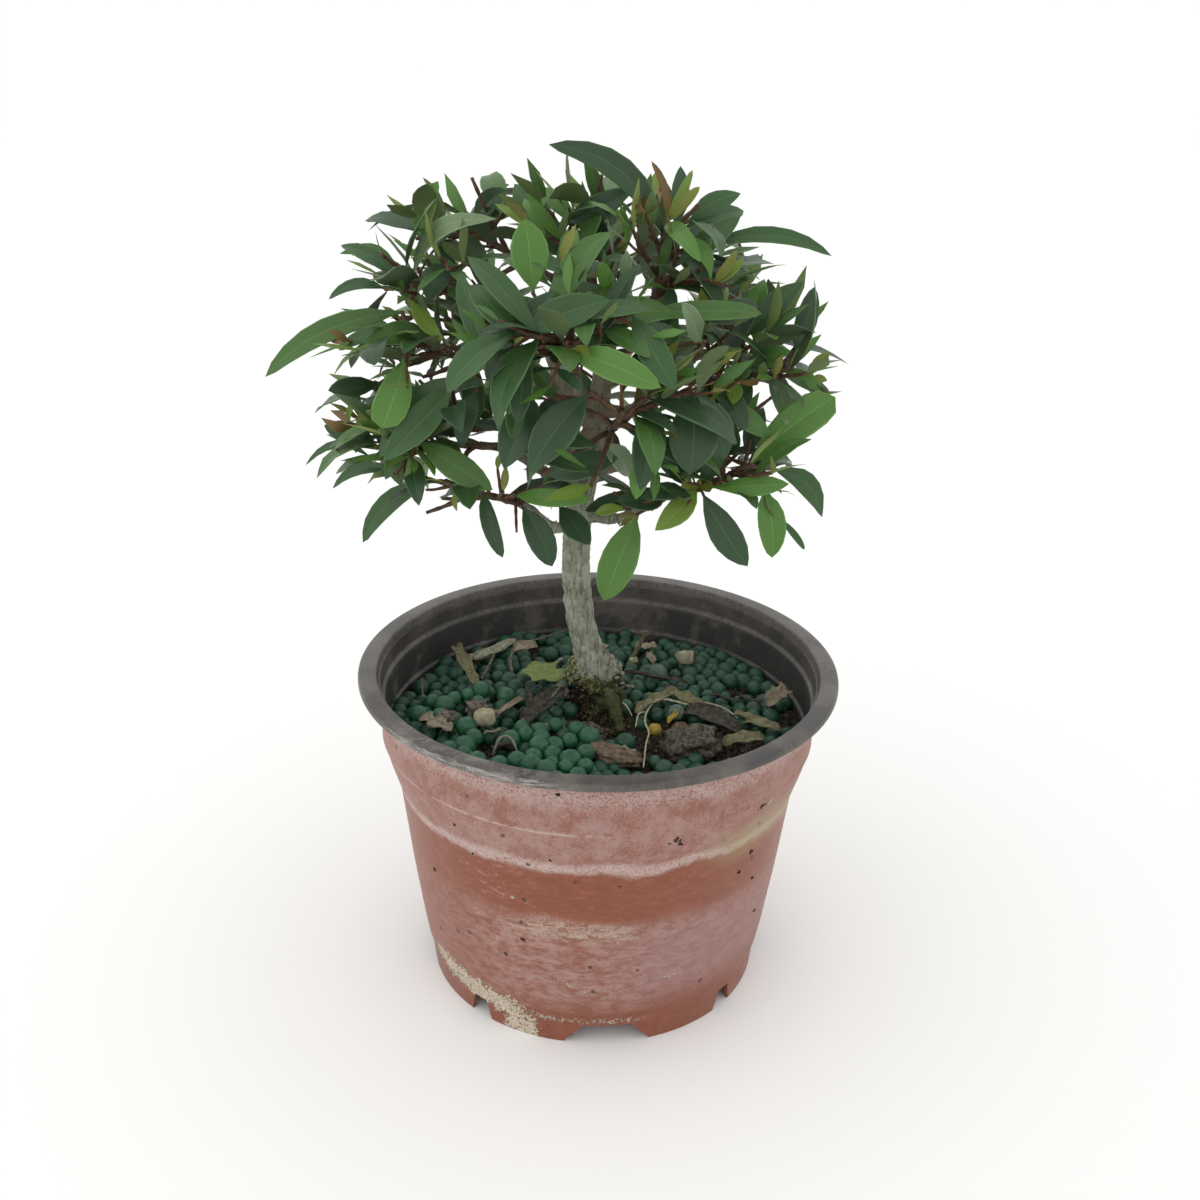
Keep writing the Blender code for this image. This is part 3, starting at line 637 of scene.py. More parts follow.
@dataclass(frozen=True)
class TerracottaFinish:
    """Terracotta plastic with lime film and crusts, and a painted highlight along the collar's ridge. Heights are
    millimetres, turns are degrees.
    """

    clean: Colour = tint(127, 69, 46)
    worn: Colour = tint(142, 84, 64)
    film: Colour = tint(172, 142, 136)
    # the paler film of the edges and specks, also the colour of the painted ridge highlight
    bright_film_and_highlight: Colour = tint(196, 176, 168)
    mauve: Colour = tint(150, 116, 116)
    chalk: Colour = tint(176, 160, 142)
    crust: Colour = tint(204, 192, 172)
    stain: Colour = tint(160, 148, 106)
    dirt: Colour = tint(56, 44, 38)
    film_foot: float = 68.5
    band_foot: float = 49.0
    ridge: float = 84.2

    def make(self) -> bpy.types.Material:
        """The finished material."""
        g = Graph("terracotta_plastic")
        _, _, level = g.axes()
        turn = g.turn()
        noises = (g.noise(0.05, 2), g.noise(0.28, 5, 0.65), g.noise(1.3, 4, 0.7), g.noise(4.5, 2, 0.7))
        wide, mid, fine, grain = noises
        swept = g.scaled((0.35, 0.35, 1.0), turn=(0.0, -24.0, 0.0))
        strokes = g.noise(0.55, 5, 0.7, swept, 0.8)
        wavy = g.add(level, g.times(g.add(wide, -0.5), 8.0))
        rough_edge = g.add(wavy, g.times(g.add(mid, -0.5), 3.0))

        colour = g.mix(
            g.step(g.add(g.times(strokes, 0.7), g.times(fine, 0.3)), 0.42, 0.66),
            self.clean,
            self.worn,
        )
        colour, collar = self.collar_film(g, colour, level, turn, rough_edge, mid, fine)
        colour, patch = self.low_film(g, colour, level, turn, rough_edge, strokes, mid, fine)
        flecks = g.times(g.step(g.noise(2.4, 3, 0.75), 0.60, 0.66), g.step(mid, 0.44, 0.56))
        flecks = g.calc("MAXIMUM", flecks, g.step(grain, 0.64, 0.72))
        speckle = g.times(flecks, g.step(g.add(collar, g.times(patch, 0.5)), 0.18, 0.5))
        colour = g.mix(g.times(speckle, 0.75), colour, self.bright_film_and_highlight)
        crust = self.crusts(g, level, turn, mid, fine)
        chalk = g.mix(g.step(fine, 0.42, 0.58), self.chalk, self.crust)
        colour = g.mix(crust, colour, chalk)

        mark = g.times(g.band(turn, 34.0, 82.0, 16.0), g.band(wavy, 66.0, 78.0, 8.0))
        colour = g.mix(g.times(mark, g.add(0.2, g.times(mid, 0.5))), colour, self.stain)
        spots = g.times(g.step(g.cells(0.10), 0.10, 0.07), g.step(fine, 0.42, 0.48))
        colour = g.mix(g.times(spots, 0.9), colour, self.dirt)
        height = g.add(g.times(crust, 0.9), g.add(g.times(speckle, 0.3), g.times(fine, 0.22)))
        film = g.calc("MAXIMUM", g.calc("MAXIMUM", collar, patch), crust)
        rough = g.add(g.add(0.34, g.times(fine, 0.12)), g.times(film, 0.4))
        return g.dress(colour, rough, height, 0.22, Specular_IOR_Level=0.42)

    def collar_film(
        self,
        g: Graph,
        colour: Feed,
        level: Feed,
        turn: Feed,
        edge: Feed,
        mid: Feed,
        fine: Feed,
    ) -> tuple[bpy.types.NodeSocket, bpy.types.NodeSocket]:
        """The cloudy lime film on the collar, with its paler foot and upper edge, and a painted highlight along
        the ridge on the left and front.

        Args:
            g: The material's nodes.
            colour: The colour under the film.
            level: The height.
            turn: The turn about the axis.
            edge: The height with a ragged shift.
            mid: Noise of a few millimetres.
            fine: Noise under a millimetre.

        Returns:
            The colour and the film's strength, the painted ridge highlight included.
        """
        area = g.step(edge, self.film_foot - 1.0, self.film_foot + 1.6)
        cloudy = g.step(g.add(g.times(mid, 0.55), g.times(fine, 0.45)), 0.36, 0.64)
        right = g.band(turn, 50.0, 130.0, 45.0)
        blotchy = g.step(g.add(g.times(g.noise(0.13, 5, 0.7), 0.7), g.times(fine, 0.3)), 0.42, 0.58)
        film = g.times(area, g.add(0.14, g.add(g.times(cloudy, 0.24), g.times(blotchy, 0.40))))
        film = g.times(film, g.add(1.0, g.times(right, -0.25)))
        foot = g.times(g.band(edge, self.film_foot, self.film_foot + 3.5, 2.6), g.step(fine, 0.30, 0.56))
        # painted highlight: a pale line along the collar's ridge, on the left and front only
        ridge = g.times(g.band(level, self.ridge - 0.4, self.ridge + 0.5, 0.8), g.step(mid, 0.36, 0.52))
        ridge = g.times(ridge, g.band(turn, -140.0, 2.0, 22.0))
        top = g.times(g.step(g.add(level, g.times(mid, 6.0)), 94.0, 100.0), g.step(fine, 0.34, 0.60))
        lines = g.calc(
            "MAXIMUM",
            g.times(foot, 0.75),
            g.calc("MAXIMUM", g.times(ridge, 0.7), g.times(top, 0.62)),
        )
        colour = g.mix(film, colour, self.film)
        # pale lines: the film's foot and upper edge, and the painted ridge highlight
        colour = g.mix(lines, colour, self.bright_film_and_highlight)
        return colour, g.calc("MAXIMUM", film, lines)

    def low_film(
        self,
        g: Graph,
        colour: Feed,
        level: Feed,
        turn: Feed,
        edge: Feed,
        strokes: Feed,
        mid: Feed,
        fine: Feed,
    ) -> tuple[bpy.types.NodeSocket, bpy.types.NodeSocket]:
        """The brushed film under the clean band: chalky at its top, mauve to the right, thin to the left.

        Args:
            g: The material's nodes.
            colour: The colour under the film.
            level: The height.
            turn: The turn about the axis.
            edge: The height with a ragged shift.
            strokes: Noise in slanting strokes.
            mid: Noise of a few millimetres.
            fine: Noise under a millimetre.

        Returns:
            The colour and the film's strength.
        """
        below = g.step(
            g.add(edge, g.times(g.add(strokes, -0.5), 12.0)),
            self.band_foot + 4.0,
            self.band_foot - 3.0,
        )
        lean = g.calc("SINE", g.times(g.add(turn, 10.0), math.radians(1.0)))
        foot = g.step(g.add(edge, g.times(lean, -5.7)), 9.0, 22.0)
        streaky = g.step(g.add(g.times(strokes, 0.65), g.times(mid, 0.35)), 0.38, 0.62)
        left = g.band(turn, -130.0, -32.0, 22.0)
        patch = g.times(g.times(below, foot), g.add(0.12, g.times(streaky, 0.62)))
        patch = g.times(patch, g.add(1.0, g.times(left, -0.50)))
        colour = g.mix(patch, colour, self.film)
        right = g.times(g.band(turn, 12.0, 66.0, 24.0), g.band(level, 18.0, 46.0, 14.0))
        colour = g.mix(g.times(right, g.add(0.2, g.times(mid, 0.5))), colour, self.mauve)
        chalk = g.times(
            g.band(edge, self.band_foot - 6.0, self.band_foot + 1.0, 4.0),
            g.band(turn, -22.0, 12.0, 14.0),
        )
        chalk = g.times(chalk, g.step(g.add(g.times(strokes, 0.5), g.times(fine, 0.5)), 0.44, 0.58))
        colour = g.mix(g.times(chalk, 0.85), colour, self.chalk)
        scuff = g.times(g.band(turn, -40.0, -18.0, 14.0), g.band(level, 36.0, 66.0, 14.0))
        scuff = g.times(scuff, g.step(g.add(g.times(strokes, 0.6), g.times(fine, 0.4)), 0.54, 0.64))
        colour = g.mix(g.times(scuff, 0.6), colour, self.chalk)
        return colour, g.calc("MAXIMUM", patch, chalk)

    def crusts(self, g: Graph, level: Feed, turn: Feed, mid: Feed, fine: Feed) -> bpy.types.NodeSocket:
        """Flaky lime at the foot on the left, a thin tide line at the front and a seam under it.

        Args:
            g: The material's nodes.
            level: The height.
            turn: The turn about the axis.
            mid: Noise of a few millimetres.
            fine: Noise under a millimetre.

        Returns:
            Where it lies, 0 to 1.
        """
        flake = g.noise(0.8, 5, 0.75)
        ragged = g.add(g.times(g.add(flake, -0.5), 3.2), g.times(g.add(fine, -0.5), 1.6))
        shift = g.add(level, g.times(g.add(mid, -0.5), 9.0))
        slope = g.add(g.times(g.add(turn, 36.0), -0.10), 10.5)
        near = g.calc("ABSOLUTE", g.calc("SUBTRACT", shift, slope))
        heavy = g.times(g.step(near, 8.0, 1.0), g.band(turn, -63.0, -22.0, 12.0))
        heavy = g.times(g.step(g.add(heavy, ragged), 0.58, 0.66), g.step(heavy, 0.12, 0.3))
        drips = g.times(g.step(level, 15.0, 3.0), g.band(turn, -30.0, -17.0, 7.0))
        drips = g.times(g.step(g.add(drips, ragged), 0.60, 0.70), g.step(drips, 0.12, 0.3))
        bow = g.calc("ABSOLUTE", g.add(turn, -4.0))
        tide = g.add(g.times(g.calc("MINIMUM", bow, 13.0), 0.50), 19.5)
        off = g.calc("ABSOLUTE", g.calc("SUBTRACT", g.add(level, g.times(g.add(mid, -0.5), 5.0)), tide))
        line = g.times(g.step(off, 0.8, 0.3), g.band(turn, -18.0, 27.0, 4.0))
        line = g.times(
            g.times(line, g.step(fine, 0.46, 0.58)),
            g.add(0.15, g.times(g.step(flake, 0.46, 0.58), 0.75)),
        )
        low = g.add(level, g.times(g.add(mid, -0.5), 4.0))
        seam = g.times(g.band(low, 8.2, 9.8, 1.0), g.band(turn, -24.0, 16.0, 6.0))
        seam = g.times(seam, g.step(g.add(g.times(flake, 0.5), g.times(fine, 0.5)), 0.46, 0.58))
        return g.calc("MAXIMUM", g.calc("MAXIMUM", heavy, drips), g.calc("MAXIMUM", line, seam))


@dataclass(frozen=True)
class RimFinish:
    """Dark recycled plastic with white scuffs, faint painted highlights along its inner ledges, and painted shade
    on its inner wall.
    """

    dark: Colour = tint(66, 63, 61)
    # wall: the darker grey of the inner wall, which is painted shade
    wall: Colour = tint(56, 54, 54)
    brown: Colour = tint(84, 78, 72)
    dust: Colour = tint(120, 115, 108)
    # scuff: the colour of scuffs and scratches, and of the painted ledge highlights
    scuff: Colour = tint(172, 166, 160)
    # the heights of the inner ledges, along which a highlight is painted
    ledges: tuple[float, float] = (86.4, 97.4)
    lip: float = 101.5
    rubbed: tuple[float, float] = (-52.0, -8.0)
    rubbed_level: tuple[float, float] = (102.6, 104.9)

    def make(self) -> bpy.types.Material:
        """The finished material."""
        g = Graph("dark_plastic")
        _, _, level = g.axes()
        turn = g.turn()
        wide, fine, grain = g.noise(0.07, 4, 0.6), g.noise(1.0, 4, 0.6), g.noise(4.0, 3, 0.7)
        colour = g.mix(g.step(wide, 0.38, 0.62), self.dark, self.brown)
        hazy = g.times(g.step(g.add(g.times(wide, 0.6), g.times(fine, 0.4)), 0.44, 0.66), 0.35)
        colour = g.mix(hazy, colour, self.dust)
        # painted shade: below the top ledge the inner wall takes the darker wall grey in broad patches
        colour = g.mix(g.times(g.step(level, 97.0, 95.0), g.step(wide, 0.62, 0.48)), colour, self.wall)
        side = g.calc("MAXIMUM", g.step(turn, -55.0, -95.0), g.step(turn, 48.0, 100.0))
        on_lip = g.step(level, self.lip, self.lip + 1.5)
        pale = g.times(g.times(side, on_lip), g.add(0.08, g.times(g.step(fine, 0.40, 0.62), 0.34)))
        colour = g.mix(pale, colour, self.dust)
        wear_and_ledge_highlight = g.times(g.step(grain, 0.68, 0.76), g.step(fine, 0.46, 0.62))
        # painted highlight: a faint pale line along each inner ledge, joined to the real scuffs and scratches
        for ledge in self.ledges:
            edge = g.band(level, ledge - 0.5, ledge + 0.3, 0.6)
            wear_and_ledge_highlight = g.calc("MAXIMUM", wear_and_ledge_highlight, g.times(edge, g.times(g.step(fine, 0.42, 0.62), 0.14)))
        scratches = g.step(
            g.add(g.times(g.noise(0.9, 4, 0.7, g.scaled((0.25, 0.25, 5.0))), 0.7), g.times(grain, 0.3)),
            0.48,
            0.54,
        )
        rubbed = g.times(g.band(turn, *self.rubbed, 18.0), g.band(level, *self.rubbed_level, 1.0))
        wear_and_ledge_highlight = g.calc("MAXIMUM", wear_and_ledge_highlight, g.times(scratches, rubbed))
        colour = g.mix(g.times(wear_and_ledge_highlight, 0.8), colour, self.scuff)
        height = g.add(g.times(fine, 0.7), g.times(grain, 0.3))
        return g.dress(colour, g.add(0.34, g.times(fine, 0.26)), height, 0.10, Specular_IOR_Level=0.5)


@dataclass(frozen=True)
class GroundFinish:
    """Damp potting mix: near black peat with paler fibres and a green tinge."""

    peat: Colour = tint(38, 32, 28)
    crumb: Colour = tint(72, 62, 52)
    fibre: Colour = tint(120, 104, 84)

    def make(self) -> bpy.types.Material:
        """The finished material."""
        g = Graph("potting_mix")
        mid, fine, grain = g.noise(0.5, 4, 0.65), g.noise(1.8, 4, 0.7), g.noise(6.0, 2, 0.7)
        colour = g.mix(g.step(mid, 0.40, 0.66), self.peat, self.crumb)
        colour = g.mix(g.times(g.step(grain, 0.66, 0.72), g.step(fine, 0.45, 0.6)), colour, self.fibre)
        colour = g.mix(g.times(g.step(g.noise(0.12, 2), 0.5, 0.7), 0.35), colour, tint(44, 60, 42))
        height = g.add(g.times(fine, 0.7), g.times(grain, 0.3))
        return g.dress(colour, g.add(0.72, g.times(fine, 0.25)), height, 0.5)


@dataclass(frozen=True)
class GrainFinish:
    """A mottled natural surface in two colours, for litter, chips, moss and beads."""

    name: str
    light: Colour
    dark: Colour
    scale: float = 0.8
    roughness: float = 0.7
    relief: float = 0.15
    gloss: float = 0.4

    def make(self) -> bpy.types.Material:
        """The finished material."""
        g = Graph(self.name)
        mid, fine = g.noise(self.scale, 4, 0.6), g.noise(self.scale * 5, 3, 0.65)
        share = g.step(g.add(g.times(mid, 0.6), g.times(fine, 0.4)), 0.38, 0.62)
        rough = g.add(self.roughness - 0.1, g.times(fine, 0.2))
        colour = g.mix(share, self.dark, self.light)
        return g.dress(colour, rough, fine, self.relief, Specular_IOR_Level=self.gloss)


@dataclass(frozen=True)
class BarkFinish:
    """Grey-green bark with lichen, brown in the furrows and on the upper boughs, mossy at the foot."""

    plate: Colour = tint(150, 152, 134)
    lichen: Colour = tint(172, 178, 160)
    furrow: Colour = tint(84, 74, 60)
    bough: Colour = tint(122, 112, 92)
    moss: Colour = tint(74, 84, 38)
    soaked: Colour = tint(44, 39, 31)

    def make(self) -> bpy.types.Material:
        """The finished material."""
        g = Graph("bark")
        x, _, level = g.axes()
        long = g.scaled((1.0, 1.0, 0.22))
        streak, mid, fine = g.noise(0.9, 4, 0.65, long, 0.3), g.noise(0.5, 3), g.noise(2.4, 4, 0.7)
        wood = g.mix(g.step(g.noise(0.22, 3, 0.6), 0.40, 0.60), self.plate, self.lichen)
        upper = g.step(g.add(level, g.times(mid, 16.0)), 160.0, 182.0)
        wood = g.mix(g.times(upper, 0.8), wood, self.bough)
        furrows = g.step(g.add(g.times(streak, 0.65), g.times(fine, 0.35)), 0.52, 0.40)
        colour = g.mix(g.times(furrows, 0.7), wood, self.furrow)
        colour = g.mix(g.times(g.step(fine, 0.60, 0.72), 0.4), colour, tint(196, 198, 180))
        edge = g.add(level, g.add(g.times(mid, 9.0), g.times(fine, 3.0)))
        colour = g.mix(g.times(g.step(edge, 104.0, 98.0), 0.9), colour, self.soaked)
        foot = g.times(g.step(edge, 108.0, 99.0), g.step(fine, 0.36, 0.56))
        colour = g.mix(g.times(foot, g.add(0.25, g.times(g.step(x, -1.0, 4.0), 0.55))), colour, self.moss)
        height = g.add(g.times(streak, 0.55), g.times(fine, 0.45))
        return g.dress(colour, g.add(0.74, g.times(fine, 0.2)), height, 0.45, Specular_IOR_Level=0.25)


@dataclass(frozen=True)
class LeafFinish:
    """One plain leaf colour with a waxy, faintly veined surface."""

    name: str
    colour: Colour
    roughness: float = 0.40

    def make(self) -> bpy.types.Material:
        """The finished material."""
        g = Graph(self.name)
        fine = g.noise(1.1, 3, 0.6)
        rough = g.add(self.roughness - 0.07, g.times(fine, 0.14))
        return g.dress(self.colour, rough, fine, 0.10, Specular_IOR_Level=0.36)


@dataclass(frozen=True)
class TwigFinish:
    """Young bark in two shades with fine rings."""

    name: str
    light: Colour
    dark: Colour

    def make(self) -> bpy.types.Material:
        """The finished material."""
        g = Graph(self.name)
        mid, fine = g.noise(0.35, 3), g.noise(2.2, 4, 0.65)
        share = g.step(g.add(g.times(mid, 0.5), g.times(fine, 0.5)), 0.40, 0.60)
        colour = g.mix(share, self.dark, self.light)
        return g.dress(colour, g.add(0.5, g.times(fine, 0.25)), fine, 0.2, Specular_IOR_Level=0.3)


class Tone(Enum):
    """The leaf colours: the blade's upper side, its underside and its rib and margin."""

    DARK = ("dark", tint(46, 72, 44), tint(86, 102, 72), tint(62, 90, 58))
    DEEP = ("deep", tint(53, 84, 44), tint(92, 110, 72), tint(70, 102, 58))
    MID = ("mid", tint(66, 100, 46), tint(104, 122, 76), tint(84, 118, 60))
    FRESH = ("fresh", tint(78, 118, 48), tint(114, 134, 80), tint(94, 134, 64))
    LIME = ("lime", tint(102, 128, 48), tint(128, 142, 78), tint(122, 146, 66))
    PALE = ("pale", tint(104, 126, 92), tint(114, 130, 98), tint(128, 148, 112))
    YOUNG = ("young", tint(112, 122, 50), tint(130, 128, 74), tint(132, 124, 62))
    BRONZE = ("bronze", tint(108, 86, 48), tint(120, 100, 62), tint(124, 90, 54))

    def finish(self, layer: int) -> LeafFinish:
        """The finish of one layer: 0 upper side, 1 underside, 2 rib and margin."""
        layers = ("upper", "under", "rib")
        rough = (0.40, 0.58, 0.48)[layer]
        return LeafFinish(f"leaf_{self.value[0]}_{layers[layer]}", self.value[layer + 1], rough)


# ---- Pot ---------------------------------------------------------------------------------------------
@dataclass
class Pot:
    """A two-colour moulded pot: terracotta outside, dark inside and over the rim."""

    steps: int = 160
    collar: float = 68.0
    collar_foot: float = 84.2
    rim: float = 75.0
    rim_under: float = 102.4
    height: float = 105.0
    bore: float = 69.3
    waist: tuple[float, float] = (63.4, 68.5)
    foot: float = 54.0
    seam: float = 11.6
    wall: float = 1.4
    floor: float = 8.2
    ledge: float = 86.6
    drain: float = 8.0
    notch_turn: float = 5.3
    notch_height: float = 7.4
    wide_notch: tuple[float, float] = (27.0, 15.0)
    narrow_notch: tuple[float, float] = (8.5, 5.0)
    slot_size: tuple[float, float, float] = (7.0, 4.0, 6.0)
    slot_circle: float = 44.0
    slots: int = 8
    rib_size: tuple[float, float, float] = (2.5, 5.0, 22.0)
    rib_height: float = 41.0
    rib_turn: float = -92.0
    rib_proud: float = 1.7

    def outer_line(self) -> list[tuple[float, float, float]]:
        """The outer wall from the collar's top to the foot: radius, height and rounding."""
        waist, waist_height = self.waist
        return [
            (self.collar + 0.9, self.rim_under, 0.0),
            (self.collar + 0.75, 98.2, 0.0),
            (self.collar + 0.55, 94.0, 2.0),
            (self.collar + 0.1, self.collar_foot + 0.9, 0.4),
            (self.collar + 0.28, self.collar_foot + 0.3, 0.2),
            (self.collar - 0.25, self.collar_foot - 0.5, 0.3),
            (self.collar - 1.3, self.collar_foot - 5.0, 2.0),
            (waist + 1.4, waist_height + 4.5, 2.0),
            (waist, waist_height, 2.5),
            (60.0, 40.0, 0.0),
            (57.2, 20.0, 0.0),
            (self.foot + 1.9, self.seam + 0.6, 0.4),
            (self.foot + 1.1, self.seam, 0.3),
            (self.foot, 0.0, 0.4),
        ]

    def inner_line(self) -> list[tuple[float, float, float]]:
        """The inner wall from the floor up to the rim: radius, height and rounding."""
        waist, waist_height = self.waist
        inside = self.collar - self.wall
        return [
            (self.foot - self.wall + 0.9, self.floor + self.wall, 0.8),
            (waist - self.wall, waist_height, 2.0),
            (inside - 1.3, self.collar_foot - 5.0, 1.0),
            (inside - 1.1, self.ledge - 0.6, 0.3),
            (inside - 0.1, self.ledge, 0.3),
            (inside + 0.2, 96.9, 0.4),
            (self.bore - 1.4, 97.6, 0.4),
            (self.bore, self.height, 0.6),
        ]

    def between(self, level: float) -> tuple[float, float, float]:
        """The seam between the two colours at a level, halfway through the wall."""
        line = sorted((z, r) for r, z, _ in self.outer_line())
        for (low, r0), (high, r1) in zip(line, line[1:]):
            if low <= level <= high:
                break
        share = (level - low) / max(high - low, 1e-6)
        return (r0 + (r1 - r0) * share - self.wall / 2, level, 0.0)

    @staticmethod
    def rounded(corners: Sequence[tuple[float, float, float]]) -> list[Vector]:
        """A closed profile with its corners rounded.

        Args:
            corners: Radius, height and rounding of each corner, in order.

        Returns:
            The profile's points, radius and height.
        """
        points = []
        count = len(corners)
        for i, (r, z, fillet) in enumerate(corners):
            here = Vector((r, z))
            before = Vector(corners[i - 1][:2]) - here
            after = Vector(corners[(i + 1) % count][:2]) - here
            cut = min(fillet, before.length * 0.45, after.length * 0.45)
            if cut < 0.05:
                points.append(here)
                continue
            a, b = here + before.normalized() * cut, here + after.normalized() * cut
            for t in (0.0, 0.33, 0.67, 1.0):
                points.append(a.lerp(here, t).lerp(here.lerp(b, t), t))
        return points

    def turned(self, name: str, corners: Sequence[tuple[float, float, float]]) -> bpy.types.Object:
        """A closed profile turned about the axis.

        Args:
            name: The object's name.
            corners: The profile's corners.

        Returns:
            The solid, ready for its cutters.
        """
        profile = self.rounded(corners)
        count = len(profile)
        points, faces = [], []
        for k in range(self.steps):
            angle = 2 * math.pi * k / self.steps
            points += [Vector((r * math.cos(angle), r * math.sin(angle), z)) * MM for r, z in profile]
            j = (k + 1) % self.steps
            for i in range(count):
                n = (i + 1) % count
                faces.append([k * count + i, k * count + n, j * count + n, j * count + i])
        shape = Shape()
        shape.add(points, faces)
        mesh = shape.mesh(name)
        made = bmesh.new()
        made.from_mesh(mesh)
        bmesh.ops.recalc_face_normals(made, faces=made.faces)
        made.to_mesh(mesh)
        made.free()
        return put(name, mesh)

    def notch(self, width: float, top: float, turn: float, seed: int) -> bpy.types.Object:
        """A cutter for one notch in the foot, with slightly worn edges.

        Args:
            width: The notch's width at the foot.
            top: Its width at the top.
            turn: Where it is, in degrees from the front.
            seed: For its worn edges.

        Returns:
            The cutter.
        """
        rng = random.Random(seed)
        outline = [(width / 2, -2.0), (width / 2, 0.0)]
        for i in range(1, 4):
            share = i / 4
            outline.append(
                (width / 2 + (top - width) / 2 * share + rng.uniform(-0.25, 0.25), self.notch_height * share)
            )
        for i in range(7):
            share = i / 6
            outline.append((top / 2 - top * share, self.notch_height + rng.uniform(-0.25, 0.15)))
        for i in range(3, 0, -1):
            share = i / 4
            outline.append(
                (-width / 2 - (top - width) / 2 * share + rng.uniform(-0.25, 0.25), self.notch_height * share)
            )
        outline += [(-width / 2, 0.0), (-width / 2, -2.0)]
        count = len(outline)
        points = [Vector((x, y, z)) * MM for x in (self.foot - 8, self.foot + 8) for y, z in outline]
        faces = [list(range(count - 1, -1, -1)), list(range(count, 2 * count))]
        faces += [[i, (i + 1) % count, (i + 1) % count + count, i + count] for i in range(count)]
        shape = Shape()
        shape.add(points, faces)
        cutter = put("notch_cutter", shape.mesh("notch_cutter"))
        cutter.rotation_euler.z = math.radians(turn - 90.0)
        return cutter

    def block(
        self, size: Sequence[float], radius: float, turn: float, level: float, lean: float = 0.0
    ) -> bpy.types.Object:
        """A rounded block on a circle about the axis.

        Args:
            size: Its size outwards, across and up.
            radius: The circle.
            turn: Degrees from the front.
            level: Its middle's height.
            lean: How far it leans out, in radians.

        Returns:
            The block.
        """
        made = bmesh.new()
        bmesh.ops.create_cube(made, size=1.0)
        bmesh.ops.scale(made, vec=Vector(size) * MM, verts=made.verts)
        bmesh.ops.bevel(made, geom=list(made.edges), offset=0.5 * MM, segments=2, affect="EDGES")
        mesh = bpy.data.meshes.new("block")
        made.to_mesh(mesh)
        made.free()
        obj = put("block", mesh)
        angle = math.radians(turn)
        obj.location = Vector((radius * math.sin(angle), -radius * math.cos(angle), level)) * MM
        obj.rotation_euler = (0.0, lean, angle - math.pi / 2)
        return obj

    def cut(
        self, shell: bpy.types.Object, cutters: Sequence[bpy.types.Object], operation: str
    ) -> bpy.types.Object:
        """Cuts or joins blocks into a shell.

        Args:
            shell: The shell.
            cutters: What is cut away or joined. They are removed.
            operation: DIFFERENCE or UNION.

        Returns:
            The new shell.
        """
        group = bpy.data.collections.new("cutters")
        bpy.context.scene.collection.children.link(group)
        for cutter in cutters:
            group.objects.link(cutter)
        edit = shell.modifiers.new("Cut", "BOOLEAN")
        edit.operation = operation
        edit.operand_type = "COLLECTION"
        edit.collection = group
        edit.solver = "EXACT"
        name = shell.name
        mesh = applied(shell)
        for cutter in list(cutters):
            bpy.data.objects.remove(cutter, do_unlink=True)
        bpy.data.collections.remove(group)
        return put(name, mesh)

    def openings(self) -> list[bpy.types.Object]:
        """Cutters for the notches in the foot and the drain slots in the floor."""
        cutters = []
        for i in range(4):
            turn = self.notch_turn + 90.0 * i
            cutters.append(self.notch(*self.wide_notch, turn, i))
            cutters.append(self.notch(*self.narrow_notch, turn + 45.0, i + 10))
        for i in range(self.slots):
            turn = self.notch_turn + 360.0 * i / self.slots
            cutters.append(self.block(self.slot_size, self.slot_circle, turn, self.floor + self.wall / 2))
        return cutters

    def make(self) -> None:
        """Builds and dresses both shells."""
        outer = self.outer_line()
        seams = [self.between(z) for z in (0.0, self.floor)]
        levels = (20.0, 40.0, self.waist[1], 73.0, 79.2, self.collar_foot, 94.0, self.rim_under)
        middle = [self.between(z) for z in levels]
        half_floor = self.floor + self.wall / 2
        under = [
            (self.foot - self.wall, 0.0, 0.2),
            (self.foot - self.wall + 0.8, self.floor, 0.4),
            (self.drain, self.floor, 0.0),
            (self.drain, half_floor, 0.0),
            (seams[1][0], half_floor, 0.0),
        ]
        outside = self.turned("pot_outside", [*outer, *under, *middle])
        tight = 0.04
        rim = [
            (self.rim - 0.1, self.height, 1.0),
            (self.rim, self.rim_under + 0.6, 0.5),
            (self.rim - 0.6, self.rim_under, 0.3),
            (self.collar + 0.9 - self.wall / 2, self.rim_under + tight, 0.0),
        ]
        down = [(r - tight, z, 0.0) for r, z, _ in reversed(middle[:-1])]
        base = [(seams[1][0] - tight, half_floor + tight, 0.0), (self.drain, half_floor + tight, 0.0)]
        floor = [(self.drain, self.floor + self.wall, 0.0)]
        inside = self.turned("pot_inside", [*rim, *down, *base, *floor, *self.inner_line()])
        outside = self.cut(outside, self.openings(), "DIFFERENCE")
        foot = self.foot + 1.9
        slope = (self.waist[0] - foot) / (self.waist[1] - self.seam)
        radius = foot + slope * (self.rib_height - self.seam) + self.rib_proud - self.rib_size[0] / 2
        rib = self.block(self.rib_size, radius, self.rib_turn, self.rib_height, math.atan(slope))
        outside = self.cut(outside, [rib], "UNION")
        inside = self.cut(inside, self.openings(), "DIFFERENCE")
        dress = ((outside, TerracottaFinish().make()), (inside, RimFinish().make()))
        for shell, material in dress:
            name, mesh = shell.name, shell.data
            bpy.data.objects.remove(shell, do_unlink=True)
            finish_piece(name, mesh, material, ("pot",), crease=38.0)


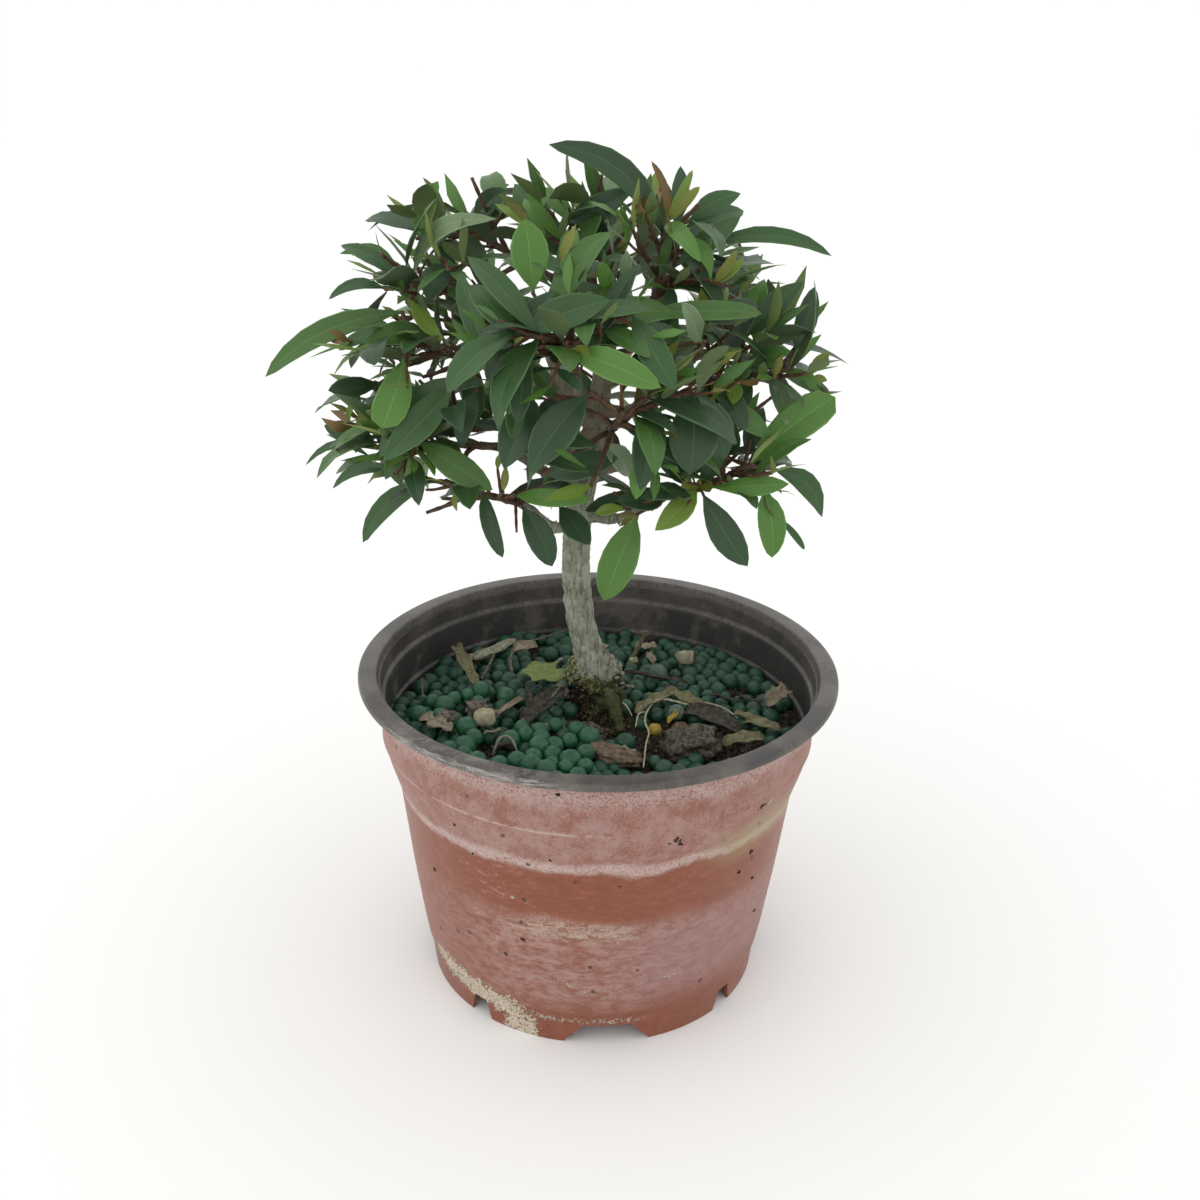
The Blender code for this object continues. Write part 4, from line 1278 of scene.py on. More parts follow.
@dataclass
class Splashes:
    """Specks of mix stuck to the pot's wall, and flakes of lime on its foot."""

    pot: Pot
    # where a speck is seen, or its turn and height where those were set, and then its reach
    specks: tuple[tuple[Seen | tuple[float, float], float], ...] = (
        (Seen(435, 870), 0.7),
        (Seen(455, 825), 0.6),
        (Seen(473, 853), 0.4),
        (Seen(523, 939), 0.9),
        (Seen(550, 860), 0.4),
        (Seen(558, 795), 0.5),
        (Seen(677, 840), 1.7),
        ((21.5, 78.6), 1.0),
        (Seen(739, 872), 0.5),
        (Seen(763, 806), 1.3),
        (Seen(751, 852), 0.9),
        (Seen(752, 878), 0.6),
        (Seen(755, 909), 0.6),
    )
    chalky: tuple[tuple[Seen | tuple[float, float], float], ...] = (
        ((49.0, 82.4), 1.1),
        ((-34.5, 68.2), 0.5),
        ((-22.5, 56.0), 0.4),
    )
    flakes: int = 230
    crust: tuple[float, float] = (-61.0, -23.0)
    # the crust's height, its slope and where that is taken
    crust_level: tuple[float, float, float] = (10.5, -0.10, -36.0)
    seed: int = 71
    rounds: int = 12  # of the search for where a line of sight meets the wall

    def radius_at(self, level: float) -> float:
        """The pot's outer radius at a height, in millimetres."""
        return self.pot.between(level)[0] + self.pot.wall / 2

    def on_wall(self, turn: float, level: float) -> Vector:
        """A place on the pot's outer wall, from its turn in degrees and its height."""
        radius, angle = self.radius_at(level), math.radians(turn)
        return Vector((radius * math.sin(angle), -radius * math.cos(angle), level)) * MM

    def spot_on_wall(self, spot: Seen | tuple[float, float]) -> tuple[float, float]:
        """The turn in degrees and the height of a spot on the wall."""
        if not isinstance(spot, Seen):
            return spot
        radius = self.radius_at(self.pot.height / 2)
        for _ in range(self.rounds):
            place = SIGHT.on_round(spot, radius)
            radius = (radius + self.radius_at(place.z)) / 2
        return math.degrees(math.atan2(place.x, -place.y)), place.z

    def make(self) -> None:
        """Builds the specks and the flakes."""
        rng = random.Random(self.seed)
        dark, lime = Shape(), Shape()
        for shape, rows in ((dark, self.specks), (lime, self.chalky)):
            for spot, reach in rows:
                turn, level = self.spot_on_wall(spot)
                for _ in range(round(4 + 6 * reach)):
                    place = self.on_wall(
                        turn + rng.gauss(0, 0.45) * reach,
                        level + rng.gauss(0, 0.35) * reach,
                    )
                    crumb(shape, place, rng.uniform(0.22, 0.5) * MM, rng)
        height, slope, middle = self.crust_level
        for _ in range(self.flakes):
            turn = rng.uniform(*self.crust)
            level = height + slope * (turn - middle) + rng.gauss(0, 1.7)
            if 1.0 < level and noise.noise(Vector((turn * 0.25, level * 0.35, 0.0))) > -0.12:
                crumb(lime, self.on_wall(turn, level), rng.uniform(0.2, 0.62) * MM, rng)
        kinds = (
            ("mud_specks", dark, tint(62, 52, 44), tint(34, 28, 25)),
            ("lime_flakes", lime, tint(214, 206, 190), tint(172, 160, 142)),
        )
        for name, shape, light, dim in kinds:
            material = GrainFinish(f"{name}_finish", light, dim, 1.5, 0.85, 0.1, 0.2).make()
            finish_piece(name, shape.mesh(name), material)


# ---- Potting mix, beads and litter ---------------------------------------------------------------------
@dataclass
class Scatter:
    """A Geometry Nodes tree that strews small lumps over a bed, and its sizes in millimetres."""

    name: str
    material: bpy.types.Material
    radius: float
    spacing: float
    rounds: int = 2
    smallest: float = 0.8
    largest: float = 1.2
    flatness: float = 1.0
    lift: float = 0.0
    seed: int = 1

    def tree(self) -> bpy.types.GeometryNodeTree:
        """The node tree: points on the bed, a lump on each, all made real and dressed."""
        tree = bpy.data.node_groups.new(self.name, "GeometryNodeTree")
        face = tree.interface
        face.new_socket("Geometry", in_out="INPUT", socket_type="NodeSocketGeometry")
        for label in ("Radius", "Spacing", "Smallest", "Largest", "Lift"):
            face.new_socket(label, in_out="INPUT", socket_type="NodeSocketFloat")
        face.new_socket("Seed", in_out="INPUT", socket_type="NodeSocketInt")
        face.new_socket("Geometry", in_out="OUTPUT", socket_type="NodeSocketGeometry")
        new, link = tree.nodes.new, tree.links.new
        given, result = new("NodeGroupInput"), new("NodeGroupOutput")
        cover = new("GeometryNodeInputNamedAttribute")
        cover.data_type = "FLOAT"
        cover.inputs["Name"].default_value = "cover"
        points = new("GeometryNodeDistributePointsOnFaces")
        points.distribute_method = "POISSON"
        points.inputs["Density Max"].default_value = 4e6
        link(given.outputs["Geometry"], points.inputs["Mesh"])
        link(given.outputs["Spacing"], points.inputs["Distance Min"])
        link(cover.outputs["Attribute"], points.inputs["Density Factor"])
        link(given.outputs["Seed"], points.inputs["Seed"])
        lump = new("GeometryNodeMeshIcoSphere")
        lump.inputs["Subdivisions"].default_value = self.rounds
        link(given.outputs["Radius"], lump.inputs["Radius"])
        squash = new("GeometryNodeTransform")
        squash.inputs["Scale"].default_value = (1.0, 1.0, self.flatness)
        link(lump.outputs["Mesh"], squash.inputs["Geometry"])
        scale, turn, rise = (new("FunctionNodeRandomValue") for _ in range(3))
        turn.data_type = "FLOAT_VECTOR"
        turn.inputs[1].default_value = (math.tau,) * 3
        if self.flatness != 1.0:
            turn.inputs[1].default_value = (0.8, 0.8, math.tau)
        link(given.outputs["Smallest"], scale.inputs[2])
        link(given.outputs["Largest"], scale.inputs[3])
        for node, shift in ((scale, 1), (turn, 2), (rise, 3)):
            add = new("ShaderNodeMath")
            add.inputs[1].default_value = shift
            link(given.outputs["Seed"], add.inputs[0])
            link(add.outputs[0], node.inputs["Seed"])
        place = new("GeometryNodeInstanceOnPoints")
        link(points.outputs["Points"], place.inputs["Points"])
        link(squash.outputs["Geometry"], place.inputs["Instance"])
        link(turn.outputs[0], place.inputs["Rotation"])
        link(scale.outputs[1], place.inputs["Scale"])
        link(given.outputs["Lift"], rise.inputs[3])
        lift, move = new("ShaderNodeCombineXYZ"), new("GeometryNodeTranslateInstances")
        link(rise.outputs[1], lift.inputs["Z"])
        link(place.outputs["Instances"], move.inputs["Instances"])
        link(lift.outputs["Vector"], move.inputs["Translation"])
        move.inputs["Local Space"].default_value = False
        real, paint = new("GeometryNodeRealizeInstances"), new("GeometryNodeSetMaterial")
        link(move.outputs["Instances"], real.inputs["Geometry"])
        link(real.outputs["Geometry"], paint.inputs["Geometry"])
        paint.inputs["Material"].default_value = self.material
        link(paint.outputs["Geometry"], result.inputs["Geometry"])
        return tree

    def strew(self, bed: bpy.types.Mesh) -> bpy.types.Mesh:
        """Strews the lumps.

        Args:
            bed: The surface to cover, with a point attribute named cover. It is used up.

        Returns:
            The lumps as one plain mesh.
        """
        obj = put(self.name, bed)
        tree = self.tree()
        edit = obj.modifiers.new("Strew", "NODES")
        edit.node_group = tree
        values = {
            "Radius": self.radius * MM,
            "Spacing": self.spacing * MM,
            "Smallest": self.smallest,
            "Largest": self.largest,
            "Lift": self.lift * MM,
            "Seed": self.seed,
        }
        for item in tree.interface.items_tree:
            if item.in_out == "INPUT" and item.name in values:
                edit[item.identifier] = values[item.name]
        mesh = applied(obj)
        bpy.data.node_groups.remove(tree)
        return mesh


@dataclass
class PottingMix:
    """The mix in the pot, with its relief, a mound under the trunk and a hollow in front of it."""

    radius: float = 65.0
    level: float = 83.4
    mound: float = 2.6
    mound_radius: float = 26.0
    trunk: tuple[float, float] = (0.0, 8.0)
    hollow: tuple[float, float, float] = (2.0, -7.0, 9.0)
    hollow_depth: float = 3.4
    bottom: float = 9.9
    rings: int = 56
    steps: int = 168

    def height(self, x: float, y: float) -> float:
        """The surface's height at a place."""
        away = math.hypot(x - self.trunk[0], y - self.trunk[1])
        swell = self.mound * math.exp(-((away / self.mound_radius) ** 2))
        dip = math.hypot(x - self.hollow[0], y - self.hollow[1]) / self.hollow[2]
        swell -= self.hollow_depth * math.exp(-dip * dip)
        place = Vector((x, y, 0.0))
        rough = noise.noise(place * 0.11) * 1.1 + noise.noise(place * 0.42) * 0.6
        rough += noise.noise(place * 1.3) * 0.35
        return self.level + swell + rough

    def surface(self, lift: float = 0.0, inset: float = 0.0) -> Shape:
        """The top surface as rings of points.

        Args:
            lift: How far above the mix it lies.
            inset: How far inside the wall it ends.

        Returns:
            The open surface.
        """
        shape = Shape()
        points = [Vector((0.0, 0.0, self.height(0.0, 0.0) + lift)) * MM]
        faces = []
        for i in range(1, self.rings + 1):
            radius = (self.radius - inset) * i / self.rings
            for k in range(self.steps):
                angle = 2 * math.pi * k / self.steps
                x, y = radius * math.cos(angle), radius * math.sin(angle)
                points.append(Vector((x, y, self.height(x, y) + lift)) * MM)
                n = (k + 1) % self.steps
                if i == 1:
                    faces.append([0, 1 + k, 1 + n])
                    continue
                low, high = 1 + (i - 2) * self.steps, 1 + (i - 1) * self.steps
                faces.append([low + k, high + k, high + n, low + n])
        shape.add(points, faces)
        return shape

    def bed(self, cover, lift: float = 0.0) -> bpy.types.Mesh:
        """The surface with a cover attribute, for strewing.

        Args:
            cover: A function of x and y that gives how much lies there, 0 to 1.
            lift: How far above the mix it lies.

        Returns:
            The mesh.
        """
        mesh = self.surface(lift, 1.2).mesh("bed")
        layer = mesh.attributes.new("cover", "FLOAT", "POINT")
        for vertex in mesh.vertices:
            layer.data[vertex.index].value = cover(vertex.co.x / MM, vertex.co.y / MM)
        return mesh

    def make(self) -> None:
        """Builds the plug of mix and dresses it."""
        shape = self.surface()
        start = len(shape.points) - self.steps
        rows = [(self.radius, 78.8), (61.4, 67.0), (52.6, self.bottom)]
        rings = [list(range(start, start + self.steps))]
        for radius, level in rows:
            rings.append(list(range(len(shape.points), len(shape.points) + self.steps)))
            for k in range(self.steps):
                angle = 2 * math.pi * k / self.steps
                shape.points.append(Vector((radius * math.cos(angle), radius * math.sin(angle), level)) * MM)
        for low, high in zip(rings, rings[1:]):
            for k in range(self.steps):
                n = (k + 1) % self.steps
                shape.faces.append([low[k], high[k], high[n], low[n]])
        shape.faces.append(list(reversed(rings[-1])))
        finish_piece("potting_mix", shape.mesh("potting_mix"), GroundFinish().make(), ("soil",))


Litter = tuple[str, Shape, Colour, Colour]  # a piece's name, its shape, and its lighter and darker colour


@dataclass
class Topping:
    """Water beads, crumbs, fallen leaves, chips, stalks and moss on the potting mix."""

    mix: PottingMix
    bead_radius: float = 2.75
    bead_spacing: float = 4.6
    dark_patch: tuple[float, float, float, float] = (30.0, -16.0, 24.0, 13.0)
    trunk_room: float = 9.5
    heap_gaps: tuple[tuple[float, float, float], ...] = (
        # x, y, radius: litter that the second layer leaves open
        (-35.0, -13.0, 5.5),
        (-34.0, -18.0, 5.0),
        (-37.0, -6.0, 5.5),
        (-49.0, -16.0, 7.0),
        (-28.0, -3.0, 5.0),
        (-27.5, -29.0, 5.5),
        (-18.0, -6.0, 8.0),
    )

    def bead_cover(self, x: float, y: float) -> float:
        """How much of a place the beads cover."""
        if math.hypot(x - self.mix.trunk[0], y - self.mix.trunk[1]) < self.trunk_room:
            return 0.0
        px, py, rx, ry = self.dark_patch
        cover = 1.0
        if ((x - px) / rx) ** 2 + ((y - py) / ry) ** 2 < 1:
            cover = 0.07
        hx, hy, size = self.mix.hollow
        if math.hypot(x - hx, y - hy) < size * 1.25:
            cover = 0.02
        if noise.noise(Vector((x, y, 7.0)) * 0.09) > 0.22:
            cover *= 0.35
        return cover

    def heap_cover(self, x: float, y: float) -> float:
        """How much of a place a second layer of beads covers."""
        heap = math.exp(-(((x + 34) / 30) ** 2 + ((y + 22) / 30) ** 2))
        heap = max(heap, 0.6 * math.exp(-(((x + 12) / 18) ** 2 + ((y + 45) / 14) ** 2)))
        if any(math.hypot(x - px, y - py) < room for px, py, room in self.heap_gaps):
            return 0.0
        return self.bead_cover(x, y) * (0.8 if heap > 0.3 else 0.0)

    def make_beads(self) -> None:
        """Two layers of teal-green beads: the upper layer's lighter greens are painted light, the lower layer's
        darker greens painted shade.
        """
        # the same beads in both layers: the lighter upper greens are painted light, the darker lower greens
        # painted shade
        shades = (
            ("beads_low_shaded", self.bead_cover, 1.2, 3, 1.0, tint(34, 84, 58), tint(22, 62, 44)),
            ("beads_high_lit", self.heap_cover, 4.6, 8, 1.1, tint(44, 104, 70), tint(28, 78, 54)),
        )
        for name, cover, lift, seed, size, light, dark in shades:
            finish = GrainFinish(f"{name}_gel", light, dark, 0.3, 0.40, 0.3, 0.55)
            material = finish.make()
            radius, spacing = self.bead_radius * size, self.bead_spacing * size
            scatter = Scatter(name, material, radius, spacing, 2, 0.8, 1.2, lift=0.9, seed=seed)
            finish_piece(name, scatter.strew(self.mix.bed(cover, lift)), material)

    def make_crumbs(self) -> None:
        """Dark crumbs of peat and paler grit."""
        kinds = (
            ("peat_crumbs", tint(70, 58, 46), tint(34, 28, 24), 0.75, 1.9, 21, 0.75),
            ("bark_grit", tint(150, 130, 104), tint(92, 74, 56), 0.65, 5.4, 22, 0.55),
        )
        for name, light, dark, radius, spacing, seed, flatness in kinds:
            material = GrainFinish(f"{name}_mix", light, dark, 1.2, 0.85, 0.2, 0.2).make()
            scatter = Scatter(name, material, radius, spacing, 1, 0.5, 1.5, flatness, 0.5, seed)
            bed = self.mix.bed(lambda x, y: 0.9, 0.2)
            finish_piece(name, scatter.strew(bed), material)

    def blade(
        self,
        shape: Shape,
        root: Sequence[float],
        tip: Sequence[float],
        width: float,
        rise: float,
        cup: float,
        lobes: float = 0.0,
        roll: float = 0.0,
    ) -> None:
        """Adds one fallen leaf as a thin closed sheet.

        Args:
            shape: The shape that it joins.
            root: Where it starts, with its height over the mix.
            tip: Where it ends, with its height over the mix.
            width: Its greatest width.
            rise: How far its middle rises.
            cup: How far its edges curl up.
            lobes: How deep its edge is lobed, as a share.
            roll: How far it is rolled about its length, in radians.
        """
        a, b = (Vector((x, y, self.mix.height(x, y) + z)) * MM for x, y, z in (root, tip))
        way = (b - a).normalized()
        normal = Matrix.Rotation(roll, 3, way) @ side_of(way)
        side = way.cross(normal)
        rows, across = 14, 6
        length = (b - a).length
        top = []
        for i in range(rows + 1):
            t = i / rows
            half = width * MM / 2 * (t + 0.04) ** 0.6 * max(1.02 - t, 0.0) ** 0.7 * 1.65
            ripple = math.sin(t * math.tau * 2.5) + 2.0 * noise.noise(Vector((t * 7.0, root[0], tip[1])))
            half *= 1 + lobes * ripple
            middle = a.lerp(b, t) + normal * (4 * rise * length * t * (1 - t))
            middle += normal * math.sin(t * 9.0) * 0.35 * MM
            for j in range(across + 1):
                s = 2 * j / across - 1
                curl = cup * half * s * s + 0.25 * MM * math.sin(7 * t + 5 * s)
                top.append(middle + side * s * half + normal * curl)
        lower = [p - normal * 0.25 * MM for p in top]
        faces, stride, count = [], across + 1, len(top)
        for i in range(rows):
            for j in range(across):
                ring = [i * stride + j, i * stride + j + 1, (i + 1) * stride + j + 1, (i + 1) * stride + j]
                faces.append(list(reversed(ring)))
                faces.append([count + n for n in ring])
        border = list(range(across + 1))
        border += [i * stride + across for i in range(1, rows + 1)]
        border += [rows * stride + j for j in range(across - 1, -1, -1)]
        border += [i * stride for i in range(rows - 1, 0, -1)]
        for m, n in zip(border, border[1:] + border[:1]):
            faces.append([m, n, count + n, count + m])
        shape.add(top + lower, faces)

    def lump(
        self,
        shape: Shape,
        place: Sequence[float],
        size: Sequence[float],
        turn: float,
        rough: float,
        seed: int,
        rounds: int = 3,
        square: float = 0.55,
    ) -> None:
        """Adds one rough lump or chip.

        Args:
            shape: The shape that it joins.
            place: Its middle, with its height over the mix.
            size: Its length, width and height.
            turn: Its turn about the vertical, in degrees.
            rough: How rough it is, as a share of its size.
            seed: Where its noise is read.
            rounds: How finely it is divided.
            square: How boxy it is, from 0 for round to 1.
        """
        made = bmesh.new()
        bmesh.ops.create_icosphere(made, subdivisions=rounds, radius=0.5)
        x, y, z = place
        base = Vector((x, y, self.mix.height(x, y) + z))
        spin = Matrix.Rotation(math.radians(turn), 3, "Z")
        for vertex in made.verts:
            p = vertex.co.normalized()
            boxed = p / max(abs(p.x), abs(p.y), abs(p.z))
            shell = p.lerp(boxed * 0.82, square) * 0.5
            coarse = noise.noise(shell * 4.2 + Vector((seed, 0, 0)))
            shift = coarse + 0.5 * noise.noise(shell * 11 + Vector((0, seed, 0)))
            shell *= 1 + rough * shift
            vertex.co = (base + spin @ Vector(shell[i] * size[i] for i in range(3))) * MM
        shape.add([v.co.copy() for v in made.verts], [[v.index for v in f.verts] for f in made.faces])
        made.free()

    def stalk(self, shape: Shape, rows: Sequence[Sequence[float]], thick: float, thin: float) -> None:
        """Adds a dry stalk or rootlet.

        Args:
            shape: The shape that it joins.
            rows: Places that it passes, with their heights over the mix.
            thick: Its radius at the start.
            thin: Its radius at the end.
        """
        line = [Vector((x, y, self.mix.height(x, y) + z)) * MM for x, y, z in rows]
        line = spline(line, 6)
        radii = [(thick + (thin - thick) * i / (len(line) - 1)) * MM for i in range(len(line))]
        shape.add(*tube_parts(line, radii, 6))

    def fallen_leaves(self) -> Iterable[Litter]:
        """Fallen leaves in five colours, curled and torn."""
        grey, olive, tan, dark, green, yellow = (Shape() for _ in range(6))
        rows = (
            # shape, root, tip (each with its height over the mix), width, rise, cup, tear, roll
            (grey, (-43, 33, 6), (-29, 45, 7.5), 8, 0.04, -0.2, 0.08, 0.0),
            (grey, (-46.5, 32, 5.5), (-36, 37, 5.5), 5, 0.04, 0.2, 0.05, 0.3),
            (grey, (-18, 27, 4.5), (-12, 34, 5), 2.5, 0.05, 0.3, 0.2, 0.0),
            (grey, (7, 14, 4.5), (12, 13, 4.5), 2.2, 0.05, 0.3, 0.3, 0.0),
            (grey, (7.5, -26, 5.2), (12, -28.5, 5), 2.4, 0.05, 0.3, 0.2, 0.0),
            (grey, (-35, -18, 5), (-29.5, -16.5, 5), 2, 0.05, 0.3, 0.2, 0.0),
            (grey, (-21, -12.5, 5), (-10, -13, 4.4), 3.4, 0.10, -0.8, 0.15, 0.5),
            (olive, (-49.5, 38, 8), (-39, 11, 5), 6, 0.03, 0.9, 0.16, 0.2),
            (olive, (12, -2, 4), (25, 7, 6.5), 5, 0.12, 0.6, 0.2, 0.3),
            (olive, (21, 8, 6), (34.5, 1, 4.5), 6.5, 0.06, 0.5, 0.22, 0.2),
            (olive, (43, -2, 5), (52, -6, 5), 4, 0.10, 0.5, 0.2, 0.2),
            (olive, (46, -6, 4), (57.5, -11.5, 4.5), 6, 0.10, 0.4, 0.25, 0.1),
            (olive, (38.5, -20, 4), (52, -18, 5), 6.5, 0.14, 0.5, 0.15, 0.4),
            (tan, (-29.5, 37, 6.5), (-21, 38.5, 8), 6.5, 0.12, 0.7, 0.06, 0.4),
            (tan, (-33, -8, 4.5), (-23.5, 2.5, 6), 3.6, 0.05, 0.7, 0.12, 0.0),
            (tan, (12.5, 45, 5.5), (20, 44, 7), 5.5, 0.05, 0.1, 0.2, 0.2),
            (tan, (17, 42, 5), (19, 34, 4.5), 4, 0.05, 0.4, 0.2, 0.0),
            (tan, (-55, -13, 7), (-44.5, -20, 7), 8, 0.06, 0.2, 0.32, 0.1),
            (tan, (54.5, 3, 5), (62, 9.5, 8), 7.5, 0.10, 0.9, 0.35, 0.3),
            (dark, (-24, -11.5, 4.6), (-11, 3.5, 7), 8.5, 0.10, 0.7, 0.15, 0.4),
            (dark, (27, -1, 4), (45, -12, 3.6), 10, 0.12, 0.5, 0.12, 0.2),
            (dark, (-31, -30, 4), (-23.5, -31, 4), 8, 0.45, 0.2, 0.05, -1.0),
            (dark, (8, 22.5, 5), (29.5, 18, 5), 3, 0.03, 0.5, 0.15, 0.0),
            (dark, (-23.5, 13, 5.4), (-21, -6, 4.5), 3, 0.05, 0.5, 0.2, 0.0),
            (dark, (37, 11.5, 4.5), (46, 6.5, 4.5), 2.4, 0.05, 0.4, 0.2, 0.0),
            (dark, (46, 12.5, 4.2), (53, 6, 4.2), 2.4, 0.05, 0.4, 0.2, 0.0),
            (green, (-24.5, 20, 8), (-11.5, 12.5, 7.2), 15, 0.03, 0.15, 0.26, 0.1),
            (yellow, (22, -10.5, 5), (25.5, -5.5, 6), 2.6, 0.10, 0.7, 0.1, 0.2),
        )
        for shape, *row in rows:
            self.blade(shape, *row)
        self.lump(yellow, (18, -12, 4.0), (4.4, 4.0, 3.8), 0, 0.06, 33, square=0.1)
        return (
            ("fallen_leaves_grey", grey, tint(158, 158, 136), tint(108, 108, 90)),
            ("fallen_leaves_olive", olive, tint(138, 136, 102), tint(96, 92, 68)),
            ("fallen_leaves_tan", tan, tint(164, 154, 130), tint(114, 102, 84)),
            ("fallen_leaves_dark", dark, tint(90, 84, 75), tint(44, 40, 36)),
            ("fallen_leaf_green", green, tint(134, 148, 88), tint(102, 114, 68)),
            ("yellow_scraps", yellow, tint(176, 156, 66), tint(140, 118, 48)),
        )

    def hard_litter(self) -> Iterable[Litter]:
        """Bark chips, clods, pebbles and clear beads."""
        chips, clod, crumbs, pale, clear = (Shape() for _ in range(5))
        self.lump(chips, (5, -28, 3.4), (20, 8.5, 4.2), -29, 0.28, 3, 4)
        self.lump(chips, (26, -9, 2.6), (6, 4, 3), 50, 0.3, 9)
        self.lump(clod, (29, -21, 4.4), (18, 13, 9.0), 4, 0.42, 12, 4)
        self.lump(clod, (-4, -9, 1.6), (13, 8, 5.0), -10, 0.5, 17, 4)
        self.lump(clod, (-1, -17, 1.8), (9, 6, 4.0), 30, 0.5, 18, 4)
        self.lump(crumbs, (-38, -5.5, 6.4), (7, 5.5, 5.5), 12, 0.5, 5, 4)
        self.lump(crumbs, (-33.5, -6, 4.4), (4.5, 4, 3.5), 40, 0.5, 6)
        self.lump(crumbs, (-47, -11.5, 6.8), (6.5, 4.5, 4.2), 20, 0.45, 7)
        self.lump(crumbs, (-12, 7, 4.6), (6, 5, 4.6), 20, 0.5, 8, 4)
        self.lump(pale, (-35, -13, 7.6), (7.2, 6.2, 5.8), 12, 0.10, 21, square=0.3)
        self.lump(pale, (-15, 2, 7.2), (2.8, 2.4, 2.2), 0, 0.1, 23)
        self.lump(pale, (29.5, 35.5, 6.0), (6.0, 3.4, 5.6), 10, 0.5, 25, square=0.3)
        self.lump(pale, (12, 36.5, 4.8), (3.2, 2.6, 2.4), 10, 0.3, 27)
        for x, y, size in ((-20, 25, 5.8), (25, -3, 5.2), (-12, 11, 4.6), (20, 26, 6.2)):
            self.lump(clear, (x, y, 4.6), (size, size, size), 0, 0.03, 29, square=0.0)
        return (
            ("bark_chips", chips, tint(134, 116, 98), tint(72, 58, 48)),
            ("peat_clods", clod, tint(112, 106, 92), tint(34, 29, 25)),
            ("grey_crumbs", crumbs, tint(134, 126, 116), tint(72, 64, 56)),
            ("pale_pebbles", pale, tint(186, 182, 154), tint(150, 142, 114)),
            ("clear_beads", clear, tint(112, 128, 116), tint(72, 92, 80)),
        )

    def threads(self) -> Iterable[Litter]:
        """Dry stalks and pale rootlets."""
        stalks, roots, edges = Shape(), Shape(), Shape()
        rows = (
            # shape, thickness at the start and at the end, places with their heights over the mix
            (stalks, 0.85, 0.7, ((10, 36, 2.5), (13, 38, 7.5), (15.7, 40, 12.8))),
            (
                stalks,
                0.5,
                0.35,
                ((-39, 20, 4), (-37, 29, 5.4), (-35, 38, 6), (-30, 43, 6.5), (-21, 48, 7), (-11, 57, 6.5)),
            ),
            (stalks, 0.6, 0.5, ((-29, 24, 4.5), (-30, 31, 5.5), (-29.5, 37, 6.8))),
            (stalks, 0.4, 0.25, ((-58, 15, 7), (-57, 8, 5.6), (-56, 4, 5), (-53, 5, 5.4), (-49, 4, 5.4))),
            (stalks, 0.5, 0.3, ((34, 38, 2.0), (32.8, 38, 6.5), (33, 38, 9.0))),
            (
                roots,
                0.34,
                0.22,
                ((29, 1, 6), (20, 2, 6.4), (16, -2, 5), (15, -8, 4.6), (16, -16, 5), (15, -23, 4.8), (14, -35, 4)),
            ),
            (roots, 0.3, 0.2, ((15, -2, 4.6), (13, -4, 4.8), (12, -11, 4))),
            (roots, 0.34, 0.22, ((33, 5, 5.5), (40, 1, 6), (44.5, -4, 5))),
            (roots, 0.3, 0.15, ((8, 2, 5), (9.5, -1, 5), (11, -3, 4))),
            (edges, 0.45, 0.3, ((-24, -12, 5), (-21, -6, 7), (-18, -3, 8), (-15, -1.5, 8), (-12, 3.5, 8.5))),
            (
                edges,
                0.45,
                0.45,
                ((-31, -30, 4), (-29.5, -27, 7.5), (-27, -25.5, 8.2), (-25, -27, 7), (-23.5, -31, 3.6)),
            ),
        )
        for shape, thick, thin, places in rows:
            self.stalk(shape, places, thick, thin)
        self.lump(stalks, (15.7, 40, 12.8), (2.4, 1.8, 2.6), 0, 0.2, 35)
        return (
            ("dry_stalks", stalks, tint(122, 114, 98), tint(84, 74, 60)),
            ("white_rootlets", roots, tint(206, 200, 176), tint(166, 156, 126)),
            ("curled_leaf_edges", edges, tint(150, 150, 138), tint(112, 110, 98)),
        )

    def make(self) -> None:
        """Lays everything on the mix."""
        self.make_beads()
        self.make_crumbs()
        for name, shape, light, dark in (*self.fallen_leaves(), *self.hard_litter(), *self.threads()):
            material = GrainFinish(f"{name}_finish", light, dark, 0.7, 0.75, 0.2, 0.25).make()
            finish_piece(name, shape.mesh(name), material)


# ---- Trunk and boughs ----------------------------------------------------------------------------------
@dataclass(frozen=True)
class Bough:
    """A limb from the trunk to the foot of one mass, and the mass that it carries. Millimetres."""

    name: str
    height: float  # where it leaves the trunk
    tip: tuple
    reach: tuple  # where its mass's main stem ends
    shoots: int = 4
    seed: int = 1
    root_radius: float = 1.9
    tip_radius: float = 1.3
    shoot_length: float = 22.0
    leaf: float = 24.0


TRUNK_LINE = (
    # x, y, z, radius
    (0.0, 8.0, 86.3, 7.6),
    (-0.2, 8.0, 91.0, 6.3),
    (-1.4, 7.9, 98.0, 5.3),
    (-3.6, 7.5, 106.0, 4.75),
    (-6.2, 6.8, 118.0, 4.5),
    (-7.5, 6.0, 131.0, 4.4),
    (-7.6, 5.0, 144.0, 4.25),
    (-6.5, 3.0, 159.0, 4.2),
    (-4.1, 1.2, 173.0, 3.9),
    (-1.8, 0.2, 186.0, 3.5),
    (-0.9, 0.5, 199.0, 2.5),
    (-1.8, 1.0, 212.0, 1.5),
)
FLARE_TOP = 104.0 * MM
FLARE_LOBES = 5
FLARE_DEPTH = 0.24  # share of the radius at the ground
BURLS = (
    # turn about the trunk in degrees (0 is the front), height, how far it stands out, spread
    (-80.0, 97.0, 2.6, 3.2),
    (78.0, 99.0, 2.9, 3.6),
)
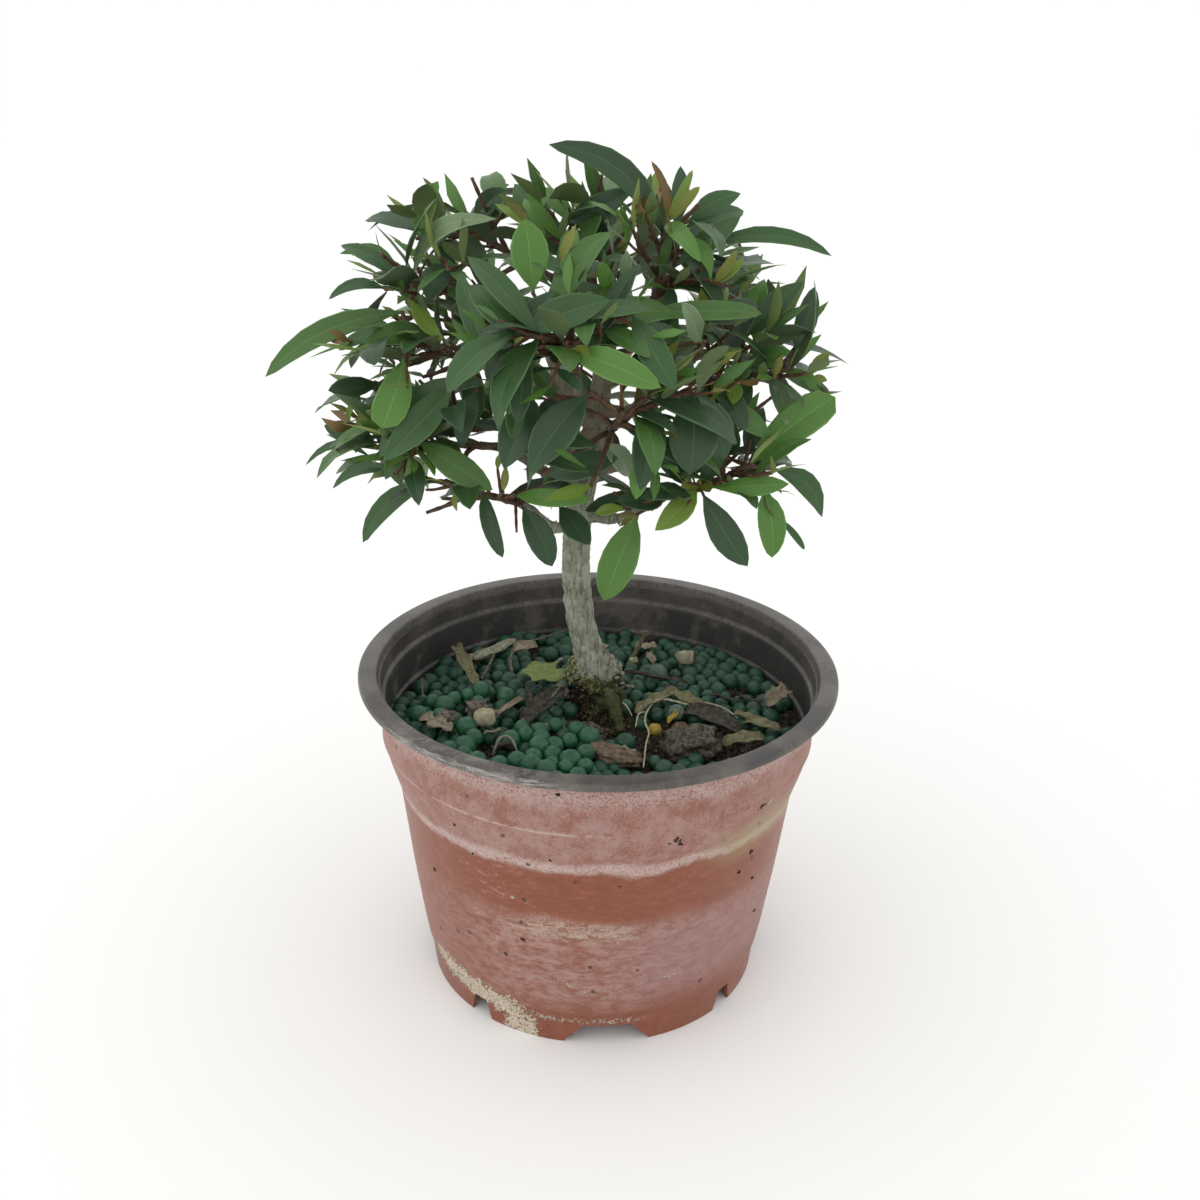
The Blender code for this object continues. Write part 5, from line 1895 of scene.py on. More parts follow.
BOUGHS = (
    Bough("bottom_left", 150.0, (-24, -13, 162), (-45, -18, 170), 3, 11),
    Bough("bottom_right", 154.0, (17, -12, 164), (42, -20, 178), 2, 12),
    Bough("low_back", 161.0, (-2, 24, 169), (-6, 50, 172), 5, 13),
    Bough("low_left", 165.0, (-31, -10, 178), (-58, -13, 181), 3, 14),
    Bough("low_back_right", 167.0, (20, 16, 173), (42, 34, 172), 4, 15),
    Bough("low_back_left", 169.5, (-24, 17, 175), (-48, 36, 173), 4, 16),
    Bough("front_low", 172.0, (1, -19, 185), (5, -41, 198), 2, 17),
    Bough("left", 177.0, (-30, -6, 199), (-55, -13, 211), 3, 18),
    Bough("back_right", 180.0, (19, 20, 193), (45, 37, 205), 5, 19),
    Bough("front", 184.0, (-8, -20, 203), (-12, -45, 219), 3, 20),
    Bough("back_left", 183.5, (-22, 20, 195), (-50, 37, 205), 5, 21),
    Bough("right", 187.0, (21, -6, 197), (53, -6, 202), 4, 22),
    Bough("upper_left", 190.0, (-24, -5, 217), (-53, -8, 225), 3, 23),
    Bough("back", 193.0, (3, 22, 209), (5, 48, 224), 5, 24, 1.6),
    Bough("upper_right", 196.0, (12, -7, 211), (16, -11, 244), 4, 25, 1.6, 1.1),
    Bough("top_left", 200.5, (-16, 9, 223), (-40, 14, 237), 4, 26, 1.5, 1.1),
)
LEADER = Bough("top", 212.0, (-1.8, 1.0, 212.0), (-7, 5, 240), 4, 27, tip_radius=1.5)
MASSES = (*BOUGHS, LEADER)
BOUGH_STEPS = 5
CLEARANCE = 0.3 * MM


def trunk_at(height: float) -> tuple[Vector, Vector, float]:
    """The trunk's centre, direction and radius at a height, all in metres."""
    rows = spline(TRUNK_LINE, 4)
    for low, high in zip(rows, rows[1:]):
        if high[2] * MM >= height:
            break
    share = (height / MM - low[2]) / (high[2] - low[2])
    here = low.lerp(high, share)
    direction = Vector(high[:3]) - Vector(low[:3])
    return Vector(here[:3]) * MM, direction.normalized(), here[3] * MM


def trunk_swell(angle: float, height: float, radius: float) -> float:
    """The radius that root lobes and burls give the trunk.

    Args:
        angle: The angle from the front, in radians.
        height: The height, in metres.
        radius: The plain radius there, in metres.

    Returns:
        The radius, in metres.
    """
    fall = max(0.0, (FLARE_TOP - height) / (FLARE_TOP - TRUNK_LINE[0][2] * MM))
    lobes = math.cos(FLARE_LOBES * angle + 0.6) + 0.4 * math.cos(3 * angle - 1.0)
    swollen = radius * (1 + FLARE_DEPTH * fall**2 * lobes)
    for turn, level, proud, spread in BURLS:
        away = math.remainder(angle - math.radians(turn), 2 * math.pi) * radius / MM
        gap = math.hypot(away, height / MM - level) / spread
        swollen += proud * MM * math.exp(-gap * gap)
    return swollen


def bough_line(bough: Bough) -> list[Vector]:
    """The bough's centre line: square out of the trunk, then up or down to its tip."""
    centre, axis, radius = trunk_at(bough.height * MM)
    tip = Vector(bough.tip) * MM
    out = side_of(axis, tip - centre)
    start = centre + out * (radius + 2 * CLEARANCE)
    length = (tip - start).length
    heading = (Vector(bough.reach) * MM - tip).normalized()
    return bezier(start, start + out * length * 0.4, tip - heading * length * 0.3, tip, BOUGH_STEPS)


@dataclass
class BarkSkin:
    """The bark over the trunk and the boughs, fused and given furrows, plates and spurs."""

    sides: int = 26
    voxel: float = 0.42
    furrow: float = 0.42
    collar: float = 1.2
    spur_spacing: float = 9.0
    roots: tuple = (
        # x, y, z, radius: where the trunk's foot spreads over the mix
        ((2.5, 5.0, 93.0, 3.0), (4.6, 1.5, 89.5, 2.7), (6.2, -2.5, 86.6, 2.0), (7.6, -6.0, 83.6, 1.2)),
        ((3.0, 9.0, 91.0, 3.0), (6.5, 10.5, 88.0, 2.4), (10.0, 12.0, 84.4, 1.4)),
    )
    seed: int = 61

    def trunk_parts(self) -> Parts:
        """The trunk as a closed loft over its swollen rings."""
        rows = spline(TRUNK_LINE, 6)
        points = []
        for i, row in enumerate(rows):
            centre, radius = Vector(row[:3]) * MM, row[3] * MM
            before, after = rows[max(i - 1, 0)], rows[min(i + 1, len(rows) - 1)]
            axis = (Vector(after[:3]) - Vector(before[:3])).normalized() if i else UP
            front = side_of(axis, FRONT)
            right = axis.cross(front)
            for k in range(self.sides):
                angle = 2 * math.pi * k / self.sides
                out = front * math.cos(angle) + right * math.sin(angle)
                points.append(centre + out * trunk_swell(angle, centre.z, radius))
        return points, tube_faces(len(rows), self.sides)

    def bough_parts(self, bough: Bough) -> Parts:
        """A bough as a closed tube from inside the trunk to just inside its mass's stem."""
        line = bough_line(bough)
        centre, _, _ = trunk_at(bough.height * MM)
        line = resample([centre, *line], 1.6 * MM)
        whole = length_of(line)
        radii, gone = [], 0.0
        for i, place in enumerate(line):
            gone += (place - line[i - 1]).length if i else 0.0
            share = gone / whole
            radius = bough.root_radius * (1 - share) + bough.tip_radius * share
            radii.append((radius + self.collar * max(0.0, 1 - gone / (9.0 * MM)) ** 2) * MM)
        return tube_parts(line, radii, 12)

    def spurs(self, shape: Shape) -> None:
        """Adds short pruned stubs and knots on the trunk's upper half and the boughs."""
        rng = random.Random(self.seed)
        for bough in BOUGHS:
            line = bough_line(bough)
            for k in range(int(length_of(line) / MM / self.spur_spacing) + 1):
                place, way = along(line, rng.uniform(0.1, 0.9))
                self.stub(shape, place, way, rng, rng.uniform(1.5, 4.5))
        for height in range(122, 206, 6):
            centre, axis, radius = trunk_at((height + rng.uniform(-2, 2)) * MM)
            self.stub(shape, centre, axis, rng, radius / MM + rng.uniform(0.6, 3.0))

    def stub(self, shape: Shape, place: Vector, way: Vector, rng: random.Random, length: float) -> None:
        """Adds one stub.

        Args:
            shape: The shape that it joins.
            place: Its root, in a limb's middle.
            way: The limb's direction.
            rng: Where its random sizes come from.
            length: Its length from the limb's middle.
        """
        across = side_of(way)
        turn = rng.uniform(0, math.tau)
        out = across * math.cos(turn) + way.cross(across) * math.sin(turn)
        aim = (out + way * rng.uniform(0.1, 0.8)).normalized()
        line = [place + aim * length * MM * i / 3 for i in range(4)]
        radius = rng.uniform(0.45, 0.8)
        shape.add(*tube_parts(line, [radius * 1.5 * MM, radius * MM, radius * 0.9 * MM, radius * 0.5 * MM], 6))

    def relief(self, place: Vector) -> float:
        """How far the bark stands out or lies back at a place, in millimetres."""
        p = place / MM
        long = Vector((p.x * 0.75, p.y * 0.75, p.z * 0.16))
        ridge = 1 - abs(noise.noise(long + Vector((3.1, 0, 0)))) * 2.2
        crack = max(0.0, ridge - 0.55) / 0.45
        lumps = noise.noise(p * 0.28) * 0.5 + noise.noise(p * 0.75) * 0.28 + noise.noise(p * 2.1) * 0.14
        old = min(max((175.0 - p.z) / 30.0, 0.45), 1.0)
        foot = min(max((100.0 - p.z) / 12.0, 0.0), 1.0)
        return (lumps * (0.75 + foot) - crack * self.furrow) * old

    def make(self) -> None:
        """Builds the skin, in place of the trunk and every bough."""
        shape = Shape()
        shape.add(*self.trunk_parts())
        for bough in BOUGHS:
            shape.add(*self.bough_parts(bough))
        for rows in self.roots:
            line = spline(rows, 5)
            shape.add(*tube_parts([Vector(row[:3]) * MM for row in line], [row[3] * MM for row in line], 14))
        self.spurs(shape)
        obj = put("bark_form", shape.mesh("bark_form"))
        fuse = obj.modifiers.new("Fuse", "REMESH")
        fuse.mode = "VOXEL"
        fuse.voxel_size = self.voxel * MM
        mesh = applied(obj)
        made = bmesh.new()
        made.from_mesh(mesh)
        for _ in range(2):
            bmesh.ops.smooth_vert(
                made, verts=made.verts, factor=0.5, use_axis_x=True, use_axis_y=True, use_axis_z=True
            )
        made.normal_update()
        shifts = [vertex.normal * self.relief(vertex.co) * MM for vertex in made.verts]
        for vertex, shift in zip(made.verts, shifts):
            vertex.co += shift
        made.to_mesh(mesh)
        made.free()
        nodes = ["trunk", *(f"bough_{bough.name}" for bough in BOUGHS)]
        finish_piece("trunk_bark", mesh, BarkFinish().make(), nodes)


@dataclass
class Moss:
    """Moss, rotting fibre and lichen on the foot of the trunk, as small tufts of points."""

    tufts: int = 760
    spines: tuple[int, int] = (3, 6)
    length: tuple[float, float] = (0.7, 2.0)
    thickness: float = 0.36
    top: float = 97.5
    bottom: float = 84.0
    spread: float = 11.0
    flakes: int = 190
    flake: tuple[float, float] = (0.35, 0.95)
    seed: int = 51

    @staticmethod
    def on_trunk(angle: float, height: float) -> tuple[Vector, Vector]:
        """A place on the trunk's surface, and the way out from it."""
        centre, _, radius = trunk_at(height)
        out = Vector((math.sin(angle), -math.cos(angle), 0.0))
        return centre + out * trunk_swell(angle, height, radius), out

    def tuft(self, shape: Shape, place: Vector, out: Vector, rng: random.Random) -> None:
        """Adds one tuft.

        Args:
            shape: The shape that it joins.
            place: Its root.
            out: The surface's direction there.
            rng: Where its random sizes come from.
        """
        thick = self.thickness * MM
        for _ in range(rng.randint(*self.spines)):
            lean = Vector([rng.uniform(-0.8, 0.8) for _ in range(3)])
            reach = (out + lean).normalized() * rng.uniform(*self.length) * MM
            root = place + lean * 0.5 * MM - out * 0.2 * MM
            line = [root, root + reach * 0.6, root + reach]
            shape.add(*tube_parts(line, [thick, thick * 0.8, thick * 0.2], 4))

    def make(self, mix: PottingMix) -> None:
        """Builds the tufts and crumbs.

        Args:
            mix: The potting mix that the outer ones stand on.
        """
        rng = random.Random(self.seed)
        green, olive, brown, pale, white = (Shape() for _ in range(5))
        x0, y0 = TRUNK_LINE[0][0], TRUNK_LINE[0][1]
        for k in range(self.tufts):
            angle = rng.uniform(-math.pi, math.pi)
            right = math.sin(angle) > 0.1
            shape = rng.choice((green, green, olive) if right else (olive, brown, brown))
            if k % 2:
                away = 5.0 + self.spread * rng.random() ** 2
                x, y = x0 + away * math.sin(angle), y0 - away * math.cos(angle)
                place, out = Vector((x, y, mix.height(x, y))) * MM, UP
            else:
                height = self.bottom + (self.top - self.bottom) * rng.random() ** 1.2
                place, out = self.on_trunk(angle, height * MM)
            self.tuft(shape, place, out, rng)
            crumb(shape, place + out * 0.2 * MM, rng.uniform(*self.flake) * MM, rng)
        for k in range(self.flakes):
            turn, level, _, spread = BURLS[k % len(BURLS)]
            angle = math.radians(turn * 1.15 + rng.gauss(0, 20))
            place, out = self.on_trunk(angle, (level + 1.5 + rng.gauss(0, 0.7) * spread) * MM)
            place += out * rng.uniform(0.0, 1.8) * MM
            crumb(white if k % len(BURLS) else pale, place, rng.uniform(*self.flake) * MM, rng)
        for k in range(self.flakes):
            angle = math.radians(rng.uniform(-70, 20))
            place, out = self.on_trunk(angle, rng.gauss(96.0, 1.3) * MM)
            crumb(rng.choice((pale, olive)), place + out * 0.2 * MM, rng.uniform(*self.flake) * 0.8 * MM, rng)
        kinds = (
            ("moss_green", green, tint(78, 90, 40), tint(48, 58, 28)),
            ("moss_olive", olive, tint(118, 116, 70), tint(70, 68, 42)),
            ("moss_brown", brown, tint(56, 47, 37), tint(30, 25, 22)),
            ("lichen_green", pale, tint(160, 164, 118), tint(108, 112, 76)),
            ("lichen_white", white, tint(176, 174, 160), tint(124, 118, 100)),
        )
        for name, shape, light, dark in kinds:
            material = GrainFinish(f"{name}_finish", light, dark, 1.5, 0.85, 0.1, 0.2).make()
            finish_piece(name, shape.mesh(name), material)


# ---- The growth rule -------------------------------------------------------------------------------------
TWIG_SIDES = 3
STEM_RADII = (1.15 * MM, 0.75 * MM)  # at the root and at the tip
SHOOT_RADII = (0.8 * MM, 0.5 * MM)
FINE_RADII = (0.55 * MM, 0.35 * MM)
CELL_MARGIN = 1.2 * MM  # between two masses
LIMB_MARGIN = 0.8 * MM
CROWN_CENTRE = Vector((-11.0, 0.0, 198.0)) * MM  # of the rounded room that holds every unmarked leaf
CROWN_REACH = Vector((78.0, 71.0, 60.0)) * MM
LEAF_THICKNESS = 0.034  # share of its length, of the plain blade that the rule tries
LEAF_SPACING = 3.2 * MM  # between the midribs of neighbouring leaves
FINE_SPACING = 2.7 * MM
LEAF_TRIES = 9
SPINE = (0.4, 0.6, 0.8, 1.0)  # places along a midrib
BARE_STALK = 0.14  # share of a leaf that may lie among other pieces
INTERNODE = 9.0 * MM
SESSILE = 4.5 * MM  # a marked leaf nearer than this to the main stem sits on it
SHOW_FACE = Vector((0.0, -0.85, 0.53))  # where the marked leaves' upper sides look

MarkedRow = tuple[str, Spot, Spot, float, Tone, float, float]
D, G, M, F = Tone.DARK, Tone.DEEP, Tone.MID, Tone.FRESH
L, P, Y, B = Tone.LIME, Tone.PALE, Tone.YOUNG, Tone.BRONZE
# Leaves that mark the crown's outline and its face. A row has the mass, the root and the tip, then width, colour,
# arch and sickle. An end is where it is seen, or its place in millimetres where that was set.
MARKED_LEAVES = (
    ("top", (-2, 3, 243), (-7, 1, 257), 5, M, 0.03, 0.05),
    ("top", (-12, 0, 240), (7, -4, 250), 9, D, 0.08, 0.05),
    ("upper_right", Seen(655, 238, -12), (-16, -16, 262), 8.5, D, 0.06, 0.13),
    ("upper_right", Seen(690, 222, -6), Seen(740, 192, -2), 7, G, 0.10, 0.0),
    ("upper_right", Seen(664, 225, -14), Seen(700, 262, -30), 6, F, 0.16, 0.04),
    ("upper_right", Seen(712, 243, -8), Seen(832, 256, -10), 5.5, G, 0.05, -0.11),
    ("top_left", Seen(416, 240, 4), Seen(438, 180, 2), 7, F, 0.02, -0.06),
    ("top_left", Seen(475, 222, 14), Seen(546, 189, 20), 5, G, 0.10, 0.0),
    ("upper_left", Seen(396, 264, -2), Seen(338, 254, 0), 5, M, 0.04, 0.12),
    ("upper_left", Seen(412, 300, -12), Seen(442, 342, -22), 5, L, 0.05, 0.0),
    ("upper_left", Seen(412, 275, -14), Seen(498, 218, -24), 6, P, 0.20, -0.16),
    ("upper_left", Seen(384, 290, 2), Seen(329, 298, 6), 4, G, 0.05, 0.15),
    ("left", Seen(402, 311, -8), Seen(267, 378, -14), 8, M, 0.05, 0.10),
    ("left", Seen(410, 330, -18), Seen(340, 352, -14), 5, G, 0.05, 0.12),
    ("left", Seen(402, 356, -28), Seen(383, 428, -38), 11, F, 0.06, -0.05),
    ("low_left", Seen(378, 447, -10), Seen(324, 424, -6), 8, D, 0.05, 0.0),
    ("low_left", Seen(372, 460, -6), Seen(307, 466, 2), 3, G, 0.04, 0.18),
    ("low_left", Seen(452, 385, -30), Seen(385, 462, -38), 10, G, 0.06, 0.0),
    ("low_left", Seen(418, 438, -30), Seen(494, 492, -34), 9, M, 0.06, 0.0),
    ("low_left", Seen(398, 475, -10), Seen(333, 490, -4), 4.5, G, 0.04, 0.12),
    ("bottom_left", Seen(430, 482, -16), Seen(362, 542, -14), 7, G, 0.05, 0.12),
    ("bottom_left", Seen(482, 492, -20), Seen(504, 558, -26), 5.5, D, 0.06, 0.05),
    ("bottom_left", Seen(522, 505, -18), Seen(552, 566, -22), 9, D, 0.06, 0.0),
    ("bottom_left", Seen(516, 496, -26), Seen(592, 498, -34), 6, F, 0.10, 0.0),
    ("bottom_right", Seen(638, 514, -18), Seen(602, 601, -25), 12, F, 0.05, 0.0),
    ("bottom_right", Seen(698, 489, -22), Seen(656, 532, -28), 8, L, 0.06, 0.0),
    ("bottom_right", Seen(702, 490, -22), Seen(748, 567, -26), 10, D, 0.06, 0.0),
    ("bottom_right", Seen(765, 490, -20), Seen(772, 557, -24), 9, F, 0.06, 0.0),
    ("bottom_right", Seen(772, 470, -16), Seen(824, 517, -14), 7.5, G, 0.05, -0.14),
    ("bottom_right", Seen(760, 453, -20), Seen(836, 397, -18), 12, F, 0.04, 0.0),
    ("right", Seen(745, 335, -8), Seen(806, 281, -4), 8, G, 0.08, 0.0),
    ("right", Seen(795, 355, -2), Seen(816, 286, 4), 7, D, 0.05, 0.06),
    ("right", Seen(720, 380, -20), Seen(748, 430, -28), 8, D, 0.06, 0.0),
    ("front", Seen(534, 292, -38), Seen(527, 219, -36), 11, F, 0.03, 0.0),
    ("front", Seen(522, 330, -44), Seen(611, 299, -46), 10, G, 0.06, 0.0),
    ("front", Seen(482, 356, -42), Seen(556, 292, -40), 8, D, 0.06, 0.0),
    ("front", Seen(636, 312, -40), Seen(676, 388, -48), 9, G, 0.08, 0.0),
    ("front", Seen(568, 352, -50), Seen(661, 386, -58), 9, F, 0.05, 0.0),
    ("front", Seen(512, 352, -46), Seen(508, 415, -54), 8, G, 0.05, 0.0),
    ("front_low", Seen(590, 390, -44), Seen(528, 474, -54), 12, D, 0.06, 0.0),
    ("front_low", Seen(528, 385, -36), Seen(505, 468, -46), 11, D, 0.06, 0.0),
    ("front_low", Seen(690, 388, -34), Seen(690, 476, -44), 15, D, 0.05, 0.0),
    ("front_low", Seen(652, 405, -36), Seen(640, 492, -46), 10, D, 0.06, 0.0),
)
# Leaves of the finer twigs that show in front of the others, in the same terms.
FINER_LEAVES = (
    ("top_left", Seen(472, 216, 16), Seen(507, 189, 2), 8, D, 0.06, 0.00),
    ("left", Seen(432, 332, -16), Seen(365, 344, -26), 8, M, 0.06, 0.00),
    ("left", Seen(460, 376, -26), Seen(379, 457, -32), 10.5, G, 0.04, 0.04),
    ("left", Seen(378, 385, -4), Seen(327, 392, -12), 7, D, 0.05, 0.00),
    ("left", Seen(478, 390, -24), Seen(462, 449, -28), 7, D, 0.05, 0.10),
    ("upper_left", Seen(445, 262, -12), Seen(430, 302, -28), 8.5, D, 0.05, 0.00),
    ("low_left", Seen(414, 434, -26), Seen(387, 479, -30), 5, G, 0.08, 0.00),
    ("low_left", Seen(348, 424, -14), Seen(356, 399, -12), 2, L, 0.10, -0.10),
    ("low_left", Seen(352, 426, -14), Seen(375, 404, -10), 4, Y, 0.08, 0.00),
    ("low_left", Seen(461, 489, -22), Seen(459, 513, -24), 2, Y, 0.08, 0.15),
    ("front_low", Seen(541, 476, -30), Seen(618, 457, -34), 9, D, 0.07, 0.00),
    ("bottom_left", Seen(560, 503, -16), Seen(592, 544, -30), 8.5, D, 0.05, 0.00),
    ("bottom_left", Seen(503, 494, -24), Seen(505, 466, -24), 2.6, Y, 0.03, 0.00),
    ("upper_right", Seen(686, 227, -4), Seen(743, 212, 8), 7, G, 0.07, 0.00),
    ("upper_right", Seen(674, 200, -10), Seen(653, 161, -12), 2.6, B, 0.03, 0.10),
    ("upper_right", Seen(676, 204, -10), Seen(692, 171, -12), 3, L, 0.03, 0.00),
    ("upper_right", Seen(678, 208, -10), Seen(702, 185, -14), 3.6, Y, 0.04, 0.00),
    ("upper_right", Seen(712, 281, -22), Seen(686, 236, -24), 4.6, F, 0.12, 0.12),
    ("upper_right", Seen(716, 283, -20), Seen(738, 251, -22), 3, Y, 0.03, 0.00),
    ("upper_right", Seen(718, 281, -20), Seen(744, 260, -22), 3, L, 0.04, 0.00),
    ("front", Seen(627, 279, -30), Seen(629, 250, -32), 3.6, P, 0.03, 0.00),
    ("front", Seen(613, 286, -30), Seen(600, 262, -38), 5, F, 0.05, 0.00),
    ("upper_right", Seen(645, 313, -26), Seen(764, 314, -20), 6.2, M, 0.14, 0.00),
    ("right", Seen(700, 316, -22), Seen(757, 306, -8), 8.5, D, 0.04, 0.00),
    ("front", Seen(708, 343, -28), Seen(681, 304, -42), 7, P, 0.05, 0.00),
    ("right", Seen(744, 367, -10), Seen(792, 350, -24), 7.5, M, 0.06, 0.00),
    ("right", Seen(811, 375, -8), Seen(829, 352, -8), 3.6, Y, 0.05, -0.10),
    ("right", Seen(814, 376, -8), Seen(829, 380, -8), 2.6, Y, 0.05, 0.00),
    ("right", Seen(787, 379, -10), Seen(821, 392, -12), 5, F, 0.07, 0.00),
    ("right", Seen(702, 380, -26), Seen(726, 351, -28), 4, L, 0.04, 0.00),
    ("right", Seen(715, 397, -24), Seen(771, 437, -26), 7, M, 0.07, 0.00),
    ("right", Seen(733, 378, -18), Seen(735, 406, -28), 5, L, 0.03, 0.00),
    ("right", Seen(771, 383, -10), Seen(787, 426, -20), 6, P, 0.07, 0.00),
    ("front_low", Seen(660, 441, -40), Seen(637, 498, -42), 6.4, F, 0.05, 0.10),
    ("front_low", Seen(699, 386, -34), Seen(727, 460, -36), 11, D, 0.05, 0.00),
    ("front_low", Seen(630, 480, -22), Seen(602, 447, -36), 7.5, P, 0.06, 0.00),
    ("bottom_right", Seen(747, 460, -14), Seen(765, 408, -12), 6.6, D, 0.05, 0.00),
    ("bottom_right", Seen(727, 458, -12), Seen(736, 422, -24), 6.5, D, 0.04, 0.00),
    ("bottom_right", Seen(708, 487, -24), Seen(790, 484, -26), 6.6, F, 0.09, 0.00),
    ("bottom_right", Seen(784, 521, -12), Seen(805, 550, -12), 2.4, G, 0.10, 0.00),
    ("bottom_right", Seen(622, 508, -24), Seen(594, 512, -26), 3.8, L, 0.06, 0.00),
    ("bottom_right", Seen(690, 479, -14), Seen(654, 457, -26), 7.5, D, 0.06, 0.00),
    ("bottom_right", Seen(660, 492, -14), Seen(616, 499, -26), 8, D, 0.06, 0.00),
)
ROUND_TIPS = (Seen(760, 453, -20), Seen(402, 356, -28))  # the roots of marked leaves with rounded tips


@dataclass
class Twig:
    """One twig: its line of points, its radius at both ends and its age class."""

    line: list[Vector]
    radii: tuple[float, float]
    fine: bool = False


@dataclass
class Leaf:
    """One leaf from its root, in the twig's middle, to its tip."""

    root: Vector
    tip: Vector
    normal: Vector
    width: float
    arch: float  # how far its middle rises over the chord, as a share of the length
    marked: bool = False
    tone: Tone = Tone.DARK
    sickle: float = 0.0  # how far it bends sideways, as a share of the length
    lift: float | None = None  # the arch that it is dressed with, where that differs
    young: bool = False
    blunt: bool = False
    face: Vector | None = None  # where its upper side looks when it is dressed, if not along the normal

    @property
    def length(self) -> float:
        """From root to tip."""
        return (self.tip - self.root).length

    def point(self, share: float, across: float = 0.0) -> Vector:
        """A place on the plain blade: share along it, and across it in half widths."""
        chord = self.tip - self.root
        side = chord.cross(self.normal).normalized()
        rise = 4 * self.arch * chord.length * share * (1 - share)
        fold = 0.08 * self.width * abs(across)
        return self.root + chord * share + self.normal * (rise + fold) + side * across * self.width / 2


def twig_parts(twig: Twig) -> Parts:
    """Points and faces of a plain twig with flat ends."""
    last = len(twig.line) - 1
    radii = [twig.radii[0] + (twig.radii[1] - twig.radii[0]) * i / last for i in range(last + 1)]
    return tube_parts(twig.line, radii, TWIG_SIDES)


def leaf_parts(leaf: Leaf) -> Parts:
    """Points and faces of the plain blade that the rule tries: twelve for a marked leaf, eight for another."""
    edge = [(0.5, -1.12), (1.0, 0.0), (0.5, 1.12)]
    if leaf.marked:
        edge = [(0.34, -0.95), (0.72, -0.82), (1.0, 0.0), (0.72, 0.82), (0.34, 0.95)]
    points = [leaf.root] + [leaf.point(share, across) for share, across in edge]
    middle = leaf.point(0.5)
    half = leaf.normal * leaf.length * LEAF_THICKNESS / 2
    points += [middle + half, middle - half]
    top, under = len(points) - 2, len(points) - 1
    faces = []
    for i in range(len(edge) + 1):
        j = (i + 1) % (len(edge) + 1)
        faces += [(i, top, j), (j, under, i)]
    return points, faces


class Space:
    """The room that each mass keeps to, and the limbs and other masses that no leaf may touch."""

    def __init__(self) -> None:
        """Books the trunk and the boughs."""
        rows = spline(TRUNK_LINE, 2)
        limbs = [([Vector(r[:3]) * MM for r in rows], (5.2 * MM, 2.6 * MM))]
        for bough in BOUGHS:
            limbs.append((bough_line(bough), (bough.root_radius * 1.2 * MM, bough.tip_radius * MM)))
        parts = []
        for line, (thick, thin) in limbs:
            last = len(line) - 1
            parts.append(tube_parts(line, [thick + (thin - thick) * i / last for i in range(last + 1)], 6))
        self.limbs = tree_of(parts)
        self.skeletons: dict[str, list[Vector]] = {}
        self.solids: dict[str, BVHTree] = {}
        self.owners: list[str] = []
        self.nearest: KDTree | None = None

    def settle(self, name: str, twigs: Sequence[Twig], leaves: Sequence[Leaf]) -> None:
        """Books the room of a mass's twigs and marked leaves."""
        self.skeletons[name] = [p for twig in twigs for p in resample(twig.line, 2 * MM)]
        self.solids[name] = tree_of([twig_parts(t) for t in twigs] + [leaf_parts(leaf) for leaf in leaves])

    def divide(self) -> None:
        """Shares the crown out: every place belongs to the mass whose twigs are nearest."""
        total = sum(len(points) for points in self.skeletons.values())
        self.nearest = KDTree(total)
        for name, points in self.skeletons.items():
            for place in points:
                self.nearest.insert(place, len(self.owners))
                self.owners.append(name)
        self.nearest.balance()

    def free(self, name: str, place: Vector) -> bool:
        """Whether a place is in the mass's own room, clear of every limb.

        Args:
            name: The mass.
            place: The place.

        Returns:
            True if it is.
        """
        offset = place - CROWN_CENTRE
        if sum((offset[i] / CROWN_REACH[i]) ** 2 for i in range(3)) > 1:
            return False
        if self.limbs.find_nearest(place, LIMB_MARGIN)[0] is not None:
            return False
        first = self.nearest.find(place)
        if self.owners[first[1]] != name:
            return False
        close = self.nearest.find_range(place, first[2] + 2 * CELL_MARGIN)
        if any(self.owners[index] != name for _, index, _ in close):
            return False
        return not any(
            tree.find_nearest(place, CELL_MARGIN)[0] is not None
            for other, tree in self.solids.items()
            if other != name
        )

    def crosses(self, name: str, parts: Parts) -> bool:
        """Whether a part cuts a limb or a piece of another mass."""
        tree = tree_of([parts])
        if tree.overlap(self.limbs):
            return True
        return any(tree.overlap(other) for owner, other in self.solids.items() if owner != name)


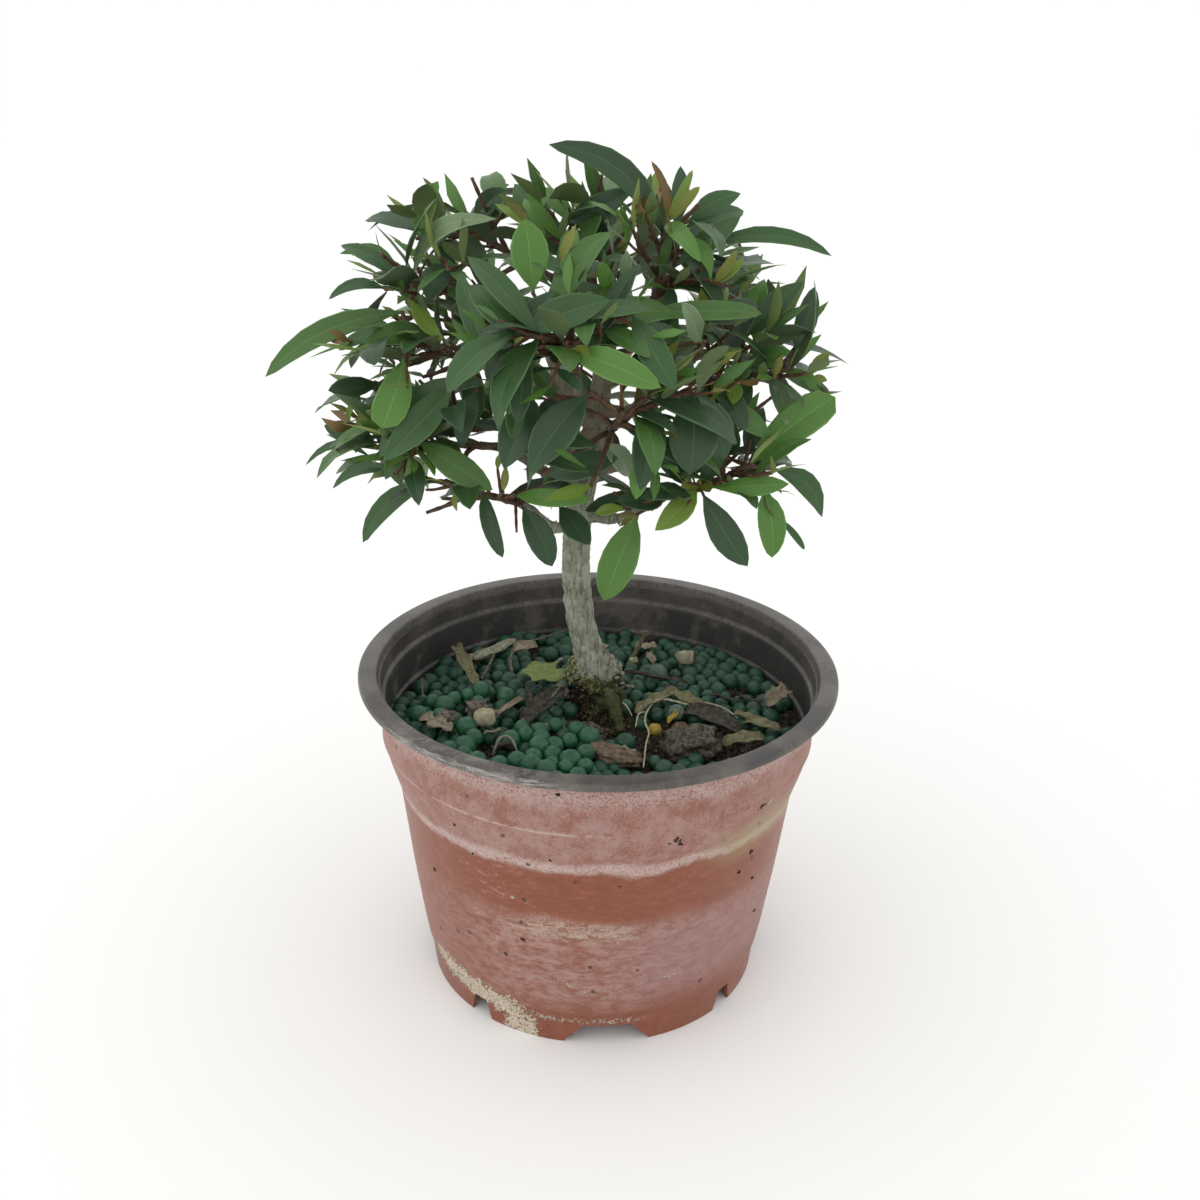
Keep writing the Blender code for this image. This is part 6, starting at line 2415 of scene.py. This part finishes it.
class Mass:
    """A mass as it grows: its name, its room and the pieces that it has so far."""

    def __init__(self, name: str, space: Space, twigs: list[Twig], leaves: list[Leaf], seed: int) -> None:
        """Starts a mass.

        Args:
            name: Its name.
            space: The crown's room.
            twigs: Its frame's twigs.
            leaves: Its marked leaves.
            seed: For the colours of its sprays.
        """
        self.name = name
        self.space = space
        self.twigs = list(twigs)
        self.leaves = list(leaves)
        self.spacing = LEAF_SPACING
        self.spines: list[Vector] = []
        self.trees: list[BVHTree] = []
        self.index()
        self.palette = random.Random(seed + 700)
        self.tone = Tone.DARK

    def index(self) -> None:
        """Lists afresh where its pieces are."""
        self.spines = [leaf.point(share) for leaf in self.leaves for share in SPINE]
        self.trees = [tree_of([twig_parts(t)]) for t in self.twigs]
        self.trees += [tree_of([leaf_parts(leaf)]) for leaf in self.leaves]

    def make_way(self, leaf: Leaf) -> None:
        """Drops the leaves of its own growth that a marked leaf would cut."""
        tree = tree_of([leaf_parts(leaf)])
        first = len(self.twigs)
        kept = [
            own
            for own, other in zip(self.leaves, self.trees[first:])
            if own.marked or not tree.overlap(other)
        ]
        if len(kept) < len(self.leaves):
            self.leaves = kept
            self.index()

    def next_spray(self) -> None:
        """Deals out the next spray's colour: dark ones mostly."""
        deal = self.palette.random()
        levels = ((0.36, Tone.DARK), (0.70, Tone.DEEP), (0.90, Tone.MID), (0.98, Tone.FRESH), (1.0, Tone.LIME))
        self.tone = next(tone for level, tone in levels if deal <= level)

    def add_twig(self, line: list[Vector], radii: tuple[float, float] = SHOOT_RADII, fine: bool = False) -> bool:
        """Adds a shoot if it keeps to the mass's room.

        Args:
            line: Its line.
            radii: Its radius at both ends.
            fine: Whether it is one of the finest.

        Returns:
            Whether it was added.
        """
        if not all(self.space.free(self.name, p) for p in resample(line[1:], 3 * MM)):
            return False
        self.twigs.append(Twig(line, radii, fine))
        self.trees.append(tree_of([twig_parts(self.twigs[-1])]))
        return True

    def add_leaf(self, leaf: Leaf) -> bool:
        """Adds a leaf if its blade keeps to the mass's room and cuts no other piece."""
        spine = [leaf.point(share) for share in SPINE]
        edge = [leaf.point(share, across) for share in (0.4, 0.75) for across in (-0.9, 0.9)]
        if any((a - b).length < self.spacing for a in spine for b in self.spines):
            return False
        if not all(self.space.free(self.name, place) for place in spine + edge):
            return False
        parts = leaf_parts(leaf)
        if self.space.crosses(self.name, parts):
            return False
        blade = Leaf(leaf.point(BARE_STALK), leaf.tip, leaf.normal, leaf.width, leaf.arch)
        outer = tree_of([leaf_parts(blade)])
        if any(outer.overlap(tree) for tree in self.trees):
            return False
        leaf.tone = self.tone
        if leaf.young:
            leaf.tone = self.palette.choice((Tone.YOUNG, Tone.LIME, Tone.MID, Tone.MID, Tone.FRESH, Tone.FRESH))
        self.leaves.append(leaf)
        self.spines += spine
        self.trees.append(tree_of([parts]))
        return True


def grow_leaf(
    root: Vector, way: Vector, out: Vector, size: float, young: bool, mass: Mass, rng: random.Random
) -> None:
    """Tries a few slightly different leaves at one place, and keeps the first that fits.

    Args:
        root: Its root.
        way: The shoot's direction.
        out: The side that it grows to.
        size: Its length.
        young: Whether it is a young one at a shoot's tip.
        mass: The mass that it joins.
        rng: Where its random sizes come from.
    """
    for attempt in range(LEAF_TRIES):
        swing = rng.uniform(-0.3, 0.3) * (1 + 0.4 * attempt)
        opening = math.radians(rng.uniform(22, 38) if young else rng.uniform(50, 74))
        side = (out + way.cross(out) * swing).normalized()
        aim = way * math.cos(opening) + side * math.sin(opening)
        aim = (aim - UP * (rng.uniform(-0.35, 0.0) if young else rng.uniform(0.0, 0.5))).normalized()
        outward = Vector((root.x, root.y, 0.0)).normalized()
        face = UP + outward * rng.uniform(0.1, 0.9) + side * rng.uniform(-0.4, 0.4)
        length = size * rng.uniform(0.85, 1.2) * (1 - 0.06 * attempt)
        width = length * (0.26 if young else rng.uniform(0.33, 0.42))
        arch = rng.uniform(0.0, 0.04) if young else rng.uniform(0.03, 0.12)
        leaf = Leaf(root, root + aim * length, side_of(aim, face), width, arch, young=young)
        if mass.add_leaf(leaf):
            return


def grow_pairs(
    line: list[Vector],
    size: float,
    phase: float,
    ends: bool,
    mass: Mass,
    rng: random.Random,
    internode: float = INTERNODE,
) -> None:
    """Opposite leaves along a shoot, each pair square to the last; a young pair ends it.

    Args:
        line: The shoot's line.
        size: The leaves' length.
        phase: The first pair's turn.
        ends: Whether a young pair ends it.
        mass: The mass that they join.
        rng: Where the random sizes come from.
        internode: The gap between pairs.
    """
    mass.next_spray()
    nodes = max(2, round(length_of(line) / internode))
    for k in range(1, nodes + 1):
        young = ends and k == nodes
        if k == nodes and not ends:
            break
        place, way = along(line, k / nodes * 0.97)
        across = side_of(way)
        turn = phase + k * math.pi / 2 + rng.uniform(-0.3, 0.3)
        out = across * math.cos(turn) + way.cross(across) * math.sin(turn)
        scale = 0.5 if young else 1.08 - 0.25 * k / nodes
        for sign in (1, -1):
            root = place + out * sign * 0.1 * MM
            grow_leaf(root, way, out * sign, size * scale, young, mass, rng)


def crown_share(place: Vector) -> float:
    """How far out in the crown a place lies: 0 at its middle, 1 at the edge of its room."""
    away = place - CROWN_CENTRE
    return math.sqrt(sum((away[i] / CROWN_REACH[i]) ** 2 for i in range(3)))


def main_stem(bough: Bough) -> list[Vector]:
    """The line of a mass's main stem, from just clear of its bough's tip."""
    tip, reach = Vector(bough.tip) * MM, Vector(bough.reach) * MM
    leader_heading = trunk_at(TRUNK_LINE[-1][2] * MM)[1]
    heading = leader_heading if bough is LEADER else (reach - tip).normalized()
    start = tip + heading * CLEARANCE
    length = (reach - start).length
    return bezier(
        start, start + heading * length * 0.4, reach - (heading + UP * 0.3) * length * 0.3, reach, 4
    )


def attach(stem: list[Vector], row: MarkedRow, rank: int) -> tuple[list[Twig], Leaf]:
    """A marked leaf and the twig that carries it, where it doesn't sit on the stem itself.

    Args:
        stem: The mass's main stem.
        row: The leaf's row in MARKED_LEAVES or FINER_LEAVES.
        rank: How many leaves the stem has before it.

    Returns:
        The twigs, none or one, and the leaf.
    """
    _, root, tip, width, tone, lift, sickle = row
    blunt = root in ROUND_TIPS
    root, tip = place_of(root) * MM, place_of(tip) * MM
    shares = [i / 40 for i in range(41)]
    near = min(shares, key=lambda share: (along(stem, share)[0] - root).length)
    away = (along(stem, near)[0] - root).length
    twigs = []
    if away < SESSILE:
        root, _ = along(stem, min(near, 0.95))
    else:
        place, way = along(stem, max(0.05 + 0.035 * rank, near - away / 60.0 / MM))
        span = (root - place).length
        line = bezier(place, place + way * span * 0.35, root.lerp(place, 0.35), root, 3)
        twigs.append(Twig(line, SHOOT_RADII))
        root, _ = along(line, 0.97)
    outward = Vector((root.x, root.y, 0.0)).normalized()
    normal = side_of((tip - root).normalized(), UP + outward * 0.9)
    face = side_of((tip - root).normalized(), SHOW_FACE)
    return twigs, Leaf(root, tip, normal, width * MM, 0.08, True, tone, sickle, lift, blunt=blunt, face=face)


def frame_mass(bough: Bough) -> tuple[list[Twig], list[Leaf]]:
    """A mass's main stem with the twigs to its marked leaves, and those leaves."""
    stem = main_stem(bough)
    twigs, leaves = [Twig(stem, STEM_RADII)], []
    for row in MARKED_LEAVES:
        if row[0] == bough.name:
            more, leaf = attach(stem, row, len(leaves))
            twigs += more
            leaves.append(leaf)
    return twigs, leaves


def grow_mass(bough: Bough, mass: Mass) -> None:
    """Fills a mass's frame with leaf pairs, and adds shoots round its stem by the golden angle."""
    rng = random.Random(bough.seed)
    size = bough.leaf * MM
    turn = rng.uniform(0, 2 * math.pi)
    for twig in mass.twigs[1:]:
        turn += GOLDEN
        grow_pairs(twig.line, size, turn, False, mass, rng)
    stem = mass.twigs[0].line
    for k in range(bough.shoots):
        share = 0.2 + 0.75 * (k + 0.5) / bough.shoots
        place, way = along(stem, share)
        across = side_of(way)
        turn += GOLDEN
        for attempt in range(LEAF_TRIES):
            angle = turn + attempt * 1.1
            out = across * math.cos(angle) + way.cross(across) * math.sin(angle)
            opening = math.radians(66 - 26 * share + rng.uniform(-8, 8))
            aim = (way * math.cos(opening) + out * math.sin(opening) + UP * 0.15).normalized()
            grown = bough.shoot_length * MM * rng.uniform(0.8, 1.15) * (1 - 0.08 * attempt)
            end = place + aim * grown
            bent = end - (aim + UP * 0.3) * grown * 0.25
            line = bezier(place, place + aim * grown * 0.4, bent, end, 2)
            if mass.add_twig(line):
                grow_pairs(line, size, turn, True, mass, rng)
                break
    grow_pairs(stem[1:], size, turn, True, mass, rng)


@dataclass
class Crown:
    """The crown's twigs and leaves, grown by the solids' rule and then carried to finer twigs."""

    fine_step: float = 8.5
    fine_length: tuple[float, float] = (7.0, 13.0)
    fine_leaf: tuple[float, float] = (15.0, 23.0)
    fine_tries: int = 4
    fine_internode: float = 6.0
    fine_reach: float = 0.80  # how far out fine twigs grow, as a share of the crown's room
    tuft: tuple[float, float] = (4.5, 8.0)
    tuft_share: float = 0.17
    outer: float = 0.62
    hem: tuple[float, float] = (156.0, -0.355)  # its height over the pot's axis, and its rise towards the back
    clearings: tuple = (
        # where only marked leaves hang: the middle of a rounded room, and its reach
        ((1.0, -32.0, 187.0), (11.0, 26.0, 19.0)),
        ((19.0, -10.0, 151.0), (14.0, 50.0, 9.0)),
        ((-46.0, -5.0, 145.0), (22.0, 60.0, 13.0)),
        ((57.0, -5.0, 180.0), (5.0, 40.0, 5.0)),
    )
    seed: int = 900

    def grow(self) -> list[Mass]:
        """Every mass with its twigs and leaves."""
        space = Space()
        frames = {bough.name: frame_mass(bough) for bough in MASSES}
        for name, (twigs, leaves) in frames.items():
            space.settle(name, twigs, leaves)
        space.divide()
        crown = []
        for bough in MASSES:
            mass = Mass(bough.name, space, *frames[bough.name], bough.seed)
            grow_mass(bough, mass)
            self.book(space, mass)
            crown.append(mass)
        self.add_finer_marks(crown)
        for mass in crown:
            self.book(space, mass)
        for bough, mass in zip(MASSES, crown):
            self.grow_finer(bough, mass)
            mass.leaves = [leaf for leaf in mass.leaves if leaf.marked or not self.cleared(leaf)]
            mass.twigs = [twig for twig in mass.twigs if not (twig.fine and self.open_air(twig.line[-1]))]
            self.book(space, mass)
        return crown

    def cleared(self, leaf: Leaf) -> bool:
        """Whether a leaf hangs under the crown's hem or where the crown is open."""
        level, slope = self.hem
        if any(place.z < level * MM + slope * place.y for place in (leaf.point(0.6), leaf.tip)):
            return True
        return self.open_air(leaf.point(0.5)) or self.open_air(leaf.tip)

    def open_air(self, place: Vector) -> bool:
        """Whether a place lies where the crown is open."""
        for centre, reach in self.clearings:
            offset = place / MM - Vector(centre)
            if sum((offset[i] / reach[i]) ** 2 for i in range(3)) < 1:
                return True
        return False

    @staticmethod
    def add_finer_marks(crown: Sequence[Mass]) -> None:
        """Adds the finer twigs' marked leaves, and drops the leaves that they would cut."""
        masses = {mass.name: mass for mass in crown}
        for mass in crown:
            mass.index()
        for row in FINER_LEAVES:
            mass = masses[row[0]]
            twigs, leaf = attach(mass.twigs[0].line, row, 3)
            for other in crown:
                other.make_way(leaf)
            mass.twigs += twigs
            mass.leaves.append(leaf)
            mass.index()

    @staticmethod
    def book(space: Space, mass: Mass) -> None:
        """Books the room that a mass has grown into."""
        parts = [twig_parts(t) for t in mass.twigs] + [leaf_parts(leaf) for leaf in mass.leaves]
        space.solids[mass.name] = tree_of(parts)

    def grow_finer(self, bough: Bough, mass: Mass) -> None:
        """Adds fine side twigs with small leaf pairs along every twig of a mass.

        Args:
            bough: The bough that carries the mass.
            mass: The mass.
        """
        rng = random.Random(bough.seed + self.seed)
        mass.spacing = FINE_SPACING
        turn = rng.uniform(0, math.tau)
        for twig in list(mass.twigs):
            count = max(1, int(length_of(twig.line) / MM / self.fine_step))
            for k in range(count):
                place, way = along(twig.line, (k + 0.7) / count)
                across = side_of(way)
                turn += GOLDEN
                for attempt in range(self.fine_tries):
                    angle = turn + attempt * 1.25
                    out = across * math.cos(angle) + way.cross(across) * math.sin(angle)
                    opening = math.radians(rng.uniform(38, 66))
                    aim = (way * math.cos(opening) + out * math.sin(opening) + UP * 0.2).normalized()
                    grown = rng.uniform(*self.fine_length) * MM * (1 - 0.1 * attempt)
                    end = place + aim * grown
                    line = bezier(place, place + aim * grown * 0.4, end - (aim + UP * 0.3) * grown * 0.25, end, 3)
                    if crown_share(end) < self.fine_reach and mass.add_twig(line, FINE_RADII, True):
                        size, before = rng.uniform(*self.fine_leaf) * MM, len(mass.leaves)
                        grow_pairs(line, size, turn, True, mass, rng, self.fine_internode * MM)
                        if len(mass.leaves) == before:
                            mass.twigs.pop()
                        break

    def make(self) -> None:
        """Builds the twigs, leaves and tip tufts of the whole crown."""
        crown = self.grow()
        nodes = [f"foliage_{mass.name}" for mass in crown]
        leaves = [leaf for mass in crown for leaf in mass.leaves]
        twigs = [twig for mass in crown for twig in mass.twigs]
        tufts = self.tip_tufts(twigs)
        log.info("crown: %d leaves, %d twigs, %d tuft leaves", len(leaves), len(twigs), len(tufts))
        Foliage().make([*leaves, *tufts], nodes)
        TwigWork().make(crown, nodes)

    def tip_tufts(self, twigs: Sequence[Twig]) -> list[Leaf]:
        """Young leaves, in a spread pair or two, at the tips of some outer twigs."""
        rng = random.Random(self.seed + 1)
        tufts = []
        for twig in twigs:
            end, way = along(twig.line, 1.0)
            share = self.tuft_share * (0.5 if twig.fine else 1.0)
            if crown_share(end) < self.outer or rng.random() > share:
                continue
            across = side_of(way)
            turn = rng.uniform(0, math.tau)
            tone = rng.choice((Tone.YOUNG, Tone.YOUNG, Tone.LIME, Tone.LIME, Tone.BRONZE, Tone.FRESH, Tone.FRESH))
            for k in range(rng.choice((2, 2, 4))):
                angle = turn + k % 2 * math.pi + k // 2 * math.pi / 2
                out = across * math.cos(angle) + way.cross(across) * math.sin(angle)
                aim = (way + out * rng.uniform(0.25, 0.7) + UP * rng.uniform(0.0, 0.4)).normalized()
                length = rng.uniform(*self.tuft) * MM * (1.0 if k < 2 else 0.6)
                normal = side_of(aim, way * 0.3 - out)
                bend = rng.uniform(-0.16, -0.04)
                tufts.append(Leaf(end, end + aim * length, normal, length * 0.36, bend, tone=tone, young=True))
        return tufts


@dataclass
class Foliage:
    """Turns leaves into thin blades with a rib, rolled margins and a paler underside."""

    rows: tuple[float, ...] = (0.0, 0.07, 0.2, 0.35, 0.5, 0.65, 0.8, 0.92)
    young_rows: tuple[float, ...] = (0.0, 0.1, 0.35, 0.65)
    edge: float = 0.90
    rib: float = 0.036
    thickness: float = 0.16
    fold: float = 0.34
    roll: float = 0.30
    stalk: float = 0.45
    droop: float = 1.5
    stretch: float = 1.2
    young_stretch: float = 1.35
    widen: float = 1.06
    young_widen: float = 1.3
    trim: float = 0.9
    strap: float = 3.9  # a leaf longer than this many widths has straighter sides
    seed: int = 41

    def outline(self, share: float, belly: float, point: float) -> float:
        """The blade's half width at a share of its length, 1 at its widest."""
        t = max((share - 0.05) / 0.95, 0.0)
        rise = point * belly / (1 - belly)
        top = belly**rise * (1 - belly) ** point
        return t**rise * (1 - t) ** point / top

    def blade(self, leaf: Leaf, rng: random.Random) -> dict[str, Parts]:
        """One leaf in three layers.

        Args:
            leaf: The leaf.
            rng: Where its small differences come from.

        Returns:
            The parts of its upper side, its underside, and its rib and margin.
        """
        rows = self.young_rows if leaf.young else self.rows
        chord = leaf.tip - leaf.root
        if not leaf.marked:
            chord = chord * (self.young_stretch if leaf.young else self.stretch)
        length = chord.length
        facing = leaf.face or leaf.normal
        side = chord.cross(facing).normalized()
        breadth = leaf.width * (self.trim if leaf.marked else self.widen)
        if leaf.young:
            breadth = leaf.width * self.young_widen
        lift = leaf.arch * self.droop if leaf.lift is None else leaf.lift
        sickle = leaf.sickle + rng.uniform(-0.05, 0.05)
        late = rng.uniform(0.1, 0.9)
        belly, point = rng.uniform(0.43, 0.56), rng.uniform(0.68, 0.98)
        if length > self.strap * breadth:
            belly, point = 0.48, 0.60
        if leaf.blunt:
            belly, point = 0.66, 0.42
        fold, twist = self.fold * rng.uniform(0.5, 1.5), rng.uniform(-0.35, 0.35)
        wave = rng.uniform(0.0, 0.05) * leaf.width
        columns = (-1.0, -self.edge, -self.rib, self.rib, self.edge, 1.0)
        if leaf.young:
            columns = (-1.0, -self.rib, self.rib, 1.0)
        top, under = [], []
        for share in rows:
            rise = 4 * lift * length * share * (1 - share) * (1 + late * (share - 0.5))
            bend = 4 * sickle * length * share * (1 - share)
            middle = leaf.root + chord * share + facing * rise + side * bend
            half = self.outline(share, belly, point) * breadth / 2
            half = max(half, min(self.stalk * MM, breadth * 0.12))
            spin = Matrix.Rotation(twist * (share - 0.4), 3, chord.normalized())
            across, normal = spin @ side, spin @ facing
            for s in columns:
                cup = fold * abs(s) * half - self.roll * half * s**4
                ripple = wave * math.sin(share * 14 + 3 * s) * abs(s)
                top.append(middle + across * s * half + normal * (cup + ripple))
            under.append(middle - normal * self.thickness * MM)
        top.append(leaf.root + chord)
        wide, last = len(columns), len(rows) - 1
        tip = len(top) - 1
        parts: dict[str, Parts] = {layer: (top, []) for layer in ("upper", "rib")}
        parts["under"] = (top + under, [])
        pale = (wide // 2 - 1,) if leaf.young else (0, wide // 2 - 1, wide - 2)
        for i in range(len(rows)):
            for j in range(wide - 1):
                a, b = i * wide + j, i * wide + j + 1
                face = [a, b, b + wide, a + wide] if i < last else [a, b, tip]
                parts["rib" if j in pale else "upper"][1].append(face)
            left, right, middle = i * wide, i * wide + wide - 1, len(top) + i
            if i < last:
                parts["under"][1].append([left, left + wide, middle + 1, middle])
                parts["under"][1].append([middle, middle + 1, right + wide, right])
            else:
                parts["under"][1].append([left, tip, middle])
                parts["under"][1].append([middle, tip, right])
        return parts

    def make(self, leaves: Sequence[Leaf], nodes: Sequence[str]) -> None:
        """Builds one piece for each colour and layer.

        Args:
            leaves: Every leaf.
            nodes: The CAD masses that the leaves stand for.
        """
        rng = random.Random(self.seed)
        shapes = {(tone, layer): Shape() for tone in Tone for layer in ("upper", "under", "rib")}
        for leaf in leaves:
            for layer, parts in self.blade(leaf, rng).items():
                shapes[leaf.tone, layer].add(*parts)
        for (tone, layer), shape in shapes.items():
            if not shape.faces:
                continue
            finish = tone.finish(("upper", "under", "rib").index(layer))
            mesh = shape.mesh(finish.name)
            self.drop_loose(mesh)
            name = f"leaves_{tone.value[0]}_{layer}"
            finish_piece(name, mesh, finish.make(), nodes)

    @staticmethod
    def drop_loose(mesh: bpy.types.Mesh) -> None:
        """Drops points that no face uses."""
        made = bmesh.new()
        made.from_mesh(mesh)
        loose = [vertex for vertex in made.verts if not vertex.link_faces]
        bmesh.ops.delete(made, geom=loose, context="VERTS")
        made.to_mesh(mesh)
        made.free()


@dataclass
class TwigWork:
    """Turns twig lines into tubes: grey-brown stems, red-brown shoots, swollen at their nodes."""

    stem_sides: int = 8
    shoot_sides: int = 6
    step: float = 1.5
    node_gap: float = 4.5
    node_swell: float = 0.22
    sink: float = 1.2

    def tube(self, twig: Twig, sides: int) -> Parts:
        """A smooth tube about a twig with swollen nodes.

        Args:
            twig: The twig.
            sides: The points of a ring.

        Returns:
            The points and the faces.
        """
        smooth = spline([tuple(p) for p in twig.line], 5)
        line = resample(smooth, self.step * MM)
        line[0] = line[0] - (line[1] - line[0]).normalized() * self.sink * MM
        radii, gone = [], 0.0
        whole = length_of(line)
        for i, place in enumerate(line):
            gone += (place - line[i - 1]).length if i else 0.0
            radius = twig.radii[0] + (twig.radii[1] - twig.radii[0]) * gone / whole
            near = abs(math.remainder(gone / MM, self.node_gap))
            wobble = 1 + self.node_swell * math.exp(-near * near) + 0.12 * noise.noise(place / MM * 0.6)
            radii.append(radius * wobble)
        return tube_parts(line, radii, sides)

    def make(self, crown: Sequence[Mass], nodes: Sequence[str]) -> None:
        """Builds the stems, the shoots and the finest twigs.

        Args:
            crown: The grown masses.
            nodes: The CAD masses that they stand for.
        """
        stems, shoots, fine = Shape(), Shape(), Shape()
        for mass in crown:
            stems.add(*self.tube(mass.twigs[0], self.stem_sides))
            for twig in mass.twigs[1:]:
                (fine if twig.fine else shoots).add(*self.tube(twig, self.shoot_sides))
        pieces = (
            ("main_stems", stems, TwigFinish("stem_bark", tint(112, 96, 74), tint(70, 56, 44)), Slot.BARK),
            ("shoots", shoots, TwigFinish("shoot_bark", tint(104, 78, 56), tint(68, 52, 40)), Slot.BARK),
            ("fine_twigs", fine, TwigFinish("twig_bark", tint(112, 74, 50), tint(78, 58, 40)), Slot.BARK),
        )
        for name, shape, finish, slot in pieces:
            finish_piece(name, shape.mesh(name), finish.make(), nodes)


# ---- Studio ----------------------------------------------------------------------------------------------
@dataclass
class Studio:
    """A plain pale floor, soft light and the camera."""

    eye: tuple[float, float, float] = (0.0, -397.1, 298.45)
    pitch: float = 23.445
    roll: float = 1.26
    lens: float = 42.0
    floor_size: float = 600.0
    floor_colour: Colour = (0.94, 0.945, 0.93, 1.0)
    sky: float = 1.07

    def camera(self) -> None:
        """The camera: it looks down at the plant from the front."""
        data = bpy.data.cameras.new("camera")
        data.lens = self.lens
        data.sensor_width = 36.0
        data.clip_start = 0.01
        data.clip_end = 1000.0
        obj = bpy.data.objects.new("camera", data)
        bpy.context.scene.collection.objects.link(obj)
        place = Vector(self.eye) * MM + POT_AXIS
        look = Matrix.Rotation(math.radians(90.0 - self.pitch), 4, "X")
        spin = Matrix.Rotation(math.radians(self.roll), 4, "Z")
        obj.matrix_world = Matrix.Translation(place) @ look @ spin
        bpy.context.scene.camera = obj

    def floor(self) -> None:
        """The floor, which isn't part of the object."""
        half = self.floor_size / 2
        corners = [Vector((x, y, 0.0)) for x, y in ((-half, -half), (half, -half), (half, half), (-half, half))]
        shape = Shape()
        shape.add(corners, [[0, 1, 2, 3]])
        obj = put("floor", shape.mesh("floor"))
        material = bpy.data.materials.new("floor_paper")
        material.use_nodes = True
        shader = material.node_tree.nodes["Principled BSDF"]
        shader.inputs["Base Color"].default_value = self.floor_colour
        shader.inputs["Roughness"].default_value = 0.8
        shader.inputs["Specular IOR Level"].default_value = 0.1
        obj.data.materials.append(material)

    def light(self, name: str, place: Sequence[float], size: float, power: float) -> None:
        """One square soft light that faces the plant.

        Args:
            name: Its name.
            place: Where it is, in metres.
            size: Its side, in metres.
            power: Its power, in watts.
        """
        data = bpy.data.lights.new(name, "AREA")
        data.shape = "SQUARE"
        data.size = size
        data.energy = power
        obj = bpy.data.objects.new(name, data)
        bpy.context.scene.collection.objects.link(obj)
        obj.location = Vector(place)
        aim = Vector((0.0, 0.0, 0.14)) + POT_AXIS - obj.location
        obj.rotation_euler = aim.to_track_quat("-Z", "Y").to_euler()

    def make(self) -> None:
        """Builds the floor, the lights and the camera."""
        scene = bpy.context.scene
        scene.view_settings.view_transform = "Standard"
        world = bpy.data.worlds.new("sky")
        world.use_nodes = True
        back = world.node_tree.nodes["Background"]
        back.inputs["Color"].default_value = (1.0, 1.0, 1.0, 1.0)
        back.inputs["Strength"].default_value = self.sky
        scene.world = world
        self.floor()
        self.light("key", (-1.1, -0.6, 0.9), 1.8, 3.6)
        self.camera()


def main() -> None:
    """Builds every sub-assembly in order."""
    logging.basicConfig(level=logging.INFO, format="%(name)s: %(message)s")
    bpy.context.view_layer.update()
    Studio().make()
    pot = Pot()
    pot.make()
    Splashes(pot).make()
    mix = PottingMix()
    mix.make()
    Topping(mix).make()
    BarkSkin().make()
    Moss().make(mix)
    Crown().make()


if __name__ == "__main__":
    main()
